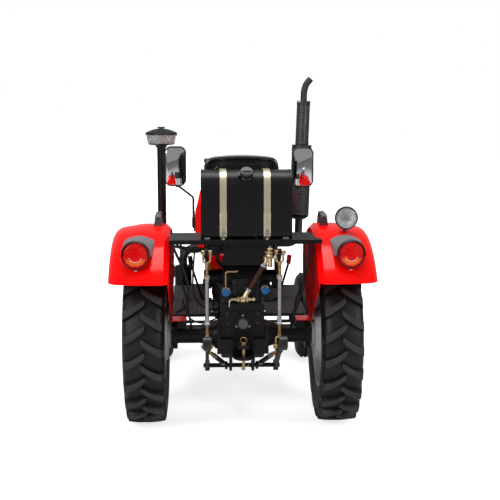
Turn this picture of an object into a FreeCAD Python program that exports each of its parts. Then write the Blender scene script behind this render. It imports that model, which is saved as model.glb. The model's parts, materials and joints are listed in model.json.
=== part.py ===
"""Compact two-wheel-drive farm tractor with an open platform and a rear three-point linkage.

Frame: +X is the tractor's right, +Y is forward and +Z is up.  The origin is on the ground under the middle
of the tractor's outline.  Lengths are in millimetres and angles in degrees.
"""
import FreeCAD, Part
import math
import os

import Sketcher
from FreeCAD import Placement, Rotation, Vector

DRIVING_SIZES = [
    # Layout
    ("wheelbase", 1530, "rear axle to front axle"),
    ("rear_reach", 745, "rear axle to the ends of the lower links"),
    ("front_reach", 450, "front axle to the front of the bumper"),
    # Rear wheels
    ("rear_tyre_radius", 525, "rear tyre to the lug tips"),
    ("rear_tyre_width", 241, "rear tyre section width"),
    ("rear_track", 1130, "rear tyre centre to tyre centre"),
    ("rear_lug_height", 25, "lug above the tread"),
    ("rear_lug_thick", 39, "lug thickness at the middle of the tread"),
    ("rear_bead_radius", 305, "rear rim seat radius"),
    ("rear_rim_width", 203, "rear rim width over the flanges"),
    ("rim_flange", 18, "rim flange height"),
    ("rim_wall", 7, "rim plate thickness"),
    ("hub_face_radius", 150, "flat centre of the rear wheel disc"),
    ("hand_hole_ring", 205, "rear wheel centre to the disc's hand holes"),
    ("hand_hole_radius", 19, "hand hole radius"),
    ("hub_flange_radius", 80, "rear hub flange radius"),
    ("hub_flange_thick", 15, "rear hub flange thickness"),
    ("axle_shaft_radius", 25, "rear axle shaft radius"),
    # Front wheels
    ("front_tyre_radius", 320, "front tyre radius"),
    ("front_tyre_width", 140, "front tyre section width"),
    ("front_track", 1060, "front tyre centre to tyre centre"),
    ("front_bead_radius", 190, "front rim seat radius"),
    ("front_rim_width", 104, "front rim width over the flanges"),
    ("front_hub_radius", 42, "front hub radius"),
    ("spindle_radius", 20, "front stub axle radius"),
    # Rear axle and transmission
    ("case_half_width", 125, "half width of the rear transmission case"),
    ("case_bottom", 440, "underside of the transmission case"),
    ("case_top", 770, "top of the rear transmission case"),
    ("case_rear", 300, "rear axle to the rear face of the case"),
    ("case_front", 240, "rear axle to the front of the rear case"),
    ("mid_half_width", 105, "half width of the middle case"),
    ("mid_bottom", 455, "underside of the middle case"),
    ("mid_top", 715, "top of the middle case"),
    ("mid_front", 640, "rear axle to the front of the middle case"),
    ("bell_front", 800, "rear axle to the engine's rear face"),
    ("bell_half_width", 158, "half width of the bell housing at the engine"),
    ("flange_thick", 12, "casting flange thickness"),
    ("axle_tube_radius", 55, "rear axle tube radius"),
    ("axle_drum_radius", 88, "axle end drum radius"),
    ("axle_end", 412, "tractor centre to the end of the axle housing"),
    ("post_reach", 330, "tractor centre to the inner side of a fender post"),
    ("post_top", 615, "top of the fender posts"),
    # Lift cover and linkage
    ("cover_half_width", 115, "half width of the lift cover"),
    ("cover_rear", 285, "rear axle to the rear of the lift cover"),
    ("cover_front", 220, "rear axle to the front of the lift cover"),
    ("cover_top", 975, "top of the lift cover"),
    ("rockshaft_behind", 100, "rear axle back to the rockshaft"),
    ("rockshaft_height", 895, "rockshaft centre height"),
    ("rockshaft_radius", 24, "rockshaft radius"),
    ("link_pivot_behind", 90, "rear axle back to the lower link pivots"),
    ("link_pivot_height", 352, "lower link pivot height"),
    ("link_pivot_radius", 13, "lower link pivot bar radius"),
    ("linkage_reach", 300, "lift arm's reach to the rear as parked"),
    ("linkage_rise", 185, "lift arm's rise as parked"),
    ("linkage_half_spacing", 205, "tractor centre to the linkage planes"),
    ("arm_thick", 20, "lift arm and lower link thickness"),
    ("link_ball_height", 630, "lower link ball height as parked"),
    ("link_eye_radius", 38, "lower link end eye radius"),
    ("link_ball_bore", 11.2, "lower link ball bore radius"),
    ("linkage_pin_radius", 9.5, "lift rod pin radius"),
    ("fork_gap", 1, "clear gap beside a forked eye"),
    ("fork_wall", 17, "length of a fork's eyes"),
    ("fork_bar", 6, "radius of the bar that a fork is bent from"),
    ("fork_reach", 57, "pin to the crown of a lift rod fork"),
    ("running_gap", 0.05, "radial clearance of a turning shaft"),
    ("top_link_bore", 9.65, "top link ball bore radius"),
    ("top_link_height", 800, "top link front pin height"),
    ("top_link_lean", 31, "lean of the stowed top link to the right"),
    # Power take-off and drawbar
    ("pto_height", 663, "power take-off centre height"),
    ("pto_flange", 124, "power take-off flange side"),
    ("pto_cap_radius", 31, "power take-off cap radius"),
    ("hitch_height", 523, "drawbar jaw centre height"),
    ("hitch_jaw_gap", 48, "drawbar jaw opening"),
    ("hitch_reach", 455, "rear axle back to the drawbar pin"),
    ("hitch_pin_radius", 9.3, "drawbar pin radius"),
    ("hitch_plate", 18, "drawbar jaw plate thickness"),
    # Bodywork
    ("fender_radius", 670, "fender top radius about the rear axle"),
    ("fender_outer", 757, "tractor centre to the fender's outer edge"),
    ("fender_inner", 420, "tractor centre to the fender's inner panel"),
    ("fender_slope", 175, "width of the fender's sloping outer part"),
    ("fender_fall", 30, "drop of the fender's sloping outer part"),
    ("fender_crest_radius", 300, "rounding between the fender's flat and sloping parts"),
    ("fender_edge_radius", 78, "rounding of the fender's outer edge"),
    ("fender_lip", 104, "depth of the fender's outer side"),
    ("fender_front_angle", 45, "fender's front end ahead of upright"),
    ("fender_rear_angle", 54, "fender's rear end behind upright"),
    ("sheet", 4, "body sheet thickness"),
    ("shelf_top", 1150, "tank shelf top height"),
    ("shelf_rear", 400, "rear axle back to the shelf's rear edge"),
    ("shelf_front", 64, "rear axle back to the shelf's front edge"),
    ("shelf_lip", 24, "shelf lip depth"),
    ("shelf_overhang", 28, "shelf's reach over the right fender"),
    ("tank_wide", 513, "fuel tank width"),
    ("tank_tall", 381, "fuel tank height"),
    ("tank_deep", 220, "fuel tank depth"),
    ("tank_aside", 20, "tank centre to the right of the tractor's"),
    ("tank_rear", 388, "rear axle back to the tank's rear face"),
    ("tank_rounding", 85, "tank's upper rear rounding"),
    ("tank_corner", 32, "tank's other roundings"),
    ("strap_wide", 38, "tank strap width"),
    ("strap_thick", 3, "tank strap thickness"),
    ("strap_spacing", 246, "tank strap centre to strap centre"),
    ("strap_aside", 12, "middle between the straps to the right of the tractor's"),
    ("cap_radius", 36.5, "fuel cap radius"),
    ("lamp_aside", 597, "tractor centre to the tail lamps"),
    ("lamp_height", 1079, "tail lamp centre height"),
    ("lamp_radius", 77, "tail lamp rim radius"),
    ("lamp_deep", 38, "tail lamp depth"),
    ("lamp_gap", 1.5, "clear gap between a tail lamp's lower edge and the fender"),
    ("work_lamp_height", 1250, "work lamp centre height"),
    ("work_lamp_radius", 67.5, "work lamp rim radius"),
    ("handle_aside", 490, "tractor centre to the fender handles"),
    ("handle_top", 1262, "top of the fender handles"),
    ("platform_height", 576, "top of the footboards"),
    ("platform_outer", 430, "tractor centre to the footboard's outer edge"),
    ("platform_rear", 350, "rear axle to the rear of the footboards"),
    ("platform_front", 900, "rear axle to the front of the footboards"),
    ("hood_rear", 806, "rear axle to the rear edge of the hood"),
    ("hood_ahead", 320, "front axle to the front of the hood"),
    ("hood_half_width", 280, "half width of the hood at its lower edge"),
    ("hood_top_half_width", 248, "half width of the hood below its crown"),
    ("hood_edge", 1162, "lower edge of the painted hood"),
    ("hood_rear_top", 1340, "hood top at the rear"),
    ("hood_front_top", 1230, "hood top at the front"),
    ("skirt_bottom", 1040, "lower edge of the hood's side panels"),
    ("nose_bottom", 700, "lower edge of the hood's nose"),
    ("headlamp_radius", 62, "headlamp radius"),
    ("seat_half_width", 218, "half width of the seat"),
    ("seat_height", 1090, "top of the seat cushion"),
    ("seat_back_top", 1612, "top of the seat's back"),
    ("steering_wheel_radius", 185, "steering wheel rim centre radius"),
    ("steering_rim_radius", 13, "steering wheel rim section radius"),
    # Front axle and engine
    ("kingpin_inset", 90, "front tyre centre in to the kingpin"),
    ("kingpin_radius", 15, "kingpin radius"),
    ("kingpin_boss_radius", 30, "kingpin housing radius"),
    ("beam_height", 400, "front axle beam centre height"),
    ("steering_arm", 130, "steering arm length"),
    ("tie_rod_height", 300, "tie rod centre height"),
    ("rail_half_width", 160, "half width over the front rails"),
    ("rail_bottom", 470, "underside of the front rails"),
    ("rail_top", 560, "top of the front rails"),
    ("engine_behind", 162, "front axle back to the front of the engine"),
    ("engine_half_width", 150, "half width of the engine block"),
    ("engine_top", 1010, "top of the cylinder head"),
    ("crank_height", 590, "crankshaft centre height"),
    ("fan_height", 850, "fan and water pump centre height"),
    ("fan_radius", 165, "fan radius"),
    ("radiator_behind", 72, "front axle back to the front of the radiator"),
    ("radiator_half_width", 180, "half width of the radiator"),
    ("radiator_top", 1150, "top of the radiator"),
    # Intake and exhaust
    ("exhaust_aside", 448, "tractor centre to the foot of the exhaust"),
    ("exhaust_lean", 2, "exhaust lean to the right"),
    ("muffler_radius", 66.5, "muffler shield radius"),
    ("muffler_top", 1610, "top of the muffler shield"),
    ("exhaust_top", 2086, "top of the exhaust pipe"),
    ("exhaust_pipe_radius", 22.5, "exhaust pipe radius"),
    ("exhaust_ahead", 1200, "rear axle to the exhaust"),
    ("precleaner_aside", 520, "tractor centre to the pre-cleaner"),
    ("precleaner_radius", 111, "pre-cleaner rim radius"),
    ("precleaner_rim", 1694, "pre-cleaner rim height"),
    ("intake_pipe_radius", 30, "intake pipe radius"),
    ("mirror_wide", 142, "mirror width"),
    ("mirror_tall", 262, "mirror height"),
]

doc = FreeCAD.newDocument("FarmTractor")
sheet = doc.addObject("Spreadsheet::Sheet", "Sizes")
for row, (alias, number, note) in enumerate(DRIVING_SIZES, start=1):
    sheet.set(f"A{row}", note)
    sheet.set(f"B{row}", str(number))
    sheet.setAlias(f"B{row}", alias)
doc.recompute()


class Size:
    """A number together with the sheet formula that gives it."""

    def __init__(self, number, formula=None):
        self.number = float(number)
        self.formula = formula or repr(float(number))

    def __float__(self):
        return self.number

    def __neg__(self):
        return Size(-self.number, f"(-1 * {self.formula})")

    def __add__(self, other):
        return combine(self, "+", other, self.number + float(other))

    def __radd__(self, other):
        return combine(other, "+", self, float(other) + self.number)

    def __sub__(self, other):
        return combine(self, "-", other, self.number - float(other))

    def __rsub__(self, other):
        return combine(other, "-", self, float(other) - self.number)

    def __mul__(self, other):
        return combine(self, "*", other, self.number * float(other))

    def __rmul__(self, other):
        return combine(other, "*", self, float(other) * self.number)

    def __truediv__(self, other):
        return combine(self, "/", other, self.number / float(other))

    def __rtruediv__(self, other):
        return combine(other, "/", self, float(other) / self.number)


def as_size(value):
    """Returns a Size for a Size or a plain number."""
    return value if isinstance(value, Size) else Size(value)


def combine(first, sign, second, number):
    """Returns the Size of two sizes joined by an arithmetic sign."""
    return Size(number, f"({as_size(first).formula} {sign} {as_size(second).formula})")


def sine(angle):
    """Returns the sine of an angle in degrees."""
    return Size(math.sin(math.radians(float(angle))), f"sin({as_size(angle).formula})")


def cosine(angle):
    """Returns the cosine of an angle in degrees."""
    return Size(math.cos(math.radians(float(angle))), f"cos({as_size(angle).formula})")


def root(value):
    """Returns the square root of a size."""
    return Size(math.sqrt(float(value)), f"sqrt({as_size(value).formula})")


class Sheet:
    """Gives each alias of the sheet as a Size."""

    def __getattr__(self, alias):
        return Size(sheet.get(alias), f"Sizes.{alias}")


S = Sheet()
rear_axle_y = -(S.wheelbase + S.front_reach - S.rear_reach) / 2
engine_front = S.wheelbase - S.engine_behind
radiator_front = S.wheelbase - S.radiator_behind
hood_front = S.wheelbase + S.hood_ahead
kingpin_aside = S.front_track / 2 - S.kingpin_inset


def ahead(distance):
    """Returns the place along the tractor at a distance ahead of the rear axle."""
    return rear_axle_y + distance


def behind(distance):
    """Returns the place along the tractor at a distance behind the rear axle."""
    return rear_axle_y - distance


# --- Building blocks -----------------------------------------------------------------------------------


def bind(item, path, value):
    """Binds a property of an object to a size."""
    item.setExpression(path, as_size(value).formula)


def place(item, point, turn=None):
    """Puts an object at a point, turned as asked, with the point bound to the sheet."""
    item.Placement = Placement(Vector(*[float(value) for value in point]), turn or Rotation())
    for axis, value in zip("xyz", point):
        bind(item, f"Placement.Base.{axis}", value)
    return item


def vector(point):
    """Returns a FreeCAD vector for three sizes."""
    return Vector(*[float(value) for value in point])


def block(name, x, y, z):
    """Returns a box given by its low and high side along each axis."""
    item = doc.addObject("Part::Box", name)
    for side, span in zip(("Length", "Width", "Height"), (x, y, z)):
        bind(item, side, as_size(span[1]) - span[0])
    return place(item, (x[0], y[0], z[0]))


def rod(name, start, end, radius, end_radius=None):
    """Returns a round bar, or a cone when it has an end radius, between two points."""
    item = doc.addObject("Part::Cone" if end_radius is not None else "Part::Cylinder", name)
    if end_radius is None:
        bind(item, "Radius", radius)
    else:
        bind(item, "Radius1", radius)
        bind(item, "Radius2", end_radius)
    steps = [as_size(b) - a for a, b in zip(start, end)]
    length = root(steps[0] * steps[0] + steps[1] * steps[1] + steps[2] * steps[2])
    bind(item, "Height", length)
    return place(item, start, Rotation(Vector(0, 0, 1), vector(steps)))


def torus(name, centre, axis, ring_radius, section_radius):
    """Returns a ring of round section about an axis."""
    item = doc.addObject("Part::Torus", name)
    bind(item, "Radius1", ring_radius)
    bind(item, "Radius2", section_radius)
    return place(item, centre, Rotation(Vector(0, 0, 1), Vector(*axis)))


def ball(name, centre, radius):
    """Returns a ball."""
    item = doc.addObject("Part::Sphere", name)
    bind(item, "Radius", radius)
    return place(item, centre)


def fuse(name, *items):
    """Returns one object that fuses others."""
    item = doc.addObject("Part::MultiFuse", name)
    item.Shapes = list(items)
    return item


def cut(name, base, *tools):
    """Returns a base with tools cut away from it."""
    item = doc.addObject("Part::Cut", name)
    item.Base = base
    item.Tool = tools[0] if len(tools) == 1 else fuse(name + "_tools", *tools)
    return item


def common(name, *items):
    """Returns the part that objects share."""
    item = doc.addObject("Part::MultiCommon", name)
    item.Shapes = list(items)
    return item


def group(name, *items):
    """Returns separate solids as one object."""
    item = doc.addObject("Part::Compound", name)
    item.Links = list(items)
    return item


def mirrored(name, source):
    """Returns the left-hand copy of a right-hand object."""
    item = doc.addObject("Part::Mirroring", name)
    item.Source = source
    item.Base = Vector(0, 0, 0)
    item.Normal = Vector(1, 0, 0)
    return item


def both_sides(name, source):
    """Returns a right-hand object and its left-hand copy as one object of separate solids."""
    return group(name, source, mirrored(name + "_mirror", source))


def outline_sketch(body, name, plane, points, rounds=None):
    """Draws a closed outline on one of the body's origin planes.

    Each corner is bound to the sheet.  The rounds give a radius for a corner by its number, and such a corner
    becomes a tangent arc.
    """
    rounds = rounds or {}
    sketch = body.newObject("Sketcher::SketchObject", name)
    origin_plane = [item for item in body.Origin.OriginFeatures if item.Role == plane + "_Plane"][0]
    sketch.AttachmentSupport = [(origin_plane, "")]
    sketch.MapMode = "FlatFace"
    corners = [Vector(float(u), float(v), 0) for u, v in points]
    count = len(corners)
    arcs = {}
    for index, radius in rounds.items():
        back = (corners[index - 1] - corners[index]).normalize()
        onward = (corners[(index + 1) % count] - corners[index]).normalize()
        half = back.getAngle(onward) / 2
        trim, reach = float(radius) / math.tan(half), float(radius) / math.sin(half)
        centre = corners[index] + (back + onward).normalize() * reach
        arcs[index] = (corners[index] + back * trim, centre, corners[index] + onward * trim)

    def pin(item, point, value_pair):
        for kind, value in zip(("DistanceX", "DistanceY"), value_pair):
            number = sketch.addConstraint(Sketcher.Constraint(kind, -1, 1, item, point, float(value)))
            sketch.setExpression(f"Constraints[{number}]", as_size(value).formula)

    for index in range(count):
        after = (index + 1) % count
        start = arcs[index][2] if index in arcs else corners[index]
        end = arcs[after][0] if after in arcs else corners[after]
        sketch.addGeometry(Part.LineSegment(start, end), False)
    for index in range(count):
        before = (index - 1) % count
        if index not in arcs:
            sketch.addConstraint(Sketcher.Constraint("Coincident", before, 2, index, 1))
            pin(index, 1, points[index])
            continue
        start, centre, end = arcs[index]
        left_turn = (start - centre).cross(end - centre).z > 0
        first, last = (1, 2) if left_turn else (2, 1)
        low, high = (start, end) if left_turn else (end, start)
        low_angle, high_angle = [math.atan2(spot.y - centre.y, spot.x - centre.x) for spot in (low, high)]
        circle = Part.Circle(centre, Vector(0, 0, 1), float(rounds[index]))
        arc = sketch.addGeometry(Part.ArcOfCircle(circle, low_angle, high_angle), False)
        sketch.addConstraint(Sketcher.Constraint("Tangent", before, 2, arc, first))
        sketch.addConstraint(Sketcher.Constraint("Tangent", index, 1, arc, last))
        number = sketch.addConstraint(Sketcher.Constraint("Radius", arc, float(rounds[index])))
        sketch.setExpression(f"Constraints[{number}]", as_size(rounds[index]).formula)
        corner = sketch.addGeometry(Part.Point(corners[index]), True)
        pin(corner, 1, points[index])
        sketch.addConstraint(Sketcher.Constraint("PointOnObject", corner, 1, before))
        sketch.addConstraint(Sketcher.Constraint("PointOnObject", corner, 1, index))
    return sketch


SIDE_PLANE = "YZ"      # drawn as (along, up), thickness to the right
CROSS_PLANE = "XZ"     # drawn as (across, up), thickness to the rear
FLOOR_PLANE = "XY"     # drawn as (across, along), thickness upwards


def plate(name, plane, points, span, rounds=None):
    """Returns a body with an outline padded over a span square to its plane."""
    body = doc.addObject("PartDesign::Body", name)
    sketch = outline_sketch(body, name + "_outline", plane, points, rounds)
    pad = body.newObject("PartDesign::Pad", name + "_pad")
    pad.Profile = sketch
    bind(pad, "Length", as_size(span[1]) - span[0])
    offsets = {SIDE_PLANE: (span[0], 0, 0), CROSS_PLANE: (0, span[1], 0), FLOOR_PLANE: (0, 0, span[0])}
    return place(body, offsets[plane])


def turned(name, points, at, axis, start=None, angle=360, rounds=None):
    """Returns a body turned about an axis from an outline of (radius, height along the axis) points."""
    body = doc.addObject("PartDesign::Body", name)
    sketch = outline_sketch(body, name + "_outline", "XZ", points, rounds)
    revolution = body.newObject("PartDesign::Revolution", name + "_turn")
    revolution.Profile = sketch
    revolution.ReferenceAxis = (sketch, ["V_Axis"])
    bind(revolution, "Angle", angle)
    if start is None:
        turn = Rotation(Vector(0, 0, 1), Vector(*axis))
    else:
        across = Vector(*axis).cross(Vector(*start))
        turn = Rotation(Vector(*start), across, Vector(*axis), "ZXY")
    return place(body, at, turn)


def rounded(body, radius, wanted):
    """Rounds the edges of a body's last feature that the test picks."""
    doc.recompute()
    base = body.Tip
    edges = base.Shape.Edges
    picked = [f"Edge{number}" for number, edge in enumerate(edges, start=1) if wanted(edge)]
    if not picked:
        raise RuntimeError(f"{body.Name} has no edge to round")
    fillet = body.newObject("PartDesign::Fillet", body.Name + "_rounding")
    fillet.Base = (base, picked)
    bind(fillet, "Radius", radius)
    body.Tip = fillet
    return body


def runs_along(edge, axis):
    """Tells whether a straight edge runs along an axis."""
    start, end = edge.Vertexes[0].Point, edge.Vertexes[-1].Point
    step = end - start
    return len(edge.Vertexes) == 2 and abs(step.dot(Vector(*axis))) > 0.999 * step.Length > 0.1


def bent_path(points, bend):
    """Returns a wire of straight runs joined by tangent arcs of one radius."""
    corners = [vector(point) for point in points]
    edges = []
    here = corners[0]
    for index in range(1, len(corners) - 1):
        back = (corners[index - 1] - corners[index]).normalize()
        onward = (corners[index + 1] - corners[index]).normalize()
        half = back.getAngle(onward) / 2
        trim = float(bend) / math.tan(half)
        first, last = corners[index] + back * trim, corners[index] + onward * trim
        middle_way = (back + onward).normalize()
        middle = corners[index] + middle_way * (float(bend) / math.sin(half) - float(bend))
        edges.append(Part.LineSegment(here, first).toShape())
        edges.append(Part.Arc(first, middle, last).toShape())
        here = last
    edges.append(Part.LineSegment(here, corners[-1]).toShape())
    return Part.Wire(edges)


def bent_tube(name, points, radius, bend):
    """Returns a round bar swept along straight runs joined by arcs."""
    path = doc.addObject("Part::Feature", name + "_path")
    path.Shape = bent_path(points, bend)
    ring = doc.addObject("Part::Circle", name + "_ring")
    bind(ring, "Radius", radius)
    direction = vector(points[1]) - vector(points[0])
    place(ring, points[0], Rotation(Vector(0, 0, 1), direction))
    sweep = doc.addObject("Part::Sweep", name)
    sweep.Sections = [ring]
    sweep.Spine = (path, [f"Edge{number}" for number in range(1, len(path.Shape.Edges) + 1)])
    sweep.Solid = True
    sweep.Frenet = True
    return sweep


def loft(name, sections):
    """Returns a straight-sided loft through closed outlines of three-dimensional points."""
    wires = []
    for number, points in enumerate(sections, start=1):
        wire = doc.addObject("Part::Feature", f"{name}_section_{number}")
        corners = [vector(point) for point in points]
        wire.Shape = Part.makePolygon(corners + corners[:1])
        wires.append(wire)
    item = doc.addObject("Part::Loft", name)
    item.Sections = wires
    item.Solid = True
    item.Ruled = True
    return item


NODES = []


def node(label, item):
    """Registers an object as a finished sub-part under its own label."""
    item.Label = label
    NODES.append(item)
    return item


RIGHT = 1
LEFT = -1
SIDES = ((LEFT, "left"), (RIGHT, "right"))


def side_span(side, near, far):
    """Returns the low and high place across the tractor of a span between two distances from its centre."""
    return (near, far) if side == RIGHT else (-as_size(far), -as_size(near))

# --- Transmission, rear axle and lift cover ------------------------------------------------------------


def transmission_case():
    """The castings from the power take-off face to the engine."""
    rear = plate(
        "rear_case", SIDE_PLANE,
        [
            (behind(S.case_rear), S.case_bottom + 30),
            (behind(S.case_rear - 40), S.case_bottom),
            (ahead(S.case_front), S.case_bottom),
            (ahead(S.case_front), S.case_top - 30),
            (ahead(S.case_front - 60), S.case_top),
            (behind(S.case_rear), S.case_top),
        ],
        (-S.case_half_width, S.case_half_width),
    )
    rounded(rear, 18, lambda edge: runs_along(edge, (0, 1, 0)))
    middle = block(
        "mid_case", (-S.mid_half_width, S.mid_half_width), (ahead(S.case_front), ahead(S.mid_front)),
        (S.mid_bottom, S.mid_top),
    )
    half, low, high = S.mid_half_width, S.mid_bottom, S.mid_top
    wide, bell_low, bell_high = S.bell_half_width, S.case_bottom, S.case_top + 10
    chamfer = 45

    def bell_outline(along, side, bottom, top):
        return [
            (-side, along, bottom + chamfer), (-side + chamfer, along, bottom), (side - chamfer, along, bottom),
            (side, along, bottom + chamfer), (side, along, top - chamfer), (side - chamfer, along, top),
            (-side + chamfer, along, top), (-side, along, top - chamfer),
        ]

    bell = loft("bell", [bell_outline(ahead(S.mid_front), half, low, high),
                         bell_outline(ahead(S.bell_front - S.flange_thick), wide, bell_low, bell_high)])
    bell_flange = loft("bell_flange", [
        bell_outline(ahead(S.bell_front - S.flange_thick), wide + 10, bell_low - 10, bell_high + 10),
        bell_outline(ahead(S.bell_front), wide + 10, bell_low - 10, bell_high + 10)])
    flanges = [
        block(f"case_flange_{number}", (-side, side), (along - S.flange_thick, along), (bottom, top))
        for number, (along, side, bottom, top) in enumerate([
            (ahead(S.case_front), S.case_half_width + 10, S.case_bottom - 8, S.case_top - 32),
            (ahead(S.mid_front), S.mid_half_width + 12, S.mid_bottom - 10, S.mid_top + 10),
        ], start=1)
    ]
    ribs = [
        block(f"case_rib_{number}", (-S.mid_half_width - 6, S.mid_half_width + 6), (along, along + 10),
              (S.mid_bottom - 6, S.mid_top + 4))
        for number, along in enumerate([ahead(S.case_front + 110), ahead(S.case_front + 250)], start=1)
    ]
    return node("transmission_case",
                fuse("transmission", rear, middle, bell, bell_flange, *flanges, *ribs))


def rear_axle_housings():
    """The axle trumpets with their end drums and the posts that carry the fenders."""
    axle = S.rear_tyre_radius
    along = behind(0)

    def at(distance):
        return (distance, along, axle)

    flange_end = S.case_half_width + S.flange_thick
    cone_end = flange_end + 110
    drum_start = S.axle_end - 28
    solid = fuse(
        "axle_housing",
        rod("axle_flange", at(S.case_half_width), at(flange_end), 97),
        rod("axle_cone", at(flange_end), at(cone_end), 86, S.axle_tube_radius),
        rod("axle_tube", at(cone_end), at(drum_start), S.axle_tube_radius),
        rod("axle_drum", at(drum_start), at(S.axle_end), S.axle_drum_radius),
        block("fender_post", (S.post_reach, drum_start), (along - 38, along + 38), (axle, S.post_top)),
    )
    bore = rod("axle_bore", at(S.axle_end - 105), at(S.axle_end + 1), S.axle_shaft_radius + S.running_gap)
    return node("rear_axle_housings", both_sides("axle_housings", cut("axle_housing_bored", solid, bore)))


def lift_cover():
    """The hydraulic top cover that carries the rockshaft, with its valve plates at the back."""
    half = S.cover_half_width
    body = plate(
        "cover_body", SIDE_PLANE,
        [
            (behind(S.cover_rear), S.case_top),
            (ahead(S.cover_front - 40), S.case_top),
            (ahead(S.cover_front - 40), S.case_top + 60),
            (ahead(S.cover_front - 110), S.cover_top),
            (behind(S.cover_rear - 40), S.cover_top),
            (behind(S.cover_rear), S.cover_top - 60),
        ],
        (-half, half),
    )
    rounded(body, 16, lambda edge: runs_along(edge, (0, 1, 0)))
    along, up = behind(S.rockshaft_behind), S.rockshaft_height
    hub = rod("rockshaft_hub", (-half - 22, along, up), (half + 22, along, up), S.rockshaft_radius + 20)
    bore = rod("rockshaft_bore", (-half - 30, along, up), (half + 30, along, up),
               S.rockshaft_radius + S.running_gap)
    rear = behind(S.cover_rear)
    centre_plate = block("valve_plate", (-62, 100), (rear - 22, rear), (S.case_top + 34, S.cover_top - 62))
    left_valve = block("left_valve", (-130, -66), (rear - 34, rear), (S.case_top + 8, S.case_top + 112))
    right_valve = block("right_valve", (104, 146), (rear - 34, rear + 30), (S.case_top + 20, S.case_top + 118))
    return node("lift_cover",
                cut("lift_cover_bored", fuse("cover", body, hub, centre_plate, left_valve, right_valve), bore))


COUPLERS = ((-98, 78), (125, 88))   # across, above the case top


def hydraulic_couplers():
    """The two remote couplers and the pipe from the left one."""
    face = behind(S.cover_rear) - 34
    items = []
    for number, (across, above) in enumerate(COUPLERS, start=1):
        up = S.case_top + above
        items.append(rod(f"coupler_{number}", (across, face, up), (across, face - 26, up), 17))
        items.append(rod(f"coupler_nose_{number}", (across, face - 26, up), (across, face - 52, up), 14))
    up = S.case_top + COUPLERS[0][1]
    pipe = bent_tube("coupler_pipe",
                     [(COUPLERS[0][0], face - 13, up), (COUPLERS[0][0], face - 13, up + 112),
                      (-28, face - 13, up + 112), (-28, face + 34, up + 112)], 5, 14)
    return node("hydraulic_couplers", group("couplers", fuse("left_coupler", *items[:2], pipe),
                                            fuse("right_coupler", *items[2:])))


def coupler_caps():
    """The dust caps over the couplers."""
    face = behind(S.cover_rear) - 34 - 52
    caps = [
        rod(f"coupler_cap_{number}", (across, face, S.case_top + above), (across, face - 16, S.case_top + above),
            23)
        for number, (across, above) in enumerate(COUPLERS, start=1)
    ]
    return node("coupler_caps", group("caps", *caps))


def power_take_off():
    """The flange and capped shaft at the back of the transmission."""
    face, up = behind(S.case_rear), S.pto_height
    half, ear = S.pto_flange / 2, 15
    cover = plate("case_cover", CROSS_PLANE, [
        (-104, S.case_top - 46), (-104, up + 10), (-76, up - 60), (-58, S.case_bottom + 96),
        (58, S.case_bottom + 96), (76, up - 60), (104, up + 10), (104, S.case_top - 46)], (face - 8, face),
        rounds={index: 16 for index in range(8)})
    flange = block("pto_plate", (-half + 12, half - 12), (face - 20, face - 8), (up - half + 12, up + half - 12))
    parts = [cover, flange]
    for across in (-1, 1):
        for high in (-1, 1):
            spot = (across * (half - ear), high * (half - ear) + up)
            tag = f"{'left' if across < 0 else 'right'}_{'low' if high < 0 else 'high'}"
            parts.append(rod(f"pto_ear_{tag}", (spot[0], face - 20, spot[1]), (spot[0], face - 8, spot[1]), ear))
            parts.append(rod(f"pto_bolt_{tag}", (spot[0], face - 26, spot[1]), (spot[0], face - 20, spot[1]), 8))
    for number, (across, high) in enumerate(((-84, 0.62), (0, 0.9), (84, 0.62), (-60, 0.16), (60, 0.16)), start=1):
        height = S.case_bottom + (S.case_top - S.case_bottom) * high - 20
        parts.append(rod(f"cover_boss_{number}", (across, face - 16, height), (across, face, height), 13))
    ring = rod("pto_ring", (0, face - 20, up), (0, face - 32, up), 47)
    neck = rod("pto_neck", (0, face - 32, up), (0, face - 48, up), 37)
    cap = turned("pto_cap", [(0, 0), (S.pto_cap_radius, 0), (S.pto_cap_radius, 30), (S.pto_cap_radius - 6, 36),
                             (0, 36)], (0, face - 48, up), (0, -1, 0))
    return node("power_take_off", fuse("pto", *parts, ring, neck, cap))


def drawbar_frame():
    """The hanger plates, lower link pivot bar and drawbar jaw under the rear of the case."""
    pivot_y, pivot_z = behind(S.link_pivot_behind), S.link_pivot_height
    bar_end = S.linkage_half_spacing + 24
    hangers = [
        plate(f"link_hanger_{name}", SIDE_PLANE,
              [(pivot_y - 42, pivot_z - 24), (pivot_y + 42, pivot_z - 24), (pivot_y + 70, S.case_bottom),
               (pivot_y - 150, S.case_bottom), (pivot_y - 150, S.case_bottom - 18)],
              side_span(side, 58, 74))
        for side, name in SIDES
    ]
    bar = rod("link_pivot_bar", (-bar_end, pivot_y, pivot_z), (bar_end, pivot_y, pivot_z), S.link_pivot_radius)
    face = behind(S.case_rear)
    pin_y = behind(S.hitch_reach)
    half_gap = S.hitch_jaw_gap / 2
    cheeks = [
        block(f"drawbar_cheek_{name}", side_span(side, 130, 148), (face - 38, face + 20),
              (S.hitch_height - 14, S.hitch_height + 128))
        for side, name in SIDES
    ]
    back_plate = block("drawbar_back", (-148, 148), (face - 38, face - 24),
                       (S.hitch_height - half_gap - S.hitch_plate, S.hitch_height + half_gap + S.hitch_plate))
    jaws = [
        plate(f"drawbar_jaw_{number}", FLOOR_PLANE, [
            (58, face - 24), (58, pin_y + 4), (26, pin_y - 44), (-26, pin_y - 44), (-58, pin_y + 4),
            (-58, face - 24)], (bottom, bottom + S.hitch_plate), rounds={1: 30, 2: 18, 3: 18, 4: 30})
        for number, bottom in enumerate([S.hitch_height - half_gap - S.hitch_plate, S.hitch_height + half_gap],
                                        start=1)
    ]
    hole = rod("drawbar_hole", (0, pin_y, S.hitch_height - 80), (0, pin_y, S.hitch_height + 80),
               S.hitch_pin_radius + 0.3)
    frame = fuse("drawbar_solid", *hangers, bar, *cheeks, back_plate, *jaws)
    return node("drawbar_frame", cut("drawbar_drilled", frame, hole))


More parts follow.
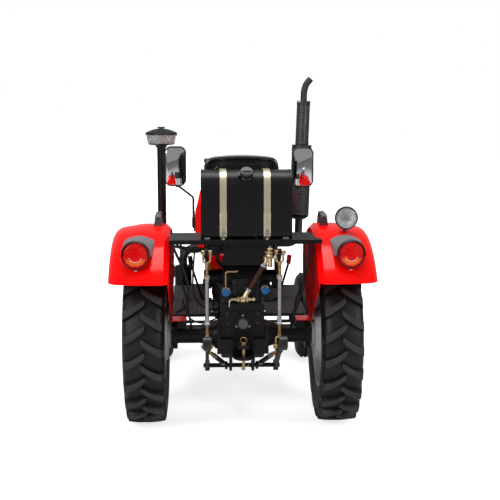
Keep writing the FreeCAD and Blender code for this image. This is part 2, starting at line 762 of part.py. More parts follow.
def hitch_pin():
    """The drawbar pin with its head."""
    pin_y = behind(S.hitch_reach)
    top = S.hitch_height + S.hitch_jaw_gap / 2 + S.hitch_plate
    shank = rod("pin_shank", (0, pin_y, S.hitch_height - 104), (0, pin_y, top + 12), S.hitch_pin_radius)
    head = rod("pin_head", (0, pin_y, top), (0, pin_y, top + 7), S.hitch_pin_radius + 7)
    return node("hitch_pin", fuse("pin", shank, head))


# --- Linkage -------------------------------------------------------------------------------------------


def linkage_places():
    """Returns the rockshaft, arm end, link pivot, lift pin and link ball as (along, up) pairs."""
    shaft = (behind(S.rockshaft_behind), S.rockshaft_height)
    pivot = (behind(S.link_pivot_behind), S.link_pivot_height)
    arm_end = (shaft[0] - S.linkage_reach, shaft[1] + S.linkage_rise)
    lift_pin = (pivot[0] - S.linkage_reach, pivot[1] + S.linkage_rise)
    link_ball = (behind(S.rear_reach - S.link_eye_radius), S.link_ball_height)
    return shaft, arm_end, pivot, lift_pin, link_ball


def bar_outline(start, end, start_half, end_half):
    """Returns the four corners of a tapered bar between two (along, up) points."""
    run = [end[0] - start[0], end[1] - start[1]]
    length = root(run[0] * run[0] + run[1] * run[1])
    across = (-run[1] / length, run[0] / length)
    corners = []
    for point, half, sign in ((start, start_half, 1), (end, end_half, 1), (end, end_half, -1),
                              (start, start_half, -1)):
        corners.append((point[0] + across[0] * half * sign, point[1] + across[1] * half * sign))
    return corners


def lift_arms():
    """The rockshaft with its two arms."""
    shaft, arm_end, _, _, _ = linkage_places()
    plane, half = S.linkage_half_spacing, S.arm_thick / 2
    inner = S.cover_half_width + 22 + S.fork_gap
    parts = [rod("rockshaft", (-plane - half, *shaft), (plane + half, *shaft), S.rockshaft_radius)]
    for side, name in SIDES:
        low, high = side_span(side, plane - half, plane + half)
        parts.append(plate(f"lift_arm_{name}", SIDE_PLANE, bar_outline(shaft, arm_end, 34, 20), (low, high)))
        parts.append(rod(f"lift_boss_{name}", (side * inner, *shaft), (side * (plane + half + 8), *shaft), 38))
        parts.append(rod(f"lift_arm_end_{name}", (low, *arm_end), (high, *arm_end), 22))
        reach = half + S.fork_gap + S.fork_wall + 6
        parts.append(rod(f"lift_arm_pin_{name}", (side * (plane - reach), *arm_end),
                         (side * (plane + reach), *arm_end), S.linkage_pin_radius))
    return node("lift_arms", fuse("arms", *parts))


def lift_rod(side, name):
    """One lift rod: forks at both ends, threaded rods and a turnbuckle tube."""
    _, arm_end, _, lift_pin, _ = linkage_places()
    plane, half = side * S.linkage_half_spacing, S.arm_thick / 2
    near, far = half + S.fork_gap, half + S.fork_gap + S.fork_wall
    run = [lift_pin[0] - arm_end[0], lift_pin[1] - arm_end[1]]
    length = root(run[0] * run[0] + run[1] * run[1])
    step = (run[0] / length, run[1] / length)

    def along_rod(distance):
        return (arm_end[0] + step[0] * distance, arm_end[1] + step[1] * distance)

    parts = []
    leg = (near + far) / 2
    for number, (eye, inward) in enumerate(((0, 1), (length, -1)), start=1):
        tag = f"{name}_{number}"
        crown = along_rod(eye + inward * S.fork_reach)
        parts.append(bent_tube(f"fork_{tag}", [
            (plane - leg, *along_rod(eye)), (plane - leg, *crown), (plane + leg, *crown),
            (plane + leg, *along_rod(eye))], S.fork_bar, 15))
        for cheek, (start, end) in enumerate(((-far, -near), (near, far)), start=1):
            parts.append(rod(f"fork_eye_{tag}_{cheek}", (plane + start, *along_rod(eye)),
                             (plane + end, *along_rod(eye)), 15))
        parts.append(rod(f"fork_boss_{tag}", (plane, *along_rod(eye + inward * (S.fork_reach - 5))),
                         (plane, *along_rod(eye + inward * (S.fork_reach + 16))), 12))
        parts.append(rod(f"threaded_{tag}", (plane, *along_rod(eye + inward * (S.fork_reach + 2))),
                         (plane, *along_rod(eye + inward * (length / 2 - 60))), 9))
        parts.append(rod(f"lock_nut_{tag}", (plane, *along_rod(eye + inward * (length / 2 - 142))),
                         (plane, *along_rod(eye + inward * (length / 2 - 128))), 15))
    parts.append(rod(f"turnbuckle_{name}", (plane, *along_rod(length / 2 - 128)),
                     (plane, *along_rod(length / 2 + 128)), 12))
    solid = fuse(f"lift_rod_solid_{name}", *parts)
    holes = [
        rod(f"fork_bore_{name}_{number}", (plane - far - 1, *point), (plane + far + 1, *point),
            S.linkage_pin_radius + S.running_gap)
        for number, point in enumerate((arm_end, lift_pin), start=1)
    ]
    return node(f"lift_rod_{name}", cut(f"lift_rod_bored_{name}", solid, *holes))


def lower_link(side, name):
    """One lower link with its end balls, lift pin and the stabiliser that turns with it."""
    _, _, pivot, lift_pin, link_ball = linkage_places()
    plane, half = side * S.linkage_half_spacing, S.arm_thick / 2
    knee = (lift_pin[0], lift_pin[1] - 14)
    reach = half + S.fork_gap + S.fork_wall + 6
    parts = [
        plate(f"link_front_{name}", SIDE_PLANE, bar_outline(pivot, knee, 25, 31), (plane - half, plane + half)),
        plate(f"link_rear_{name}", SIDE_PLANE, bar_outline(knee, link_ball, 31, 25), (plane - half, plane + half)),
        rod(f"link_knee_{name}", (plane - half, *knee), (plane + half, *knee), 31),
        rod(f"link_pivot_eye_{name}", (plane - 14, *pivot), (plane + 14, *pivot), 32),
        rod(f"link_ball_eye_{name}", (plane - 20, *link_ball), (plane + 20, *link_ball), S.link_eye_radius),
        rod(f"link_pin_{name}", (plane - reach, *lift_pin), (plane + reach, *lift_pin), S.linkage_pin_radius),
    ]
    inner = side * 92
    tab_front = (inner, *pivot)
    tab_rear = (plane - side * (half + 6), lift_pin[0] + 14, lift_pin[1] - 34)
    step = vector(tab_rear) - vector(tab_front)

    def along_chain(share):
        point = vector(tab_front) + step * share
        return (point.x, point.y, point.z)

    parts += [
        rod(f"stay_rod_{name}", along_chain(0.06), tab_rear, 7),
        rod(f"stay_turnbuckle_{name}", along_chain(0.24), along_chain(0.7), 13),
        rod(f"stay_front_nut_{name}", along_chain(0.2), along_chain(0.24), 15),
        rod(f"stay_rear_nut_{name}", along_chain(0.7), along_chain(0.74), 15),
        rod(f"stay_socket_{name}", along_chain(0.8), along_chain(0.9), 11),
        rod(f"stay_eye_{name}", (inner - 8, *pivot), (inner + 8, *pivot), 24),
        rod(f"stay_lug_{name}", tab_rear, (plane - side * (half - 2), lift_pin[0] + 14, lift_pin[1] - 34), 13),
    ]
    solid = fuse(f"lower_link_solid_{name}", *parts)
    far = S.linkage_half_spacing + 30
    bores = [
        rod(f"link_pivot_bore_{name}", (-far, *pivot), (far, *pivot), S.link_pivot_radius + S.running_gap),
        rod(f"link_ball_bore_{name}", (-far, *link_ball), (far, *link_ball), S.link_ball_bore),
    ]
    return node(f"lower_link_{name}", cut(f"lower_link_bored_{name}", solid, *bores))


def top_link():
    """The top link, stowed upright and leaning to the right on its front pin."""
    face = behind(S.cover_rear) - 22
    eye_y = face - 30
    low = (0, eye_y, S.top_link_height)
    lean_x, lean_z = sine(S.top_link_lean), cosine(S.top_link_lean)

    def along_link(distance):
        return (lean_x * distance, eye_y, S.top_link_height + lean_z * distance)

    parts = [rod("top_link_pin", (-70, eye_y, S.top_link_height), (70, eye_y, S.top_link_height), 8),
             rod("top_link_low_eye", (-13, eye_y, S.top_link_height), (13, eye_y, S.top_link_height), 21)]
    for side, name in SIDES:
        cheek = side_span(side, 20, 30)
        parts.append(block(f"top_link_lug_{name}", cheek, (eye_y, face),
                           (S.top_link_height - 18, S.top_link_height + 18)))
        parts.append(rod(f"top_link_lug_eye_{name}", (cheek[0], eye_y, S.top_link_height),
                         (cheek[1], eye_y, S.top_link_height), 18))
    parts += [
        rod("top_link_low_rod", low, along_link(120), 10),
        rod("top_link_tube", along_link(64), along_link(226), 15),
        rod("top_link_high_rod", along_link(200), along_link(285), 10),
    ]
    eye = along_link(300)
    parts.append(rod("top_link_eye", (eye[0], eye[1] - 16, eye[2]), (eye[0], eye[1] + 16, eye[2]), 27))
    bore = rod("top_link_bore", (eye[0], eye[1] - 20, eye[2]), (eye[0], eye[1] + 20, eye[2]), S.top_link_bore)
    return node("top_link", cut("top_link_bored", fuse("top_link_solid", *parts), bore))


# --- Wheels --------------------------------------------------------------------------------------------


def wheel_point(at, radius, across, angle):
    """Returns a point of a wheel by its radius, its distance to the right and its angle behind straight down."""
    turn = math.radians(angle)
    return vector(at) + Vector(across, -radius * math.sin(turn), -radius * math.cos(turn))


def flat_face(corners):
    """Returns the flat face between corners."""
    return Part.Face(Part.makePolygon(corners + corners[:1]))


def closed_solid(name, faces):
    """Returns the solid that flat faces enclose."""
    shell = Part.makeShell(faces)
    shell.sewShape()
    solid = Part.Solid(shell)
    if solid.Volume < 0:
        solid.reverse()
    item = doc.addObject("Part::Feature", name)
    item.Shape = solid
    return item


def flat_sided_ring(name, outline, at, sides):
    """Returns a ring about a wheel's axle whose flat sides touch a round outline of (radius, across) points.

    The middle of one side is straight down, so that the wheel stands on it.
    """
    step = 360 / sides
    reach = 1 / math.cos(math.radians(step / 2))
    rings = [
        [wheel_point(at, float(radius) * reach, float(across), (number + 0.5) * step)
         for radius, across in outline]
        for number in range(sides)
    ]
    faces = []
    for number, here in enumerate(rings):
        onward = rings[(number + 1) % sides]
        for index in range(len(outline)):
            after = (index + 1) % len(outline)
            faces.append(flat_face([here[index], here[after], onward[after], onward[index]]))
    return closed_solid(name, faces)


REAR_TYRE_SIDES = 24
FRONT_TYRE_SIDES = 22
LUGS_IN_ROW = 22
LUG_SWEEP = (0, 4.7, 8.6)          # degrees that the lug trails at its inner end, its knee and its outer end
LUG_SPREAD = (1, 1.08, 1.3)        # its thickness there, as a share of the thickness at the middle


def lug_footing():
    """Returns the angle and the tip radius with which the wheel stands evenly on two neighbouring lugs.

    The wheel stands between the inner end of one lug and the knee of the next, so that its flat side there is at
    the tyre's radius.
    """
    thick, radius = float(S.rear_lug_thick), float(S.rear_tyre_radius)
    inner, knee = [math.degrees(thick / 2 * spread / radius) for spread in LUG_SPREAD[:2]]
    next_knee = 180 / LUGS_IN_ROW - LUG_SWEEP[1] + knee
    return (inner + next_knee) / 2, radius / math.cos(math.radians((next_knee - inner) / 2))


def lug(name, at, row, angle, tip):
    """Returns one tread lug: a bar bent back from the middle of the tread to the shoulder."""
    tyre_half, thick = float(S.rear_tyre_width) / 2, float(S.rear_lug_thick)
    tread = float(S.rear_tyre_radius - S.rear_lug_height)
    inner, knee, outer = [thick * spread for spread in LUG_SPREAD]
    stations = (            # across, tip radius, foot radius, thickness
        (-12, tip, tread - 10, inner),
        (0.42 * tyre_half, tip, tread - 10, knee),
        (tyre_half - 8, tip - 12, tread - 54, outer),
    )
    tips, feet = [], []
    for (across, high, low, width), sweep in zip(stations, LUG_SWEEP):
        for points, radius, spread in ((tips, high, 0.5), (feet, low, 0.62)):
            turn = math.degrees(width * spread / radius)
            points.append([wheel_point(at, radius, row * across, angle - sweep + sign * turn)
                           for sign in (-1, 1)])
    faces = []

    def pave(first, second, third, fourth):
        faces.append(flat_face([first, second, third]))
        faces.append(flat_face([first, third, fourth]))

    for near, far in ((0, 1), (1, 2)):
        pave(tips[near][0], tips[near][1], tips[far][1], tips[far][0])
        pave(feet[near][0], feet[near][1], feet[far][1], feet[far][0])
        for end in (0, 1):
            pave(feet[near][end], tips[near][end], tips[far][end], feet[far][end])
    for end in (0, 2):
        pave(feet[end][0], feet[end][1], tips[end][1], tips[end][0])
    return closed_solid(name, faces)


def rear_tyre():
    """The right rear tyre: a carcass with two staggered rows of lugs."""
    at = (S.rear_track / 2, behind(0), S.rear_tyre_radius)
    half, seat, wall = S.rear_rim_width / 2, S.rear_bead_radius, S.rim_wall
    flange, tyre_half = seat + S.rim_flange, S.rear_tyre_width / 2
    tread = S.rear_tyre_radius - S.rear_lug_height
    flank = [(seat, half - wall), (flange, half - wall), (seat + 100, tyre_half), (tread - 18, tyre_half - 13),
             (tread, tyre_half - 36)]
    outline = [(radius, -across) for radius, across in flank] + flank[::-1]
    parts = [flat_sided_ring("rear_carcass", outline, at, REAR_TYRE_SIDES)]
    pitch = 360 / LUGS_IN_ROW
    footing, tip = lug_footing()
    for row, row_name, stagger in ((-1, "inner", 0), (1, "outer", 0.5)):
        for number in range(LUGS_IN_ROW):
            parts.append(lug(f"lug_{row_name}_{number + 1}", at, row, (number + stagger) * pitch - footing, tip))
    return fuse("rear_tyre_solid", *parts)


def front_tyre():
    """The right front tyre with its ribbed tread."""
    at = (S.front_track / 2, ahead(S.wheelbase), S.front_tyre_radius)
    half, seat, wall = S.front_rim_width / 2, S.front_bead_radius, S.rim_wall - 2
    flange, tyre_half, tip = seat + S.rim_flange - 2, S.front_tyre_width / 2, S.front_tyre_radius
    flank = [(seat, half - wall), (flange, half - wall), (seat + 52, tyre_half), (tip - 22, tyre_half - 10),
             (tip - 5, tyre_half - 32), (tip - 12, 22), (tip, 12)]
    outline = [(radius, -across) for radius, across in flank] + flank[::-1]
    return flat_sided_ring("front_tyre_solid", outline, at, FRONT_TYRE_SIDES)


def rear_wheel(side, name):
    """A rear rim with its disc, hub and shaft."""
    centre = S.rear_track / 2
    half, seat, wall = S.rear_rim_width / 2, S.rear_bead_radius, S.rim_wall
    face = centre - S.axle_end - 13      # from the wheel centre in to the hub flange's inner face
    disc = face - S.hub_flange_thick     # from the wheel centre in to the disc's inner face
    flange, well = seat + S.rim_flange, seat - 30
    at = (side * centre, behind(0), S.rear_tyre_radius)
    outward = (side, 0, 0)
    rim = turned(
        f"rear_rim_ring_{name}",
        [
            (flange, -half), (flange, -half + wall), (seat, -half + wall), (seat, -half + 34), (well, -half + 60),
            (well, half - 60), (seat, half - 34), (seat, half - wall), (flange, half - wall), (flange, half),
            (seat - wall, half), (seat - wall, half - 30), (well - wall, half - 56),
            (well - wall, -half + 56), (seat - wall, -half + 30), (seat - wall, -half),
        ],
        at, outward)
    dish = turned(
        f"rear_disc_{name}",
        [
            (0, -disc), (S.hub_face_radius, -disc), (well - 60, -30), (well - wall / 2, -30),
            (well - wall / 2, -30 + wall), (well - 62, -30 + wall), (S.hub_face_radius - 4, -disc + wall),
            (0, -disc + wall),
        ],
        at, outward)
    hub = turned(
        f"rear_hub_{name}",
        [
            (0, -face - 100), (S.axle_shaft_radius, -face - 100), (S.axle_shaft_radius, -face),
            (S.hub_flange_radius, -face), (S.hub_flange_radius, -disc + 1), (50, -disc + 1),
            (50, -disc + 24), (42, -disc + 32), (0, -disc + 32),
        ],
        at, outward)
    holes = []
    for number in range(8):
        turn = math.radians(45 * number)
        y, z = at[1] + S.hand_hole_ring * math.sin(turn), at[2] + S.hand_hole_ring * math.cos(turn)
        holes.append(rod(f"hand_hole_{name}_{number + 1}", (side * (centre - disc - 20), y, z),
                         (side * (centre + 10), y, z), S.hand_hole_radius))
    node(f"rear_rim_{name}", fuse(f"rear_rim_solid_{name}", rim, cut(f"rear_disc_cut_{name}", dish, *holes), hub))


def front_wheel(side, name):
    """A front rim with its disc and hub."""
    centre = S.front_track / 2
    half, seat, wall = S.front_rim_width / 2, S.front_bead_radius, S.rim_wall - 2
    flange, well = seat + S.rim_flange - 2, seat - 18
    at = (side * centre, ahead(S.wheelbase), S.front_tyre_radius)
    outward = (side, 0, 0)
    rim = turned(
        f"front_rim_ring_{name}",
        [
            (flange, -half), (flange, -half + wall), (seat, -half + wall), (seat, -half + 22), (well, -half + 36),
            (well, half - 36), (seat, half - 22), (seat, half - wall), (flange, half - wall), (flange, half),
            (seat - wall, half), (seat - wall, half - 19), (well - wall, half - 33),
            (well - wall, -half + 33), (seat - wall, -half + 19), (seat - wall, -half),
        ],
        at, outward)
    disc = turned(
        f"front_disc_{name}",
        [
            (S.front_hub_radius - 2, 2), (75, 2), (110, 16), (well - wall / 2, 8), (well - wall / 2, 13),
            (112, 22), (73, 8), (S.front_hub_radius - 2, 8),
        ],
        at, outward)
    bore = S.spindle_radius + S.running_gap
    hub = turned(
        f"front_hub_{name}",
        [(bore, -44), (S.front_hub_radius, -44), (S.front_hub_radius, 26), (30, 48), (0, 48), (0, 32), (bore, 32)],
        at, outward)
    node(f"front_rim_{name}", fuse(f"front_rim_solid_{name}", rim, disc, hub))


# --- Front axle and steering ---------------------------------------------------------------------------


def front_frame():
    """The side rails, bolster, axle pivot brackets and bumper ahead of the transmission."""
    half, low, high = S.rail_half_width, S.rail_bottom, S.rail_top
    front = ahead(S.wheelbase + 260)
    bumper = ahead(S.wheelbase + S.front_reach)
    axle = ahead(S.wheelbase)
    parts = [
        block(f"rail_{name}", side_span(side, half - 26, half), (ahead(S.bell_front), front), (low, high))
        for side, name in SIDES
    ]
    parts.append(block("bolster", (-half + 26, half - 26), (axle - 85, axle + 85), (low, high - 20)))
    parts.append(block("front_plate", (-half - 10, half + 10), (front, front + 16), (low - 40, high + 80)))
    parts.append(block("radiator_seat", (-half + 20, half - 20), (ahead(radiator_front - 75), front), (high - 20, high)))
    for number, (near, far) in enumerate(((-80, -60), (60, 80)), start=1):
        parts.append(plate(f"axle_hanger_{number}", CROSS_PLANE,
                           [(-70, low + 4), (-46, S.beam_height - 44), (46, S.beam_height - 44), (70, low + 4)],
                           (axle + near, axle + far)))
    parts.append(rod("axle_pin", (0, axle - 84, S.beam_height), (0, axle + 84, S.beam_height), 18))
    for side, name in SIDES:
        parts.append(block(f"bumper_arm_{name}", side_span(side, 90, 102), (front + 16, bumper - 50), (low, low + 70)))
    parts.append(block("bumper_bar", (-190, 190), (bumper - 50, bumper - 40), (low - 10, low + 130)))
    parts.append(block("bumper_weight", (-100, 100), (bumper - 40, bumper), (low, low + 90)))
    return node("front_frame", fuse("frame", *parts))


def front_axle():
    """The beam with its pivot boss and kingpin housings."""
    axle, up = ahead(S.wheelbase), S.beam_height
    aside = kingpin_aside
    beam = block("beam", (-aside, aside), (axle - 30, axle + 30), (up - 32, up + 32))
    boss = rod("beam_boss", (0, axle - 59.5, up), (0, axle + 59.5, up), 46)
    parts = [beam, boss]
    tools = [rod("beam_bore", (0, axle - 70, up), (0, axle + 70, up), 18)]
    for side, name in SIDES:
        x = side * aside
        parts.append(rod(f"kingpin_housing_{name}", (x, axle, up - 30), (x, axle, up + 70), S.kingpin_boss_radius))
        tools.append(rod(f"kingpin_bore_{name}", (x, axle, up - 50), (x, axle, up + 90),
                         S.kingpin_radius + S.running_gap))
    return node("front_axle", cut("front_axle_bored", fuse("front_axle_solid", *parts), *tools))


def knuckle(side, name):
    """A steering knuckle: kingpin, stub axle and steering arm."""
    axle, aside = ahead(S.wheelbase), side * kingpin_aside
    wheel_z, low = S.front_tyre_radius, S.tie_rod_height - 12
    housing_low = S.beam_height - 32
    eye_y = axle - S.steering_arm
    stub_end = side * (S.front_track / 2 + 30)
    parts = [
        rod(f"kingpin_{name}", (aside, axle, low), (aside, axle, S.beam_height + 78), S.kingpin_radius),
        rod(f"kingpin_cap_{name}", (aside, axle, S.beam_height + 72), (aside, axle, S.beam_height + 84), 22),
        rod(f"knuckle_block_{name}", (aside, axle, low - 20), (aside, axle, housing_low - 4), 30),
        rod(f"stub_axle_{name}", (aside, axle, wheel_z), (stub_end, axle, wheel_z), S.spindle_radius),
        rod(f"stub_collar_{name}", (aside, axle, wheel_z), (side * (kingpin_aside + 44), axle, wheel_z), 28),
        block(f"steering_arm_{name}", (aside - 14, aside + 14), (eye_y, axle), (low - 20, low)),
        rod(f"steering_arm_end_{name}", (aside, eye_y, low - 20), (aside, eye_y, low), 18),
        rod(f"steering_pin_{name}", (aside, eye_y, low - 20), (aside, eye_y, low + 34), 8),
    ]
    return node(f"knuckle_{name}", fuse(f"knuckle_solid_{name}", *parts))


def tie_rod():
    """The rod that joins the two steering arms."""
    eye_y, up = ahead(S.wheelbase) - S.steering_arm, S.tie_rod_height
    aside = kingpin_aside
    parts = [rod("tie_bar", (-aside, eye_y, up), (aside, eye_y, up), 9)]
    tools = []
    for side, name in SIDES:
        x = side * aside
        parts.append(rod(f"tie_eye_{name}", (x, eye_y, up - 11), (x, eye_y, up + 11), 16))
        parts.append(rod(f"tie_sleeve_{name}", (x * 0.93, eye_y, up), (x * 0.7, eye_y, up), 12))
        tools.append(rod(f"tie_bore_{name}", (x, eye_y, up - 20), (x, eye_y, up + 20), 8 + S.running_gap))
    return node("tie_rod", cut("tie_rod_bored", fuse("tie_rod_solid", *parts), *tools))


COLUMN_FOOT = (690, 1165)       # ahead of the rear axle, height
COLUMN_HEAD = (512, 1352)


def steering_column():
    """The column from the cowl up to the steering wheel."""
    foot = (0, ahead(COLUMN_FOOT[0]), COLUMN_FOOT[1])
    head = (0, ahead(COLUMN_HEAD[0]), COLUMN_HEAD[1])
    step = vector(head) - vector(foot)
    neck = vector(foot) + step * 0.75
    end = vector(foot) + step * 0.86
    sleeve = rod("column_sleeve", foot, tuple(neck), 30, 24)
    tube = rod("column_tube", foot, tuple(end), 19)
    shaft_bore = rod("column_bore", tuple(vector(foot) + step * 0.5), tuple(vector(foot) + step * 0.9), 9.05)
    solid = cut("column_trimmed", fuse("column_solid", sleeve, tube), doc.getObject("cowl_body"))
    return node("steering_column", cut("column_bored", solid, shaft_bore))


def steering_wheel():
    """The rim, three spokes, hub and shaft of the steering wheel."""
    foot, head = Vector(0, COLUMN_FOOT[0], COLUMN_FOOT[1]), Vector(0, COLUMN_HEAD[0], COLUMN_HEAD[1])
    lean = (head - foot).normalize()
    centre = (0, ahead(COLUMN_HEAD[0]), COLUMN_HEAD[1])
    body = doc.addObject("Part::Cylinder", "steering_hub")
    bind(body, "Radius", 34)
    bind(body, "Height", 40)
    place(body, (0, ahead(COLUMN_HEAD[0] - lean.y * 22), COLUMN_HEAD[1] - lean.z * 22), Rotation(Vector(0, 0, 1), lean))
    shaft_end = vector(centre) - lean * 100
    parts = [body, torus("steering_rim", centre, tuple(lean), S.steering_wheel_radius, S.steering_rim_radius),
             rod("steering_shaft", tuple(shaft_end), centre, 9)]
    across = lean.cross(Vector(1, 0, 0))
    for number, angle in enumerate((90, 210, 330), start=1):
        way = Vector(1, 0, 0) * math.cos(math.radians(angle)) + across * math.sin(math.radians(angle))
        end = vector(centre) + way * float(S.steering_wheel_radius)
        parts.append(rod(f"steering_spoke_{number}", centre, tuple(end), 8))
    return node("steering_wheel", fuse("steering_wheel_solid", *parts))


# --- Engine and cooling --------------------------------------------------------------------------------


CYLINDERS = 3
ALTERNATOR_AT = (152, 800)      # across, height


def pulley(name, across, height, radius, along):
    """Returns a grooved pulley that faces forward."""
    return turned(name, [(0, 0), (radius, 0), (radius, 5), (radius - 7, 9), (radius - 7, 13), (radius, 17),
                         (radius, 22), (0, 22)], (across, along, height), (0, 1, 0))


def belt_run(name, first, second, along):
    """Returns one straight run of the fan belt on the outer side of two (across, height, radius) pulleys."""
    centres = [Vector(float(across), float(height), 0) for across, height, _ in (first, second)]
    step = centres[1] - centres[0]
    turn = math.asin((float(first[2]) - float(second[2])) / step.Length)
    way = step.normalize()
    side = Vector(-way.y, way.x, 0) * math.cos(turn) + way * math.sin(turn)
    corners = []
    for centre, pulley_size, heights in ((centres[0], first, (-5, 1)), (centres[1], second, (1, -5))):
        for height in heights:
            spot = centre + side * (float(pulley_size[2]) + height)
            corners.append((spot.x, spot.y))
    return plate(name, CROSS_PLANE, corners, (along + 7, along + 15))


def fan_drive(along):
    """Returns the pulleys and the belt at the front of the engine."""
    pulleys = [(0, S.crank_height, 70), (*ALTERNATOR_AT, 34), (0, S.fan_height, 52)]
    parts = [pulley(f"pulley_{number}", across, height, radius, along)
             for number, (across, height, radius) in enumerate(pulleys, start=1)]
    for number, first in enumerate(pulleys):
        second = pulleys[(number + 1) % len(pulleys)]
        parts.append(belt_run(f"belt_run_{number + 1}", second, first, along))
    return parts


def fuel_injection(rear, half):
    """Returns the injection pump, its delivery pipes, the injectors and the fuel filter on the left."""
    pump_rear, pump_top = rear + 230, 790
    parts = [
        block("injection_pump", (-half - 26, -half + 22), (pump_rear, pump_rear + 170), (700, pump_top)),
        rod("pump_governor", (-half + 2, pump_rear - 40, 745), (-half + 2, pump_rear, 745), 40),
        rod("fuel_filter", (-half - 30, rear + 130, 770), (-half - 30, rear + 130, 880), 36),
        block("filter_head", (-half - 66, -half + 34), (rear + 92, rear + 168), (880, 904)),
    ]
    for number in range(CYLINDERS):
        outlet = pump_rear + 40 + 45 * number
        port = rear + 120 + 140 * number
        parts.append(rod(f"delivery_valve_{number + 1}", (-half - 4, outlet, pump_top), (-half - 4, outlet, 816), 10))
        parts.append(bent_tube(f"injector_pipe_{number + 1}", [
            (-half - 4, outlet, 812), (-half - 4, outlet, 846), (-half - 4, port, 976 + 4 * number),
            (-half + 46, port, 976 + 4 * number)], 3.5, 12))
        parts.append(rod(f"injector_{number + 1}", (-half + 46, port, S.engine_top - 74), (-half + 46, port, 990), 10))
    return parts


def manifolds(rear, half):
    """Returns the exhaust manifold on the right and the intake manifold on the left."""
    log_x, log_z = half - 8, 912
    parts = [
        rod("exhaust_log", (log_x, rear + 70, log_z), (log_x, rear + 440, log_z), 22),
        block("exhaust_flange", (log_x, half + 16), (ahead(S.exhaust_ahead) - 36, ahead(S.exhaust_ahead) + 36),
              (log_z - 36, log_z + 36)),
        block("intake_plenum", (-half - 22, -half + 12), (rear + 70, rear + 450), (872, 928)),
    ]
    for number in range(CYLINDERS):
        port = rear + 120 + 140 * number
        parts.append(block(f"exhaust_port_{number + 1}", (half - 40, log_x), (port - 22, port + 22), (892, 932)))
        parts.append(block(f"intake_port_{number + 1}", (-half + 10, -half + 40), (port - 22, port + 22), (880, 920)))
    return parts


def engine():
    """The engine: block, sump, head, rocker cover and what is bolted round them."""
    rear, front, half = ahead(S.bell_front), ahead(engine_front), S.engine_half_width
    block_front = front - 40
    deck, head_top = 840, S.engine_top - 70

    def sump_outline(height, side, back, ahead_end):
        return [(-side, back, height), (side, back, height), (side, ahead_end, height), (-side, ahead_end, height)]

    rocker = plate("rocker_cover", CROSS_PLANE, [
        (-half + 58, head_top), (half - 58, head_top), (half - 66, S.engine_top), (-half + 66, S.engine_top)],
        (rear + 45, block_front - 30), rounds={2: 22, 3: 22})
    parts = [
        block("engine_block", (-half + 20, half - 20), (rear, block_front), (560, deck)),
        block("sump_flange", (-half + 18, half - 18), (rear + 8, block_front), (552, 566)),
        loft("engine_sump", [sump_outline(452, half - 62, rear + 60, block_front - 60),
                             sump_outline(552, half - 24, rear + 16, block_front - 16)]),
        block("cylinder_head", (-half + 32, half - 32), (rear + 30, block_front - 10), (deck, head_top)),
        rocker,
        rod("oil_filler", (0, rear + 130, S.engine_top - 2), (0, rear + 130, S.engine_top + 22), 24),
        block("timing_cover", (-half + 25, half - 25), (block_front, block_front + 18), (500, 868)),
        rod("water_pump", (0, block_front + 18, S.fan_height), (0, front + 4, S.fan_height), 30),
        rod("crank_nose", (0, block_front + 10, S.crank_height), (0, block_front + 46, S.crank_height), 22),
        rod("alternator", (ALTERNATOR_AT[0], block_front - 120, ALTERNATOR_AT[1]),
            (ALTERNATOR_AT[0], block_front + 14, ALTERNATOR_AT[1]), 54),
        rod("alternator_shaft", (ALTERNATOR_AT[0], block_front, ALTERNATOR_AT[1]),
            (ALTERNATOR_AT[0], block_front + 30, ALTERNATOR_AT[1]), 12),
        rod("oil_filter", (half - 24, rear + 240, 620), (half + 66, rear + 240, 620), 40),
        block("starter_seat", (half - 20, half + 6), (rear, rear + 120), (664, 744)),
        rod("starter", (half + 20, rear, 704), (half + 20, rear + 190, 704), 38),
        rod("starter_switch", (half + 26, rear + 30, 756), (half + 26, rear + 130, 756), 22),
        block("thermostat", (-92, -34), (block_front - 14, block_front + 26), (868, 936)),
        rod("thermostat_neck", (-63, block_front + 4, 930), (-63, block_front + 4, 972), 22),
    ]
    ribs = [
        block(f"block_rib_{number + 1}", (-half + 18, half - 18), (rear + 58 + 140 * number, rear + 70 + 140 * number),
              (580, deck - 16))
        for number in range(CYLINDERS + 1)
    ]
    return node("engine", fuse("engine_solid", *parts, *ribs, *manifolds(rear, half), *fuel_injection(rear, half),
                               *fan_drive(block_front + 18)))


def radiator():
    """The radiator: core, tanks, fan shroud and top hose."""
    front, half, top = ahead(radiator_front), S.radiator_half_width, S.radiator_top
    core_rear = front - 52
    core = block("radiator_core", (-half, half), (core_rear, front), (S.rail_top, top - 50))
    tank = plate("radiator_tank", SIDE_PLANE, [
        (front - 66, top - 50), (front + 6, top - 50), (front + 6, top), (front - 66, top)],
        (-half + 4, half - 4), rounds={2: 18, 3: 18})
    neck = rod("radiator_neck", (60, front - 30, top - 4), (60, front - 30, top + 24), 22)
    cap = rod("radiator_cap", (60, front - 30, top + 24), (60, front - 30, top + 32), 30)
    box = block("shroud_box", (-half + 8, half - 8), (core_rear - 34, core_rear), (S.fan_height - 190, top - 54))
    hollow = block("shroud_hollow", (-half + 12, half - 12), (core_rear - 30, core_rear),
                   (S.fan_height - 186, top - 58))
    mouth = rod("shroud_mouth", (0, core_rear - 40, S.fan_height), (0, core_rear - 20, S.fan_height),
                S.fan_radius + 10)
    shroud = cut("fan_shroud", box, hollow, mouth)
    hose_y = ahead(engine_front) - 36
    hose = bent_tube("top_hose", [(-63, front - 60, top - 26), (-63, hose_y, top - 26), (-63, hose_y, 972)], 25, 60)
    return node("radiator", fuse("radiator_solid", core, tank, neck, cap, shroud, hose))


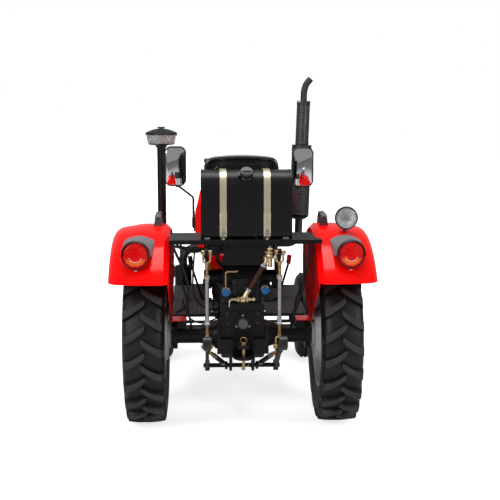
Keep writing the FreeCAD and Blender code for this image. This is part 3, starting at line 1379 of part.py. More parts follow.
def cooling_fan():
    """The fan on the water pump."""
    face = ahead(engine_front) + 4
    parts = [rod("fan_hub", (0, face, S.fan_height), (0, face + 30, S.fan_height), 40)]
    blades = 6
    for number in range(blades):
        blade = doc.addObject("Part::Box", f"fan_blade_{number + 1}")
        bind(blade, "Length", S.fan_radius - 34)
        bind(blade, "Width", 3)
        bind(blade, "Height", 52)
        spin = Rotation(Vector(0, -1, 0), 360 * number / blades)
        corner = spin.multVec(Vector(34, 0, -24))
        place(blade, (corner.x, face + 21, S.fan_height + corner.z), spin.multiply(Rotation(Vector(1, 0, 0), 24)))
        parts.append(blade)
    return node("cooling_fan", fuse("fan", *parts))


# --- Hood and cowl -------------------------------------------------------------------------------------


def cowl():
    """The dashboard housing between the platform and the engine."""
    rear, front = ahead(680), ahead(S.hood_rear - 8)
    wide, top = S.hood_half_width, S.hood_rear_top + 4
    across = plate("cowl_across", CROSS_PLANE, [
        (-150, S.case_top + 20), (150, S.case_top + 20), (wide, 990), (wide, S.hood_edge + 20),
        (S.hood_top_half_width, top - 18), (S.hood_top_half_width - 40, top), (-S.hood_top_half_width + 40, top),
        (-S.hood_top_half_width, top - 18), (-wide, S.hood_edge + 20), (-wide, 990)], (rear - 40, front))
    along = plate("cowl_along", SIDE_PLANE, [
        (ahead(720), S.case_top + 20), (front, S.case_top + 20), (front, top), (ahead(716), top),
        (ahead(668), 1250), (ahead(690), 1060), (ahead(690), 900)], (-400, 400))
    foot = block("cowl_foot", (-110, 110), (ahead(745), ahead(S.bell_front - S.flange_thick)),
                 (S.case_top - 8, S.case_top + 20))
    body = fuse("cowl_body", common("cowl_shape", across, along), foot)
    bell = [item for item in doc.Objects if item.Name == "bell"][0]
    return node("cowl", cut("cowl_seated", body, bell))


def hood_section(along, half, top_half, edge, top, inset):
    """Returns a hood cross-section: sides, shoulders and a low crown, set in by a wall."""
    side, shoulder, crown = half - inset, top_half - inset, top - inset
    low = edge - (0 if inset == 0 else 1)
    return [
        (-side, along, low), (-side, along, edge + 30), (-shoulder - 8, along, crown - 62),
        (-shoulder + 14, along, crown - 26), (-shoulder + 70, along, crown - 8), (0, along, crown),
        (shoulder - 70, along, crown - 8), (shoulder - 14, along, crown - 26), (shoulder + 8, along, crown - 62),
        (side, along, edge + 30), (side, along, low),
    ]


def hood():
    """The tilting hood with its nose, open for the grille and headlamps."""
    rear, front = ahead(S.hood_rear), ahead(hood_front)
    wall = S.sheet
    front_half, front_top_half = S.hood_half_width - 40, S.hood_top_half_width - 40
    edges = S.hood_edge
    outer = loft("hood_outer", [
        hood_section(rear, S.hood_half_width, S.hood_top_half_width, edges, S.hood_rear_top, 0),
        hood_section(front, front_half, front_top_half, edges - 110, S.hood_front_top, 0)])
    inner = loft("hood_inner", [
        hood_section(rear - 1, S.hood_half_width, S.hood_top_half_width, edges, S.hood_rear_top, wall),
        hood_section(front - wall, front_half, front_top_half, edges - 110, S.hood_front_top, wall)])
    low = S.nose_bottom
    nose_face = plate("nose_face", CROSS_PLANE, [
        (-front_half, low), (front_half, low), (front_half, edges - 78), (front_top_half, S.hood_front_top - 40),
        (front_top_half - 60, S.hood_front_top - 10), (-front_top_half + 60, S.hood_front_top - 10),
        (-front_top_half, S.hood_front_top - 40), (-front_half, edges - 78)], (front - 24, front))
    sides = [
        block(f"nose_side_{name}", side_span(side, front_half - wall, front_half), (front - 190, front),
              (low, edges - 100))
        for side, name in SIDES
    ]
    shell = fuse("hood_shell", cut("hood_cover", outer, inner), nose_face, *sides)
    tools = [block("grille_opening", (-176, 176), (front - 60, front + 10), (low + 40, 1040))]
    for side, name in SIDES:
        tools.append(rod(f"headlamp_hole_{name}", (side * 135, front - 60, 1118), (side * 135, front + 10, 1118),
                         S.headlamp_radius))
    return node("hood", cut("hood_open", shell, *tools))


def side_panels():
    """The lower side panels that tilt with the hood."""
    rear, front = ahead(S.hood_rear), ahead(hood_front - 190)
    near = S.hood_half_width - S.sheet

    def panel(name, side):
        low, high = side_span(side, near - 40, near)
        points = [(near, rear), (near - 3, rear), (near - 3 - 33, front), (near - 33, front)]
        outline = points if side == RIGHT else [(-across, along) for across, along in points]
        return plate(f"side_panel_{name}", FLOOR_PLANE, outline, (S.skirt_bottom, S.hood_edge + 24))

    cover = doc.getObject("hood_outer")
    return node("hood_side_panels", group("panels", *[
        cut(f"side_panel_trimmed_{name}", panel(name, side), cover) for side, name in SIDES]))


def grille():
    """The grille frame and its bars."""
    front, low = ahead(hood_front), S.nose_bottom + 40
    outer = block("grille_outer", (-176, 176), (front - 20, front - 6), (low, 1040))
    window = block("grille_window", (-162, 162), (front - 30, front + 4), (low + 14, 1026))
    bars = [
        block(f"grille_bar_{number}", (-168, 168), (front - 18, front - 10), (height, height + 8))
        for number, height in enumerate(range(int(float(low)) + 40, 1010, 30), start=1)
    ]
    post = block("grille_post", (-8, 8), (front - 20, front - 6), (low + 10, 1030))
    return node("grille", fuse("grille_solid", cut("grille_frame", outer, window), post, *bars))


def headlamps():
    """The two headlamps in the nose."""
    front = ahead(hood_front)
    lamps = [
        turned(f"headlamp_{name}", [(0, -56), (30, -50), (S.headlamp_radius, -12), (S.headlamp_radius, 0),
                                    (S.headlamp_radius - 12, 5), (0, 9)],
               (side * 135, front - 10, 1118), (0, 1, 0))
        for side, name in SIDES
    ]
    return node("headlamps", group("headlamp_pair", *lamps))


# --- Fenders, shelf, tank and lamps --------------------------------------------------------------------


def fender_right_solid():
    """The right fender: rolled top with an outer lip, inner panel and foot."""
    top, wall, inner, outer = S.fender_radius, S.sheet, S.fender_inner, S.fender_outer
    crest, fall = outer - S.fender_slope, S.fender_fall
    panel_top = top - 30
    axle = (0, behind(0), S.rear_tyre_radius)
    start = (0, math.sin(math.radians(float(S.fender_front_angle))), math.cos(math.radians(float(S.fender_front_angle))))
    crown = turned(
        "fender_crown",
        [
            (panel_top - 8, inner - wall), (panel_top + 1, inner - wall), (top, inner + 25), (top, crest),
            (top - fall, outer), (top - S.fender_lip, outer), (top - S.fender_lip, outer - wall),
            (top - fall - wall, outer - wall), (top - wall, crest), (top - wall, inner + 27),
            (panel_top - 1, inner), (panel_top - 8, inner),
        ],
        axle, (1, 0, 0), start, S.fender_front_angle + S.fender_rear_angle,
        rounds={3: S.fender_crest_radius, 4: S.fender_edge_radius, 7: S.fender_edge_radius - wall,
                8: S.fender_crest_radius - wall})

    foot_z, up = S.post_top, S.rear_tyre_radius
    rear_y = behind(top * sine(S.fender_rear_angle))
    rear_z = up + top * cosine(S.fender_rear_angle)
    front_y = ahead(top * sine(S.fender_front_angle))
    front_z = up + top * cosine(S.fender_front_angle)
    wedge = plate("fender_wedge", SIDE_PLANE, [
        (behind(64), foot_z), (ahead(64), foot_z), (front_y, front_z - 190), (front_y + 40, up + top + 40),
        (rear_y - 40, up + top + 40), (rear_y + 6, rear_z - 14)], (inner - wall, inner))
    disc = rod("fender_disc", (inner - wall - 1, behind(0), up), (inner + 1, behind(0), up), panel_top)
    panel = common("fender_panel", wedge, disc)
    foot = block("fender_foot", (S.post_reach, inner), (behind(64), ahead(64)), (foot_z, foot_z + 6))
    below = block("below_rear_edge", (inner + 2, outer + 50), (behind(top + 50), behind(top / 2)), (up, rear_z))
    return fuse("fender_right_solid", cut("fender_trimmed", crown, below), panel, foot)


def tank_shelf():
    """The shelf between the fenders that carries the fuel tank."""
    half, top, wall = S.fender_inner - S.sheet, S.shelf_top, S.sheet
    rear, front = behind(S.shelf_rear), behind(S.shelf_front)
    over = half + S.shelf_overhang
    deck = plate("shelf_deck", FLOOR_PLANE, [
        (-half, rear), (over, rear), (over, rear + 70), (half, rear + 104), (half, front), (-half, front)],
        (top - wall, top))
    rear_lip = block("shelf_rear_lip", (-half, over), (rear, rear + wall), (top - S.shelf_lip, top))
    front_lip = block("shelf_front_lip", (-half, half), (front - wall, front), (top - S.shelf_lip, top))
    hanger = block("shelf_hanger", (-115, 115), (behind(352), behind(347)), (1000, top))
    struts = [
        block(f"shelf_strut_{name}", side_span(side, 70, 76), (behind(235), behind(175)), (S.cover_top, top))
        for side, name in SIDES
    ]
    return node("tank_shelf", fuse("shelf", deck, rear_lip, front_lip, hanger, *struts))


def tank_outline(grow):
    """Returns the tank's side outline, grown all round by a distance."""
    rear, front = behind(S.tank_rear + grow), behind(S.tank_rear - S.tank_deep - grow)
    low = S.shelf_top + S.strap_thick - grow
    high = S.shelf_top + S.strap_thick + S.tank_tall + grow
    return [(rear, low), (front, low), (front, high), (rear, high)]


def tank_form(name, grow, span):
    """Returns the tank's form, grown all round by a distance, over a span across the tractor."""
    corner = S.tank_corner + grow
    return plate(name, SIDE_PLANE, tank_outline(grow), span,
                 rounds={0: corner, 1: corner, 2: corner, 3: S.tank_rounding + grow})


def fuel_tank():
    """The fuel tank with its filler neck and feet."""
    half, middle = S.tank_wide / 2, S.tank_aside
    tank = tank_form("tank_body", 0, (middle - half, middle + half))
    return node("fuel_tank", tank)


def tank_straps():
    """The two straps round the tank."""
    straps = []
    for side, name in SIDES:
        centre = S.strap_aside + side * S.strap_spacing / 2
        span = (centre - S.strap_wide / 2, centre + S.strap_wide / 2)
        wide_span = (span[0] - 1, span[1] + 1)
        band = cut(f"strap_{name}", tank_form(f"strap_outer_{name}", S.strap_thick, span),
                   tank_form(f"strap_inner_{name}", 0, wide_span))
        straps.append(band)
    return node("tank_straps", group("straps", *straps))


def fuel_cap():
    """The slanted filler neck and its cap on the tank's rounded corner."""
    lean = 45
    inset = S.tank_rounding
    corner_y = behind(S.tank_rear - inset)
    corner_z = S.shelf_top + S.strap_thick + S.tank_tall - inset
    away_y, away_z = -sine(lean), cosine(lean)

    def along_neck(distance):
        return (S.tank_aside, corner_y + away_y * distance, corner_z + away_z * distance)

    neck = rod("filler_neck", along_neck(inset - 30), along_neck(inset + 14), 28)
    cap = rod("filler_cap", along_neck(inset + 8), along_neck(inset + 36), S.cap_radius)
    tank = tank_form("neck_seat", 0, (S.tank_aside - 60, S.tank_aside + 60))
    return node("fuel_cap", cut("fuel_cap_seated", fuse("cap_and_neck", neck, cap), tank))


def on_fender(name, item):
    """Returns an object trimmed to seat on the right fender's top."""
    top, outer, gap = S.fender_radius, S.fender_outer, 0.05
    crown = turned(
        name + "_seat",
        [
            (0, S.fender_inner - 60), (top + gap, S.fender_inner - 60), (top + gap, outer - S.fender_slope),
            (top - S.fender_fall + gap, outer + gap), (top - S.fender_lip, outer + gap), (0, outer + gap),
        ],
        (0, behind(0), S.rear_tyre_radius), (1, 0, 0),
        rounds={2: S.fender_crest_radius + gap, 3: S.fender_edge_radius + gap})
    return cut(name + "_seated", item, crown)


def fender_handles():
    """The grab handle on each fender."""
    top, bar = S.handle_top, 13
    rear, front = behind(70), ahead(110)
    low = S.handle_top - 110
    outer = plate("handle_outer", SIDE_PLANE, [
        (rear, low), (front, low), (front, top), (rear, top)], (S.handle_aside - 28, S.handle_aside + 28),
        rounds={2: 34, 3: 34})
    opening = plate("handle_opening", SIDE_PLANE, [
        (rear + bar, low - 5), (front - bar, low - 5), (front - bar, top - 36), (front - 36, top - bar),
        (rear + 36, top - bar), (rear + bar, top - 36)], (S.handle_aside - 40, S.handle_aside + 40))
    taper = plate("handle_taper", CROSS_PLANE, [
        (S.handle_aside - 28, low), (S.handle_aside + 28, low), (S.handle_aside + 17, top),
        (S.handle_aside - 17, top)], (rear - 10, front + 10), rounds={2: 12, 3: 12})
    arch = cut("handle_arch", common("handle_form", outer, taper), opening)
    handle = on_fender("handle", arch)
    return node("fender_handles", both_sides("handles", handle))


def lamp_back():
    """Returns the place along the tractor of the tail lamps' backs, clear of the fender below them."""
    low = S.lamp_height - S.lamp_radius - S.rear_tyre_radius
    return behind(root(S.fender_radius * S.fender_radius - low * low) + S.lamp_gap)


def shroud_section(name, centre, half, shoulder, bottom, rise, along):
    """Returns a closed outline across the tractor: upright sides under an arched top."""
    left, right = float(centre - half), float(centre + half)
    along, shoulder, bottom = float(along), float(shoulder), float(bottom)
    crown = Vector(float(centre), along, shoulder + float(rise))
    corners = [Vector(left, along, bottom), Vector(right, along, bottom), Vector(right, along, shoulder),
               Vector(left, along, shoulder)]
    wire = doc.addObject("Part::Feature", name)
    wire.Shape = Part.Wire([
        Part.LineSegment(corners[0], corners[1]).toShape(), Part.LineSegment(corners[1], corners[2]).toShape(),
        Part.Arc(corners[2], crown, corners[3]).toShape(), Part.LineSegment(corners[3], corners[0]).toShape()])
    return wire


def tail_lamp_hoods():
    """The moulded hood of each tail lamp: a round arch at the lamp that spreads to a square foot on the fender."""
    back, round_half = lamp_back(), S.lamp_radius + 3
    foot_half, inward = 87, 10
    sections = [
        shroud_section("hood_at_lamp", S.lamp_aside, round_half, S.lamp_height + 1, S.lamp_height - 7,
                       round_half, back),
        shroud_section("hood_at_crease", S.lamp_aside - inward, foot_half, S.lamp_height + 52,
                       S.lamp_height - 40, 24, back + 165),
        shroud_section("hood_at_fender", S.lamp_aside - inward, foot_half, S.lamp_height + 52,
                       S.lamp_height - 40, 24, back + 255),
    ]
    solid = doc.addObject("Part::Loft", "lamp_hood")
    solid.Sections = sections
    solid.Solid = True
    solid.Ruled = True
    return node("tail_lamp_hoods", both_sides("lamp_hoods", on_fender("lamp_hood", solid)))


def tail_lamps():
    """The round tail lamps."""
    lamp = turned("tail_lamp", [(0, 0), (S.lamp_radius, 0), (S.lamp_radius, S.lamp_deep - 12),
                                (S.lamp_radius - 6, S.lamp_deep - 5), (0, S.lamp_deep)],
                  (S.lamp_aside, lamp_back(), S.lamp_height), (0, -1, 0), rounds={3: 6})
    return node("tail_lamps", both_sides("tail_lamp_pair", lamp))


def work_lamp():
    """The round work lamp on its stem on the right fender."""
    across, up, face = S.lamp_aside + 8, S.work_lamp_height, behind(215)
    bowl = turned("work_lamp_bowl", [(0, 0), (S.work_lamp_radius - 8, 0), (S.work_lamp_radius, 8),
                                     (S.work_lamp_radius, 22), (48, 58), (26, 78), (0, 84)],
                  (across, face, up), (0, 1, 0))
    stem = rod("work_lamp_stem", (across, behind(160), up - 110), (across, behind(160), up - 20), 9)
    return node("work_lamp", on_fender("work_lamp", fuse("work_lamp_solid", bowl, stem)))


# --- Operator's place ----------------------------------------------------------------------------------


def footboards():
    """The two footboards with the brackets that carry them."""
    top, thick = S.platform_height, 5
    parts = []
    for side, name in SIDES:
        x = side_span(side, 172, S.platform_outer)
        deck = block(f"footboard_{name}", x, (ahead(S.platform_rear), ahead(S.platform_front)), (top - thick, top))
        brackets = [
            block(f"footboard_bracket_{name}_{number}", side_span(side, S.mid_half_width, S.platform_outer - 30),
                  (along, along + 40), (top - 30, top - thick))
            for number, along in enumerate([ahead(S.case_front + 160), ahead(S.mid_front - 56)], start=1)
        ]
        edge = block(f"footboard_edge_{name}", side_span(side, S.platform_outer - 4, S.platform_outer),
                     (ahead(S.platform_rear), ahead(S.platform_front)), (top - 28, top))
        toe = plate(f"footboard_toe_{name}", SIDE_PLANE, [
            (ahead(S.platform_front) - 6, top - thick), (ahead(S.platform_front), top - thick),
            (ahead(S.platform_front) + 42, top + 80), (ahead(S.platform_front) + 36, top + 80)],
            side_span(side, 190, S.platform_outer))
        parts.append(fuse(f"footboard_solid_{name}", deck, edge, toe, *brackets))
    return node("footboards", group("footboard_pair", *parts))


def seat_frame():
    """The seat's base, pan and pressed back."""
    half = S.seat_half_width
    low, pan = S.cover_top, S.seat_height - 78
    base = block("seat_base", (-100, 100), (behind(20), ahead(100)), (low, pan - 6))
    tray = block("seat_tray", (-half + 20, half - 20), (behind(10), ahead(400)), (pan - 6, pan))
    back = plate("seat_back", SIDE_PLANE, [
        (behind(4), pan - 6), (ahead(10), pan - 6), (ahead(10), pan + 20), (behind(82), S.seat_back_top),
        (behind(118), S.seat_back_top - 8), (behind(30), pan)], (-half, half))
    rounded(back, 60, lambda edge: edge.BoundBox.Center.z > float(S.seat_back_top) - 10
            and edge.BoundBox.XLength < 0.1 and edge.BoundBox.YLength > 20)
    return node("seat_frame", fuse("seat_frame_solid", base, tray, back))


def seat_cushions():
    """The seat cushion and the back pad."""
    half, pan = S.seat_half_width - 22, S.seat_height - 78
    cushion = block("cushion", (-half, half), (ahead(34), ahead(402)), (pan, S.seat_height))
    pad = plate("back_pad", SIDE_PLANE, [
        (ahead(13) - 2, S.seat_height + 6), (ahead(62), S.seat_height + 6), (behind(18), S.seat_back_top - 24),
        (behind(72), S.seat_back_top - 24)], (-half, half))
    back = [item for item in doc.Objects if item.Name == "seat_back"][0]
    return node("seat_cushions", group("cushions", cushion, cut("back_pad_seated", pad, back)))


def controls():
    """The pedals hanging under the cowl and the hand levers beside the seat."""
    groups = []
    for name, across in (("clutch", -205), ("brake", 190), ("second_brake", 255)):
        pad = block(f"pedal_pad_{name}", (across - 28, across + 28), (ahead(690), ahead(698)), (676, 742))
        arm = rod(f"pedal_arm_{name}", (across, ahead(694), 708), (across, ahead(752), 872), 8)
        groups.append(cut(f"pedal_{name}", fuse(f"pedal_solid_{name}", pad, arm), doc.getObject("cowl_body")))
    for name, side, tall, lean in (("gear_lever", LEFT, 940, 30), ("lift_lever", RIGHT, 944, 20)):
        head = (side * (270 + lean), ahead(60), tall)
        stem = bent_tube(f"{name}_stem", [(side * S.case_half_width, ahead(150), 700), (side * 230, ahead(150), 700),
                                          head], 7, 40)
        grip = rod(f"{name}_grip", head, (head[0] + side * 6, head[1] - 4, head[2] + 52), 14)
        groups.append(fuse(name, stem, grip))
    return node("controls", group("control_pieces", *groups))


# --- Intake, exhaust, mirrors and looms ----------------------------------------------------------------


def precleaner():
    """The intake bowl on top of its pipe."""
    rim, radius = S.precleaner_rim, S.precleaner_radius
    shape = turned("precleaner_bowl", [
        (0, -98), (38, -98), (42, -84), (84, -80), (92, -70), (radius - 9, -8), (radius, -6), (radius, 0),
        (radius - 8, 8), (58, 26), (14, 34), (14, 46), (0, 46)],
        (-S.precleaner_aside, ahead(S.exhaust_ahead), rim), (0, 0, 1))
    return node("precleaner", shape)


def air_cleaner():
    """The oil-bath canister and the pipe up to the pre-cleaner."""
    along = ahead(S.exhaust_ahead)
    can = (-370, ahead(1010))
    pipe = bent_tube("intake_pipe", [
        (-S.precleaner_aside, along, S.precleaner_rim - 98), (-S.precleaner_aside, along, 800),
        (can[0] - 20, can[1] + 10, 700)], S.intake_pipe_radius, 90)
    canister = turned("oil_bath", [(0, 540), (54, 540), (66, 552), (66, 640), (58, 646), (58, 770), (50, 786), (0, 790)],
                      (can[0], can[1], 0), (0, 0, 1))
    bracket = block("oil_bath_bracket", (-320, -S.engine_half_width + 18), (can[1] - 20, can[1] + 20), (640, 652))
    return node("air_cleaner", fuse("air_cleaner_solid", pipe, canister, bracket))


def intake_hose():
    """The hose from the oil-bath canister to the intake manifold."""
    hose = bent_tube("hose", [(-370, ahead(1010), 790), (-370, ahead(1010), 905), (-172, ahead(1010), 905)], 28, 80)
    return node("intake_hose", hose)


def exhaust():
    """The elbow, shielded muffler and upright pipe on the right of the engine."""
    along, lean = ahead(S.exhaust_ahead), S.exhaust_lean
    foot_x, foot_z = S.exhaust_aside, 985
    side_x, up_z = sine(lean), cosine(lean)

    def at(height):
        rise = (height - foot_z) / up_z
        return (foot_x + side_x * rise, along, as_size(height))

    elbow = bent_tube("exhaust_elbow", [(S.engine_half_width + 16, along, 912), (foot_x, along, 912), at(1120)], 27, 80)
    parts = [
        elbow,
        rod("muffler_skirt", at(1085), at(1105), 40, S.muffler_radius),
        rod("muffler", at(1105), at(S.muffler_top - 12), S.muffler_radius),
        rod("muffler_flange", at(S.muffler_top - 12), at(S.muffler_top), S.muffler_radius + 3),
        rod("pipe_shield", at(S.muffler_top), at(1907), 43.5),
        bent_tube("stack", [at(1880), at(1985), (at(1985)[0] + 14, along, as_size(2034)),
                            (at(1985)[0] + 46, along, S.exhaust_top - 14)], S.exhaust_pipe_radius, 60),
    ]
    return node("exhaust", fuse("exhaust_solid", *parts))


def mirrors():
    """The two mirrors on their arms from the cowl."""
    arm_y = ahead(740)
    pairs = []
    for side, name, across, up in ((LEFT, "left", 409, 1492), (RIGHT, "right", 435, 1485)):
        x = side * across
        head = plate(f"mirror_{name}", CROSS_PLANE, [
            (x - S.mirror_wide / 2, up - S.mirror_tall / 2), (x + S.mirror_wide / 2, up - S.mirror_tall / 2),
            (x + S.mirror_wide / 2, up + S.mirror_tall / 2), (x - S.mirror_wide / 2, up + S.mirror_tall / 2)],
            (arm_y - 20, arm_y + 22))
        rounded(head, 44, lambda edge: runs_along(edge, (0, 1, 0)))
        foot = side * (S.hood_half_width + 12)
        arm = bent_tube(f"mirror_arm_{name}", [
            (foot, arm_y, 1080), (foot, arm_y, 1285), (side * (across - 12), arm_y, up - S.mirror_tall / 2 + 6)], 7, 30)
        clamp = block(f"mirror_clamp_{name}", side_span(side, S.hood_half_width, S.hood_half_width + 22),
                      (arm_y - 16, arm_y + 16), (1090, 1150))
        pairs.append(fuse(f"mirror_solid_{name}", head, arm, clamp))
    return node("mirrors", group("mirror_pair", *pairs))


def wiring_looms():
    """The corrugated wiring tubes behind the platform."""
    low = S.shelf_top - S.sheet
    cross_y, drop_y = behind(300), behind(285)
    cross = bent_tube("cross_loom", [
        (-376, cross_y, low), (-376, cross_y, low - 40), (-300, cross_y, low - 56), (-215, cross_y, low - 56),
        (-167, cross_y, low - 36), (-167, cross_y, low)], 6, 18)
    drops = []
    for side, name in SIDES:
        x = side * 352
        drops.append(bent_tube(f"drop_loom_{name}", [
            (x, drop_y, low), (x, drop_y, 900), (side * 318, behind(160), 760), (side * 318, behind(60), 680),
            (side * 300, behind(20), S.rear_tyre_radius + S.axle_tube_radius - 2)], 6, 30))
    return node("wiring_looms", group("looms", cross, *drops))


def build():
    """Makes every sub-part."""
    transmission_case()
    rear_axle_housings()
    lift_cover()
    hydraulic_couplers()
    coupler_caps()
    power_take_off()
    drawbar_frame()
    hitch_pin()
    lift_arms()
    top_link()
    for label, tyre in (("rear_tyre", rear_tyre()), ("front_tyre", front_tyre())):
        node(f"{label}_right", tyre)
        node(f"{label}_left", mirrored(f"{label}_left_solid", tyre))
    for side, name in SIDES:
        lift_rod(side, name)
        lower_link(side, name)
        rear_wheel(side, name)
        front_wheel(side, name)
        knuckle(side, name)
    front_frame()
    front_axle()
    tie_rod()
    cowl()
    steering_column()
    steering_wheel()
    engine()
    radiator()
    cooling_fan()
    hood()
    side_panels()
    grille()
    headlamps()
    fender = node("fender_right", fender_right_solid())
    node("fender_left", mirrored("fender_left_solid", fender))
    tank_shelf()
    fuel_tank()
    tank_straps()
    fuel_cap()
    fender_handles()
    tail_lamp_hoods()
    tail_lamps()
    work_lamp()
    footboards()
    seat_frame()
    seat_cushions()
    precleaner()
    air_cleaner()
    intake_hose()
    exhaust()
    mirrors()
    controls()
    wiring_looms()


def check_and_write():
    """Checks every object and writes each sub-part to its own file."""
    doc.recompute()
    for item in doc.Objects:
        faults = [state for state in item.State if state in ("Invalid", "Error")]
        if faults:
            raise RuntimeError(f"{item.Label} is {faults}")
    os.makedirs("parts", exist_ok=True)
    for item in NODES:
        shape = item.Shape
        if shape.isNull() or not shape.isValid():
            raise RuntimeError(f"{item.Label} has no valid shape")
        shape.exportStep(f"parts/{item.Label}.step")
        box = shape.BoundBox
        print(f"{item.Label}: {len(shape.Solids)} solid(s), {len(shape.Faces)} faces,"
              f" x {box.XMin:.1f} {box.XMax:.1f}, y {box.YMin:.1f} {box.YMax:.1f}, z {box.ZMin:.1f} {box.ZMax:.1f}")


build()
check_and_write()
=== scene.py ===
"""Looks of a compact two-wheel-drive farm tractor, seen from behind in a white studio.

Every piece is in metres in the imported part's frame: +X is the tractor's right, +Y is forward and +Z is up.
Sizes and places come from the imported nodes' boxes, and the pieces ride on the part's own bodies.
"""
import json
import logging
import math
from contextlib import contextmanager
from dataclasses import dataclass, field
from enum import Enum
from functools import lru_cache
from typing import Callable, Iterator, Sequence

import bmesh
import bpy
from mathutils import Matrix, Quaternion, Vector
from mathutils.bvhtree import BVHTree


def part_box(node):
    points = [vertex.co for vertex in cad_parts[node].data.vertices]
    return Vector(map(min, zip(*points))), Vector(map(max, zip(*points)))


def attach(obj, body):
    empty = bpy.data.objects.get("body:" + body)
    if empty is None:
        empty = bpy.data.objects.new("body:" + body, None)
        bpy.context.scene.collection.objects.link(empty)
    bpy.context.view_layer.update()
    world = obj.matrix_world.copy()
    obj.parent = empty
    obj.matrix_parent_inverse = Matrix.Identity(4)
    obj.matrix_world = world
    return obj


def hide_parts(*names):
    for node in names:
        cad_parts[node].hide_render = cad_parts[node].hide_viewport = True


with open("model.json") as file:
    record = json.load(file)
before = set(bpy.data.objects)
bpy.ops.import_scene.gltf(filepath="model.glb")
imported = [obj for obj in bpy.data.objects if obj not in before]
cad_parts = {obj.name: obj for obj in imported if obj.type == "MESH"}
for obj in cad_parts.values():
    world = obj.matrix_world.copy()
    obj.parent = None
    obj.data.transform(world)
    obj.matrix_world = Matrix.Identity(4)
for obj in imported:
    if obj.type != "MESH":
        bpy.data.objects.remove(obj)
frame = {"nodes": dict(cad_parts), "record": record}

log = logging.getLogger("tractor")

Piece = bpy.types.Object
Material = bpy.types.Material
Socket = bpy.types.NodeSocket
Point = Sequence[float]
Profile = Sequence[tuple[float, float]]
FaceTest = Callable[[Vector, Vector], bool]
Triple = tuple[float, float, float]
Colour = Triple
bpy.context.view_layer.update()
SHOWN_CAD = frame["nodes"]
MERGED = 1e-5           # corners closer than this are merged in a new piece
CAD_MERGED = 2e-6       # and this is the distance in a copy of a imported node
REAR_AXLE_Y, REAR_AXLE_Z = -0.6175, 0.525
TAIL_LAMP_RADIUS = 0.077


def paint(red: float, green: float, blue: float) -> Colour:
    """Returns a screen colour from 0 to 255 as linear light."""
    def linear(value: float) -> float:
        """Returns one channel as linear light."""
        share = value / 255
        return share / 12.92 if share <= 0.04045 else ((share + 0.055) / 1.055) ** 2.4
    return linear(red), linear(green), linear(blue)


class Side(Enum):
    """The two sides of the tractor, by the sign of X."""

    LEFT = -1
    RIGHT = 1

    @property
    def label(self) -> str:
        """Returns the side's name as the nodes use it."""
        return self.name.lower()


# --- Modelling bench -----------------------------------------------------------------------------------


def deselect() -> None:
    """Leaves nothing selected and nothing active."""
    if bpy.context.object and bpy.context.object.mode != "OBJECT":
        bpy.ops.object.mode_set(mode="OBJECT")
    bpy.ops.object.select_all(action="DESELECT")


def activate(piece: Piece) -> Piece:
    """Selects one piece alone, makes it active and returns it."""
    deselect()
    piece.select_set(True)
    bpy.context.view_layer.objects.active = piece
    return piece


@contextmanager
def editing(piece: Piece, mode: str = "FACE", whole: bool = False) -> Iterator[None]:
    """Opens a piece in edit mode.

    Args:
        piece: The mesh to edit.
        mode: What is picked, one of VERT, EDGE and FACE.
        whole: True where all of it starts selected, False where none of it does.
    """
    activate(piece)
    bpy.ops.object.mode_set(mode="EDIT")
    bpy.ops.mesh.select_mode(type=mode)
    bpy.ops.mesh.select_all(action="SELECT" if whole else "DESELECT")
    yield
    bpy.ops.object.mode_set(mode="OBJECT")


def pick_faces(piece: Piece, wanted: FaceTest) -> int:
    """Selects the faces of the piece in edit mode that pass a test.

    Args:
        piece: The mesh in edit mode.
        wanted: Takes a face's centre and normal and says whether it is picked.

    Returns:
        How many faces are selected.
    """
    shape = bmesh.from_edit_mesh(piece.data)
    for face in shape.faces:
        face.select_set(wanted(face.calc_center_median(), face.normal))
    shape.select_flush(True)
    bmesh.update_edit_mesh(piece.data)
    return sum(face.select for face in shape.faces)


def settle(piece: Piece, name: str) -> Piece:
    """Puts a piece's place, turn and scale into its mesh, names it and returns it."""
    activate(piece)
    bpy.ops.object.transform_apply(location=True, rotation=True, scale=True)
    piece.name = piece.data.name = name
    return piece


def apply(piece: Piece, kind: str, **values: object) -> Piece:
    """Adds a modifier with the given values, applies it and returns the piece."""
    activate(piece)
    modifier = piece.modifiers.new(kind.title(), kind)
    for key, value in values.items():
        setattr(modifier, key, value)
    bpy.ops.object.modifier_apply(modifier=modifier.name)
    return piece


def smooth(piece: Piece, angle: float = 32) -> Piece:
    """Shades a piece smooth where its faces meet under an angle in degrees, and returns it."""
    activate(piece)
    bpy.ops.object.shade_smooth_by_angle(angle=math.radians(angle))
    return piece


def soften(piece: Piece, width: float, segments: int = 2, angle: float = 35) -> Piece:
    """Bevels a piece's sharp edges, shades it smooth and returns it."""
    apply(
        piece, "BEVEL", width=width, segments=segments, limit_method="ANGLE", angle_limit=math.radians(angle),
        miter_outer="MITER_ARC")
    return smooth(piece)


def turn_to(axis: Point) -> Quaternion:
    """Returns the turn that takes +Z to an axis."""
    return Vector(axis).to_track_quat("Z", "Y")


def placed(at: Point, axis: Point) -> Matrix:
    """Returns the matrix that stands a piece made along +Z at a place, along an axis."""
    return Matrix.Translation(Vector(at)) @ turn_to(axis).to_matrix().to_4x4()


def block(name: str, low: Point, high: Point, bevel: float = 0.0, segments: int = 2) -> Piece:
    """Makes a box between two corners, with softened edges.

    Args:
        name: The piece's name.
        low: The lowest corner.
        high: The highest corner.
        bevel: Width of the edges' rounding.
        segments: Steps in the rounding.

    Returns:
        The new mesh object.
    """
    low, high = Vector(low), Vector(high)
    deselect()
    bpy.ops.mesh.primitive_cube_add(size=1, location=(low + high) / 2, scale=high - low)
    piece = settle(bpy.context.object, name)
    return soften(piece, bevel, segments) if bevel else piece


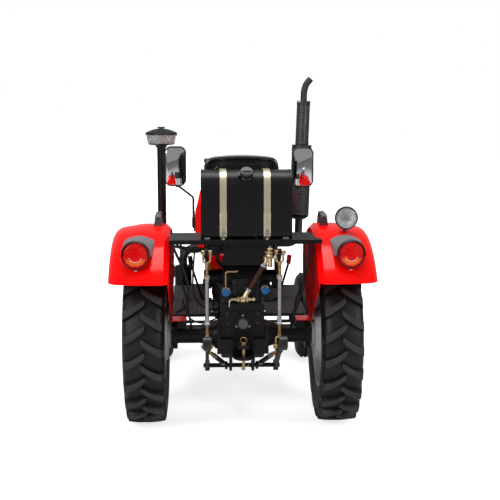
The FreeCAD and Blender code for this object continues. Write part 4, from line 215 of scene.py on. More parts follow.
def rod(
        name: str, start: Point, end: Point, radius: float, end_radius: float | None = None, sides: int = 32,
        bevel: float = 0.0) -> Piece:
    """Makes a round or many-sided bar from one point to another.

    Args:
        name: The piece's name.
        start: The middle of the first end.
        end: The middle of the other end.
        radius: Radius at the start.
        end_radius: Radius at the end, where it tapers.
        sides: Number of sides.
        bevel: Width of the end edges' rounding.

    Returns:
        The new mesh object.
    """
    start, end = Vector(start), Vector(end)
    run = end - start
    deselect()
    bpy.ops.mesh.primitive_cone_add(
        vertices=sides, radius1=radius, radius2=radius if end_radius is None else end_radius, depth=run.length,
        location=(start + end) / 2, rotation=turn_to(run).to_euler())
    piece = settle(bpy.context.object, name)
    return soften(piece, bevel, 2, 50) if bevel else smooth(piece)


def ring(name: str, at: Point, axis: Point, radius: float, thickness: float, steps: int = 64, sides: int = 16) -> Piece:
    """Makes a torus of a radius and a section thickness about an axis."""
    deselect()
    bpy.ops.mesh.primitive_torus_add(
        major_radius=radius, minor_radius=thickness, major_segments=steps, minor_segments=sides, location=at,
        rotation=turn_to(axis).to_euler())
    return smooth(settle(bpy.context.object, name), 60)


def dome(name: str, at: Point, radii: Point, turn: Quaternion | None = None, steps: int = 32) -> Piece:
    """Makes a ball or an egg of three radii at a place."""
    deselect()
    bpy.ops.mesh.primitive_uv_sphere_add(
        segments=steps, ring_count=steps // 2, radius=1, location=at, scale=radii,
        rotation=(turn or Quaternion()).to_euler())
    return smooth(settle(bpy.context.object, name), 60)


def lathe(name: str, profile: Profile, at: Point, axis: Point, steps: int = 64, angle: float = 40) -> Piece:
    """Turns a profile about an axis.

    Args:
        name: The piece's name.
        profile: Corners as (radius, distance along the axis), from one end to the other.
        at: Where the axis starts.
        axis: The way the axis points.
        steps: Steps round the axis.
        angle: Edges under this angle in degrees are shaded smooth.

    Returns:
        The new mesh object.
    """
    deselect()
    bpy.ops.mesh.primitive_plane_add(size=0.001, location=(0, 0, 0))
    piece = bpy.context.object
    with editing(piece, "VERT", whole=True):
        bpy.ops.mesh.merge(type="CENTER")
        bpy.ops.transform.translate(value=(profile[0][0], 0, profile[0][1]))
        for (radius, along), (last_radius, last_along) in zip(profile[1:], profile):
            bpy.ops.mesh.extrude_region_move(
                TRANSFORM_OT_translate={"value": (radius - last_radius, 0, along - last_along)})
        bpy.ops.mesh.select_all(action="SELECT")
        bpy.ops.mesh.spin(steps=steps, angle=math.tau, center=(0, 0, 0), axis=(0, 0, 1))
        bpy.ops.mesh.select_all(action="SELECT")
        bpy.ops.mesh.remove_doubles(threshold=MERGED)
        bpy.ops.mesh.normals_make_consistent(inside=False)
    piece.matrix_world = placed(at, axis)
    return smooth(settle(piece, name), angle)


def pipe(
        name: str, points: Sequence[Point], radius: float, sides: int = 12, closed: bool = False,
        straight: bool = False) -> Piece:
    """Makes a round pipe along a smooth curve through or near the given points.

    Args:
        name: The piece's name.
        points: The pipe's route.
        radius: The pipe's radius.
        sides: Sides round the pipe.
        closed: True where the pipe joins its own start.
        straight: True where the runs between points stay straight.

    Returns:
        The new mesh object, with closed ends.
    """
    deselect()
    curve = bpy.data.curves.new(name, "CURVE")
    curve.dimensions = "3D"
    curve.bevel_depth, curve.bevel_resolution, curve.resolution_u = radius, max(1, sides // 4 - 1), 10
    curve.use_fill_caps = True
    spline = curve.splines.new("POLY" if straight else "NURBS")
    spline.points.add(len(points) - 1)
    for spot, point in zip(spline.points, points):
        spot.co = (*point, 1)
    spline.use_cyclic_u = closed
    if not straight:
        spline.order_u = min(4, len(points))
        spline.use_endpoint_u = not closed
    piece = bpy.data.objects.new(name, curve)
    bpy.context.scene.collection.objects.link(piece)
    activate(piece)
    bpy.ops.object.convert(target="MESH")
    return smooth(settle(bpy.context.object, name), 60)


def join(name: str, pieces: Sequence[Piece]) -> Piece:
    """Joins pieces, each with its own materials, into one mesh and returns it."""
    deselect()
    for piece in pieces:
        piece.select_set(True)
    bpy.context.view_layer.objects.active = pieces[0]
    if len(pieces) > 1:
        bpy.ops.object.join()
    pieces[0].name = pieces[0].data.name = name
    return pieces[0]


def copied(piece: Piece, name: str, matrix: Matrix) -> Piece:
    """Returns a copy of a piece with its own mesh, moved by a matrix, facing outwards when mirrored."""
    twin = piece.copy()
    twin.data = piece.data.copy()
    bpy.context.scene.collection.objects.link(twin)
    twin.data.transform(matrix)
    if matrix.determinant() < 0:
        twin.data.flip_normals()
    twin.name = twin.data.name = name
    return twin


def repeated(piece: Piece, name: str, matrices: Sequence[Matrix]) -> Piece:
    """Returns copies of a piece, one at each matrix, joined as one mesh, and removes the first one."""
    copies = [copied(piece, f"{name}_{number}", matrix) for number, matrix in enumerate(matrices)]
    bpy.data.objects.remove(piece)
    return join(name, copies)


def reshape(piece: Piece, formula: Callable[[Vector], Vector]) -> Piece:
    """Moves each corner of a piece to where a formula puts it, as a lattice would, and returns the piece."""
    for corner in piece.data.vertices:
        corner.co = formula(corner.co.copy())
    piece.data.update()
    return piece


def bridged(piece: Piece) -> Piece:
    """Joins a piece's two open edges, merges doubles, turns the faces outwards and returns the piece."""
    with editing(piece, "EDGE"):
        bpy.ops.mesh.select_non_manifold()
        bpy.ops.mesh.bridge_edge_loops()
    with editing(piece, "VERT", whole=True):
        bpy.ops.mesh.remove_doubles(threshold=MERGED)
        bpy.ops.mesh.normals_make_consistent(inside=False)
    return piece


def welded(node: str, name: str, angle: float = 32) -> Piece:
    """Returns a merged, smooth-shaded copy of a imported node's mesh."""
    piece = SHOWN_CAD[node].copy()
    piece.data = SHOWN_CAD[node].data.copy()
    piece.parent = None
    for key in [key for key in piece.keys() if key.startswith("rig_")]:
        del piece[key]
    bpy.context.scene.collection.objects.link(piece)
    piece.name = piece.data.name = name
    piece.data.materials.clear()
    with editing(piece, "VERT", whole=True):
        bpy.ops.mesh.remove_doubles(threshold=CAD_MERGED)
    if piece.data.has_custom_normals:
        bpy.ops.mesh.customdata_custom_splitnormals_clear()
    return smooth(piece, angle)


def both_flanks(flank: Profile) -> list[tuple[float, float]]:
    """Returns a tyre's whole profile from one flank's corners, given from the bead to the middle."""
    return [(radius, -along) for radius, along in flank] + [(radius, along) for radius, along in flank[::-1]]


def circle_spots(at: Point, axis: Point, radius: float, count: int, start: float = 0.0) -> list[tuple[Vector, Vector]]:
    """Returns evenly spaced spots round an axis, each with the axis as its way out.

    Args:
        at: The middle of the circle.
        axis: The circle's axis.
        radius: The circle's radius.
        count: Number of spots.
        start: Turn of the first spot in degrees.

    Returns:
        Pairs of a place and an axis.
    """
    turn = turn_to(axis)
    spots = []
    for number in range(count):
        angle = math.radians(start + 360 * number / count)
        spots.append((
            Vector(at) + turn @ Vector((radius * math.cos(angle), radius * math.sin(angle), 0)), Vector(axis)))
    return spots


def rounded_panel(
        name: str, at: Point, wide: float, tall: float, corner: float, thick: float, rounding: float = 0.001) -> Piece:
    """Makes an upright plate with rounded corners that faces backwards.

    Args:
        name: The piece's name.
        at: The middle of its rear face.
        wide: Its width.
        tall: Its height.
        corner: Its corners' radius.
        thick: Its thickness, going forwards.
        rounding: Bevel of its face's edge.

    Returns:
        The new mesh object.
    """
    deselect()
    bpy.ops.mesh.primitive_plane_add(size=1, location=at, rotation=(math.radians(90), 0, 0))
    piece = bpy.context.object
    piece.scale = (wide, tall, 1)
    settle(piece, name)
    with editing(piece, "VERT", whole=True):
        bpy.ops.mesh.bevel(offset=corner, segments=10, affect="VERTICES")
        bpy.ops.mesh.select_all(action="SELECT")
        bpy.ops.mesh.extrude_region_move(TRANSFORM_OT_translate={"value": (0, thick, 0)})
        bpy.ops.mesh.select_all(action="SELECT")
        bpy.ops.mesh.normals_make_consistent(inside=False)
    return soften(piece, rounding, 2, 50)


def perforated_tube(
        name: str, start: Point, end: Point, radius: float, around: int, rows: int, rim: float,
        wall: float = 0.0012) -> Piece:
    """Makes a tube of sheet with rows of holes.

    Args:
        name: The piece's name.
        start: The middle of its first end.
        end: The middle of its other end.
        radius: Its outer radius.
        around: Number of holes round it.
        rows: Number of rows of holes.
        rim: Half the width of the sheet left between the holes.
        wall: The sheet's thickness.

    Returns:
        The new mesh object.
    """
    length = (Vector(end) - Vector(start)).length
    band = 0.012
    heights = [0.0] + [band + (length - 2 * band) * step / rows for step in range(rows + 1)] + [length]
    tube = lathe(name, [(radius, height) for height in heights], start, Vector(end) - Vector(start), around, 60)
    axis = (Vector(end) - Vector(start)).normalized()
    with editing(tube):
        pick_faces(tube, lambda spot, _: band < (spot - Vector(start)).dot(axis) < length - band)
        bpy.ops.mesh.inset(thickness=rim, use_individual=True)
        bpy.ops.mesh.delete(type="FACE")
    return smooth(apply(tube, "SOLIDIFY", thickness=wall, offset=-1), 50)


def ribbed_hose(name: str, points: Sequence[Point], radius: float, pitch: float = 0.006) -> Piece:
    """Makes a corrugated hose along a curve.

    Args:
        name: The piece's name.
        points: The hose's route.
        radius: Its outer radius.
        pitch: Distance between two ribs.

    Returns:
        The new mesh object.
    """
    hose = pipe(name, points, radius * 0.86, 16)
    lengths = sum((Vector(second) - Vector(first)).length for first, second in zip(points, points[1:]))
    steps = max(4, int(lengths / pitch))
    route = pipe("route", points, 0.0)
    middles = [corner.co.copy() for corner in route.data.vertices]
    bpy.data.objects.remove(route)
    spans = [(second - first).length for first, second in zip(middles, middles[1:])]
    total = sum(spans)
    ribs = []
    for number in range(steps):
        target, index = total * (number + 0.5) / steps, 0
        while index < len(spans) - 1 and target > spans[index]:
            target -= spans[index]
            index += 1
        way = middles[index + 1] - middles[index]
        if way.length < 1e-6:
            continue
        ribs.append(ring("rib", middles[index] + way.normalized() * target, way, radius * 0.84, radius * 0.16, 14, 6))
    return join(name, [hose, *ribs])


@lru_cache(maxsize=None)
def surface(node: str) -> BVHTree:
    """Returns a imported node's faces, ready to be searched."""
    mesh = SHOWN_CAD[node].data
    return BVHTree.FromPolygons([corner.co for corner in mesh.vertices], [face.vertices for face in mesh.polygons])


def landed(node: str, start: Point, way: Point) -> tuple[Vector, Vector] | None:
    """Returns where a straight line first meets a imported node, with the surface's way out, or None."""
    spot, normal, _, _ = surface(node).ray_cast(Vector(start), Vector(way))
    return None if spot is None else (spot, normal if normal.dot(Vector(way)) < 0 else -normal)


def seated(piece: Piece, at: Point, out: Point) -> Piece:
    """Moves a piece made flat at the origin onto a sloping face, its top towards +Z, and returns it."""
    out = Vector(out).normalized()
    up = Vector((0, 0, 1)) - out * out.z
    up = up.normalized() if up.length > 0.01 else Vector((0, 1, 0))
    right = up.cross(out)
    piece.data.transform(Matrix.Translation(Vector(at)) @ Matrix((right, up, out)).transposed().to_4x4())
    piece.data.update()
    return piece


# --- Finishes ------------------------------------------------------------------------------------------


class Nodes:
    """A small helper that adds and links the nodes of one material or group."""

    def __init__(self, tree: bpy.types.NodeTree) -> None:
        """Starts on an emptied node tree."""
        self.tree = tree
        tree.nodes.clear()

    def add(self, kind: str, **values: object) -> bpy.types.Node:
        """Adds a node. Keys that are sockets' names in lower case get values or links, others are settings."""
        node = self.tree.nodes.new(f"ShaderNode{kind}")
        sockets = {}
        for socket in node.inputs:
            sockets.setdefault(socket.name.lower().replace(" ", "_"), socket)
        for key, value in values.items():
            if key in sockets:
                self.feed(sockets[key], value)
            else:
                setattr(node, key, value)
        return node

    def feed(self, socket: Socket, value: object) -> None:
        """Links a socket to another one or sets its plain value."""
        if isinstance(value, Socket):
            self.tree.links.new(value, socket)
        elif isinstance(value, tuple) and len(value) == 3 and socket.type == "RGBA":
            socket.default_value = (*value, 1)
        else:
            socket.default_value = value

    def math(self, operation: str, first: object, second: object = 0.0) -> Socket:
        """Adds a Math node and returns its result."""
        node = self.tree.nodes.new("ShaderNodeMath")
        node.operation = operation
        self.feed(node.inputs[0], first)
        self.feed(node.inputs[1], second)
        return node.outputs[0]

    def ramp(self, value: object, low: float, high: float) -> Socket:
        """Returns 0 below low, 1 above high and a smooth step between."""
        node = self.add("MapRange", interpolation_type="SMOOTHSTEP")
        self.feed(node.inputs[0], value)
        self.feed(node.inputs[1], low)
        self.feed(node.inputs[2], high)
        return node.outputs[0]

    def blend(self, share: object, first: object, second: object) -> Socket:
        """Mixes two colours by a share and returns the mix."""
        node = self.tree.nodes.new("ShaderNodeMix")
        node.data_type = "RGBA"
        self.feed(node.inputs[0], share)
        self.feed(node.inputs[6], first)
        self.feed(node.inputs[7], second)
        return node.outputs[2]


def new_group(name: str, inputs: dict[str, float], outputs: dict[str, str]) -> tuple[Nodes, object, object]:
    """Makes a shader node group.

    Args:
        name: The group's name.
        inputs: Input names with their default numbers.
        outputs: Output names with their socket types.

    Returns:
        The group's node helper, its input node and its output node.
    """
    tree = bpy.data.node_groups.new(name, "ShaderNodeTree")
    for label, value in inputs.items():
        tree.interface.new_socket(label, in_out="INPUT", socket_type="NodeSocketFloat").default_value = value
    for label, kind in outputs.items():
        tree.interface.new_socket(label, in_out="OUTPUT", socket_type=kind)
    nodes = Nodes(tree)
    return nodes, tree.nodes.new("NodeGroupInput"), tree.nodes.new("NodeGroupOutput")


def grain_group() -> bpy.types.NodeTree:
    """Makes the fine grain of cast, moulded and painted surfaces: a height and a slow colour mottle."""
    nodes, start, end = new_group(
        "surface_grain", {"Scale": 400.0, "Coarseness": 0.5, "Mottle Scale": 9.0},
        {"Height": "NodeSocketFloat", "Mottle": "NodeSocketFloat"})
    place = nodes.add("TexCoord").outputs["Object"]
    fine = nodes.add(
        "TexNoise", vector=place, scale=start.outputs["Scale"], detail=4.0, roughness=start.outputs["Coarseness"])
    slow = nodes.add("TexNoise", vector=place, scale=start.outputs["Mottle Scale"], detail=5.0, roughness=0.6)
    nodes.feed(end.inputs["Height"], fine.outputs[0])
    nodes.feed(end.inputs["Mottle"], nodes.ramp(slow.outputs[0], 0.35, 0.68))
    return nodes.tree


def wear_group() -> bpy.types.NodeTree:
    """Makes the worn-edge mask: where the rounded and the true normal part, broken up by noise."""
    nodes, start, end = new_group("edge_wear", {"Radius": 0.002, "Amount": 0.5}, {"Mask": "NodeSocketFloat"})
    rounded = nodes.add("Bevel", radius=start.outputs["Radius"], samples=4)
    facing = nodes.add("VectorMath", operation="DOT_PRODUCT")
    nodes.feed(facing.inputs[0], rounded.outputs[0])
    nodes.feed(facing.inputs[1], nodes.add("NewGeometry").outputs["Normal"])
    edge = nodes.ramp(nodes.math("SUBTRACT", 1.0, facing.outputs["Value"]), 0.02, 0.2)
    noise = nodes.add("TexNoise", vector=nodes.add("TexCoord").outputs["Object"], scale=60.0, detail=6.0, roughness=0.7)
    broken = nodes.math("MULTIPLY", edge, nodes.ramp(noise.outputs[0], 0.45, 0.62))
    nodes.feed(end.inputs["Mask"], nodes.math("MULTIPLY", broken, start.outputs["Amount"]))
    return nodes.tree


def dust_group() -> bpy.types.NodeTree:
    """Makes the dust mask: thick near the ground and on faces that look up, in soft patches."""
    nodes, start, end = new_group("settled_dust", {"Amount": 0.3, "Top": 0.6}, {"Mask": "NodeSocketFloat"})
    place = nodes.add("TexCoord").outputs["Object"]
    height = nodes.add("SeparateXYZ", vector=place).outputs["Z"]
    low = nodes.math("SUBTRACT", 1.0, nodes.ramp(nodes.math("DIVIDE", height, start.outputs["Top"]), 0.0, 1.0))
    upward = nodes.add("SeparateXYZ", vector=nodes.add("NewGeometry").outputs["Normal"]).outputs["Z"]
    lying = nodes.math("MULTIPLY", nodes.ramp(upward, 0.2, 1.0), 0.5)
    noise = nodes.add("TexNoise", vector=place, scale=14.0, detail=8.0, roughness=0.65)
    patches = nodes.ramp(noise.outputs[0], 0.35, 0.75)
    spread = nodes.math("MULTIPLY", nodes.math("ADD", low, lying), patches)
    nodes.feed(end.inputs["Mask"], nodes.math("MULTIPLY", spread, start.outputs["Amount"]))
    return nodes.tree


class Effects:
    """The shader node groups that several finishes share, each built once."""

    def __init__(self) -> None:
        """Builds the groups."""
        self.grain = grain_group()
        self.wear = wear_group()
        self.dust = dust_group()


@dataclass(frozen=True)
class Finish:
    """A painted, moulded, cast or plated surface."""

    name: str
    colour: Colour
    roughness: float = 0.5
    metallic: float = 0.0
    coat: float = 0.0
    grain_scale: float = 500.0
    grain_depth: float = 0.0002
    grain_coarseness: float = 0.5
    mottle: float = 0.15
    mottle_scale: float = 9.0
    rounding: float = 0.0015
    wear: float = 0.0
    wear_colour: Colour = (0.25, 0.24, 0.23)
    dust: float = 0.0
    dust_top: float = 0.7
    dust_colour: Colour = (0.28, 0.25, 0.21)
    specular: float = 0.5

    def make(self, effects: Effects) -> Material:
        """Builds the material.

        Args:
            effects: The shared node groups.

        Returns:
            The finished material.
        """
        material = bpy.data.materials.new(self.name)
        material.use_nodes = True
        material.diffuse_color = (*self.colour, 1)
        nodes = Nodes(material.node_tree)
        grain = nodes.add("Group", node_tree=effects.grain)
        grain.inputs["Scale"].default_value = self.grain_scale
        grain.inputs["Coarseness"].default_value = self.grain_coarseness
        grain.inputs["Mottle Scale"].default_value = self.mottle_scale
        darker = tuple(channel * (1 - self.mottle) for channel in self.colour)
        colour = nodes.blend(grain.outputs["Mottle"], darker, self.colour)
        rough = nodes.math("MULTIPLY_ADD", grain.outputs["Mottle"], -0.06)
        rough.node.inputs[2].default_value = self.roughness + 0.03
        if self.wear:
            wear = nodes.add("Group", node_tree=effects.wear)
            wear.inputs["Radius"].default_value = 0.0025
            wear.inputs["Amount"].default_value = self.wear
            colour = nodes.blend(wear.outputs["Mask"], colour, self.wear_colour)
        if self.dust:
            dust = nodes.add("Group", node_tree=effects.dust)
            dust.inputs["Amount"].default_value = self.dust
            dust.inputs["Top"].default_value = self.dust_top
            colour = nodes.blend(dust.outputs["Mask"], colour, self.dust_colour)
            rough = nodes.math("ADD", rough, nodes.math("MULTIPLY", dust.outputs["Mask"], 0.3))
        bump = nodes.add("Bump", strength=0.6, distance=self.grain_depth)
        nodes.feed(bump.inputs["Height"], self.pattern(nodes, grain.outputs["Height"]))
        if self.rounding:
            nodes.feed(bump.inputs["Normal"], nodes.add("Bevel", radius=self.rounding, samples=4).outputs[0])
        surface = nodes.add(
            "BsdfPrincipled", base_color=colour, metallic=self.metallic, roughness=rough, coat_weight=self.coat,
            coat_roughness=0.06)
        surface.inputs["Specular IOR Level"].default_value = self.specular
        nodes.feed(surface.inputs["Normal"], bump.outputs[0])
        nodes.feed(nodes.add("OutputMaterial").inputs["Surface"], surface.outputs[0])
        return material

    def pattern(self, nodes: Nodes, height: Socket) -> Socket:
        """Returns the height that the bump reads."""
        return height


@dataclass(frozen=True)
class KnurledFinish(Finish):
    """A turned part with fine rings across its own axis."""

    axis: Triple = (0, 0, 1)
    pitch: float = 0.004

    def pattern(self, nodes: Nodes, height: Socket) -> Socket:
        """Returns rings across the axis, with the grain on top."""
        place = nodes.add("TexCoord").outputs["Object"]
        along = nodes.add("VectorMath", operation="DOT_PRODUCT")
        nodes.feed(along.inputs[0], place)
        along.inputs[1].default_value = self.axis
        wave = nodes.math("SINE", nodes.math("MULTIPLY", along.outputs["Value"], math.tau / self.pitch))
        return nodes.math("ADD", nodes.math("MULTIPLY", wave, 0.5), nodes.math("MULTIPLY", height, 0.3))


@dataclass(frozen=True)
class ClearFinish:
    """A clear or coloured lens, bowl or glass."""

    name: str
    colour: Colour
    roughness: float = 0.03
    transmission: float = 1.0
    ior: float = 1.45
    ripple_scale: float = 60.0
    ripple_depth: float = 0.0003

    def make(self, effects: Effects) -> Material:
        """Builds the material with a faint moulded ripple and returns it."""
        material = bpy.data.materials.new(self.name)
        material.use_nodes = True
        nodes = Nodes(material.node_tree)
        grain = nodes.add("Group", node_tree=effects.grain)
        grain.inputs["Scale"].default_value = self.ripple_scale
        paler = tuple(min(1.0, channel * 1.15 + 0.02) for channel in self.colour)
        colour = nodes.blend(grain.outputs["Mottle"], self.colour, paler)
        bump = nodes.add("Bump", strength=0.5, distance=self.ripple_depth, height=grain.outputs["Height"])
        surface = nodes.add(
            "BsdfPrincipled", base_color=colour, roughness=self.roughness, ior=self.ior,
            transmission_weight=self.transmission, normal=bump.outputs[0])
        nodes.feed(nodes.add("OutputMaterial").inputs["Surface"], surface.outputs[0])
        return material


AnyFinish = Finish | ClearFinish

BLACK_PAINT = Finish(
    "black_paint", paint(16, 15, 16), roughness=0.32, specular=0.2, grain_depth=0.00025, mottle=0.25, wear=0.35,
    wear_colour=(0.12, 0.12, 0.12), dust=0.1, dust_top=0.5)
CAST_BLACK = Finish(
    "cast_black", paint(15, 14, 14), roughness=0.38, specular=0.24, grain_scale=260, grain_depth=0.0007,
    grain_coarseness=0.65, mottle=0.3, wear=0.4, wear_colour=(0.11, 0.1, 0.1), dust=0.14)
RED_PAINT = Finish(
    "red_paint", paint(250, 6, 5), roughness=0.16, coat=0.03, specular=0.15, grain_scale=170, grain_depth=0.00005,
    mottle=0.05, mottle_scale=3, rounding=0.004, dust=0.02)
TYRE_RUBBER = Finish(
    "tyre_rubber", paint(19, 18, 18), roughness=0.44, specular=0.28, grain_scale=320, grain_depth=0.0008,
    grain_coarseness=0.7, mottle=0.35, mottle_scale=16, rounding=0.0, dust=0.05, dust_top=1.1,
    dust_colour=(0.09, 0.085, 0.08))
RIM_PAINT = Finish("rim_paint", paint(176, 177, 180), roughness=0.38, mottle=0.12, wear=0.15, dust=0.12)
TANK_BLACK = Finish(
    "tank_black", paint(13, 12, 13), roughness=0.36, specular=0.22, grain_scale=190, grain_depth=0.0003, mottle=0.28,
    mottle_scale=12, rounding=0.003, dust=0.05, dust_top=1.7)
SHELF_GREY = Finish(
    "shelf_grey", paint(28, 28, 29), roughness=0.36, specular=0.24, mottle=0.15, wear=0.3,
    wear_colour=(0.16, 0.16, 0.16), dust=0.04, dust_top=1.5)
LAMP_GREY = Finish(
    "lamp_grey", paint(112, 112, 115), roughness=0.5, grain_scale=700, grain_depth=0.0002, mottle=0.12, rounding=0.003)
HANDLE_GREY = Finish(
    "handle_grey", paint(76, 77, 80), roughness=0.5, grain_scale=700, grain_depth=0.0002, mottle=0.15, rounding=0.003)
BLACK_PLASTIC = Finish(
    "black_plastic", paint(24, 24, 25), roughness=0.36, specular=0.35, grain_scale=900, grain_depth=0.00025, mottle=0.1,
    rounding=0.002)
BLACK_RUBBER = Finish("black_rubber", paint(27, 27, 28), roughness=0.6, grain_scale=500, mottle=0.2)
HEAT_BLACK = Finish(
    "heat_black", paint(19, 18, 19), roughness=0.5, grain_scale=350, grain_depth=0.0004, mottle=0.3, wear=0.3,
    wear_colour=(0.1, 0.09, 0.09))
# Near-black for the pipe inside the shields: painted shade, so their holes read dark.
PAINTED_SHADE_BLACK = Finish("soot_black", paint(7, 7, 7), roughness=0.8, specular=0.1, grain_scale=350, mottle=0.3)
# Lighter grey than the real black sheet: painted sheen standing in for the glints on the shields' webs, with real edge
# wear.
SHIELD_SHEEN_GREY = Finish(
    "shield_grey", paint(74, 74, 76), roughness=0.3, metallic=0.35, grain_scale=350, grain_depth=0.0002, mottle=0.25,
    wear=0.4, wear_colour=(0.4, 0.4, 0.4))
# Darker, duller red for the fenders' inward faces: painted shade.
PAINTED_SHADE_RED = Finish(
    "inner_red", paint(196, 8, 10), roughness=0.55, specular=0.08, grain_scale=240, mottle=0.3, dust=0.1, dust_top=0.8)
FLOOR_GREY = Finish(
    "footboard_grey", paint(40, 37, 37), roughness=0.55, grain_scale=240, grain_depth=0.0006, mottle=0.25, wear=0.4,
    wear_colour=(0.3, 0.3, 0.3), dust=0.2, dust_top=0.8)
STRAP_ZINC = Finish(
    "strap_zinc", paint(196, 186, 160), roughness=0.38, metallic=0.75, grain_scale=130, grain_depth=0.00015,
    mottle=0.14, mottle_scale=30, rounding=0.001)
YELLOW_ZINC = Finish(
    "yellow_zinc", paint(196, 164, 120), roughness=0.34, metallic=0.85, grain_scale=300, mottle=0.3, mottle_scale=40,
    rounding=0.001)
SILVER_ZINC = Finish(
    "silver_zinc", paint(182, 184, 188), roughness=0.34, metallic=0.85, grain_scale=300, mottle=0.25, mottle_scale=30,
    rounding=0.001)
BLUE_CAP = Finish("blue_cap", paint(0, 78, 132), roughness=0.4, mottle=0.12, rounding=0.0015)
VINYL = Finish(
    "seat_vinyl", paint(40, 40, 41), roughness=0.46, grain_scale=420, grain_depth=0.0005, grain_coarseness=0.6,
    mottle=0.12, rounding=0.0)
CHROME = Finish(
    "lamp_chrome", (0.86, 0.87, 0.88), roughness=0.12, metallic=1.0, grain_scale=60, grain_depth=0.0002, mottle=0.05,
    rounding=0.0)
RED_GRIP = Finish("red_grip", paint(214, 20, 26), roughness=0.4, mottle=0.1)
MIRROR_GLASS = Finish(
    "mirror_glass", (0.62, 0.64, 0.66), roughness=0.03, metallic=1.0, grain_scale=40, grain_depth=0.00002, mottle=0.04,
    rounding=0.0)
RED_LENS = ClearFinish("red_lens", paint(208, 0, 2), roughness=0.05, transmission=0.0, ior=1.3)
LIGHT_RED = ClearFinish("light_red", paint(250, 44, 36), roughness=0.2, transmission=0.0, ior=1.3)
DARK_RED = ClearFinish("dark_red", paint(128, 0, 2), roughness=0.2, transmission=0.0, ior=1.3)
AMBER_LENS = ClearFinish("amber_lens", paint(212, 84, 14), roughness=0.06, transmission=0.0, ior=1.3)
AMBER_LIGHT = ClearFinish("amber_light", paint(244, 138, 52), roughness=0.2, transmission=0.0, ior=1.3)
WHITE_LINE = ClearFinish("white_line", paint(240, 226, 222), roughness=0.3, transmission=0.0)
BULB_GLASS = ClearFinish("bulb_glass", paint(246, 240, 214), roughness=0.1, transmission=0.35)
STUD_GREY = Finish(
    "stud_grey", paint(142, 138, 130), roughness=0.42, metallic=0.7, mottle=0.2, mottle_scale=60, rounding=0.001)
CLEAR_LENS = ClearFinish("clear_lens", (0.95, 0.97, 0.98), roughness=0.02)
CLEAR_BOWL = ClearFinish("clear_bowl", (0.82, 0.84, 0.84), roughness=0.16, transmission=0.75)
THREADED_ZINC = KnurledFinish(
    "threaded_zinc", paint(172, 140, 100), roughness=0.34, metallic=0.85, grain_scale=300, mottle=0.4, mottle_scale=40,
    rounding=0.0, grain_depth=0.0012, pitch=0.0026)
TUBE_STEEL = Finish(
    "tube_steel", paint(168, 168, 170), roughness=0.3, metallic=0.85, grain_scale=160, mottle=0.3, mottle_scale=26,
    dust=0.15)
LINK_BLACK = Finish(
    "link_black", paint(24, 20, 20), roughness=0.36, specular=0.4, grain_scale=200, grain_depth=0.0004, mottle=0.3,
    wear=0.35, wear_colour=(0.16, 0.11, 0.07), dust=0.12)
STAY_BROWN = Finish(
    "stay_brown", paint(64, 44, 36), roughness=0.36, metallic=0.6, grain_scale=260, mottle=0.35, mottle_scale=40)
SLEEVE_BROWN = Finish(
    "sleeve_brown", paint(66, 34, 32), roughness=0.34, metallic=0.45, specular=0.4, grain_scale=220, mottle=0.35,
    mottle_scale=30)
# Lighter rubber for the lug tops: a painted highlight.
LUG_TOP_HIGHLIGHT = Finish(
    "lug_rubber", paint(48, 47, 47), roughness=0.6, specular=0.3, grain_scale=240, grain_depth=0.001, mottle=0.3,
    mottle_scale=22, dust=0.12)
PALE_ZINC = Finish(
    "pale_zinc", paint(224, 198, 158), roughness=0.3, metallic=0.85, grain_scale=300, mottle=0.3, mottle_scale=40,
    rounding=0.001)
CAP_GREY = Finish("cap_grey", paint(74, 72, 74), roughness=0.42, grain_scale=500, mottle=0.15)
BOLT_BLACK = Finish(
    "bolt_black", paint(34, 31, 31), roughness=0.36, specular=0.4, grain_scale=500, mottle=0.3, wear=0.4,
    wear_colour=(0.22, 0.18, 0.13))
SEAT_SHELL = Finish(
    "seat_shell", paint(30, 30, 31), roughness=0.2, specular=0.6, coat=0.3, grain_scale=600, grain_depth=0.0001,
    mottle=0.12)
REFLECTOR = Finish(
    "reflector", (0.92, 0.93, 0.94), roughness=0.3, metallic=0.7, grain_scale=60, grain_depth=0.0004, mottle=0.05,
    rounding=0.0)
FLUTED_GLASS = KnurledFinish(
    "fluted_glass", paint(196, 200, 204), roughness=0.12, metallic=0.55, coat=0.6, grain_scale=60, mottle=0.1,
    rounding=0.0, grain_depth=0.0015, axis=(1, 0, 0), pitch=0.006)
CORE_FINS = KnurledFinish(
    "core_fins", paint(34, 34, 35), roughness=0.4, metallic=0.4, grain_scale=300, mottle=0.3, rounding=0.0,
    grain_depth=0.0025, axis=(1, 0, 0), pitch=0.0042)
DIAL_BLACK = Finish("dial_black", paint(14, 14, 16), roughness=0.25, coat=0.5, grain_scale=400)
DIAL_WHITE = Finish("dial_white", paint(224, 224, 218), roughness=0.5, mottle=0.08)
FILTER_ORANGE = Finish("filter_paint", paint(196, 92, 24), roughness=0.35, mottle=0.12, dust=0.15)
ROCKER_GREY = Finish(
    "rocker_grey", paint(120, 122, 124), roughness=0.42, metallic=0.3, grain_scale=240, grain_depth=0.0005, mottle=0.2,
    dust=0.2)
PANEL_GREY = Finish("panel_grey", paint(176, 177, 180), roughness=0.36, grain_scale=300, mottle=0.1, dust=0.1)

NODE_FINISHES = {
    "air_cleaner": BLACK_PAINT, "controls": BLACK_PAINT, "cooling_fan": BLACK_PLASTIC, "cowl": RED_PAINT,
    "drawbar_frame": BLACK_PAINT, "footboards": FLOOR_GREY, "front_axle": CAST_BLACK, "front_frame": BLACK_PAINT,
    "hood": RED_PAINT, "hydraulic_couplers": YELLOW_ZINC, "intake_hose": BLACK_RUBBER, "knuckle_left": CAST_BLACK,
    "knuckle_right": CAST_BLACK, "lift_arms": CAST_BLACK, "lift_cover": CAST_BLACK, "rear_axle_housings": CAST_BLACK,
    "steering_column": BLACK_PAINT, "tail_lamp_hoods": LAMP_GREY, "tie_rod": BLACK_PAINT,
    "transmission_case": CAST_BLACK, "wiring_looms": BLACK_RUBBER,
}


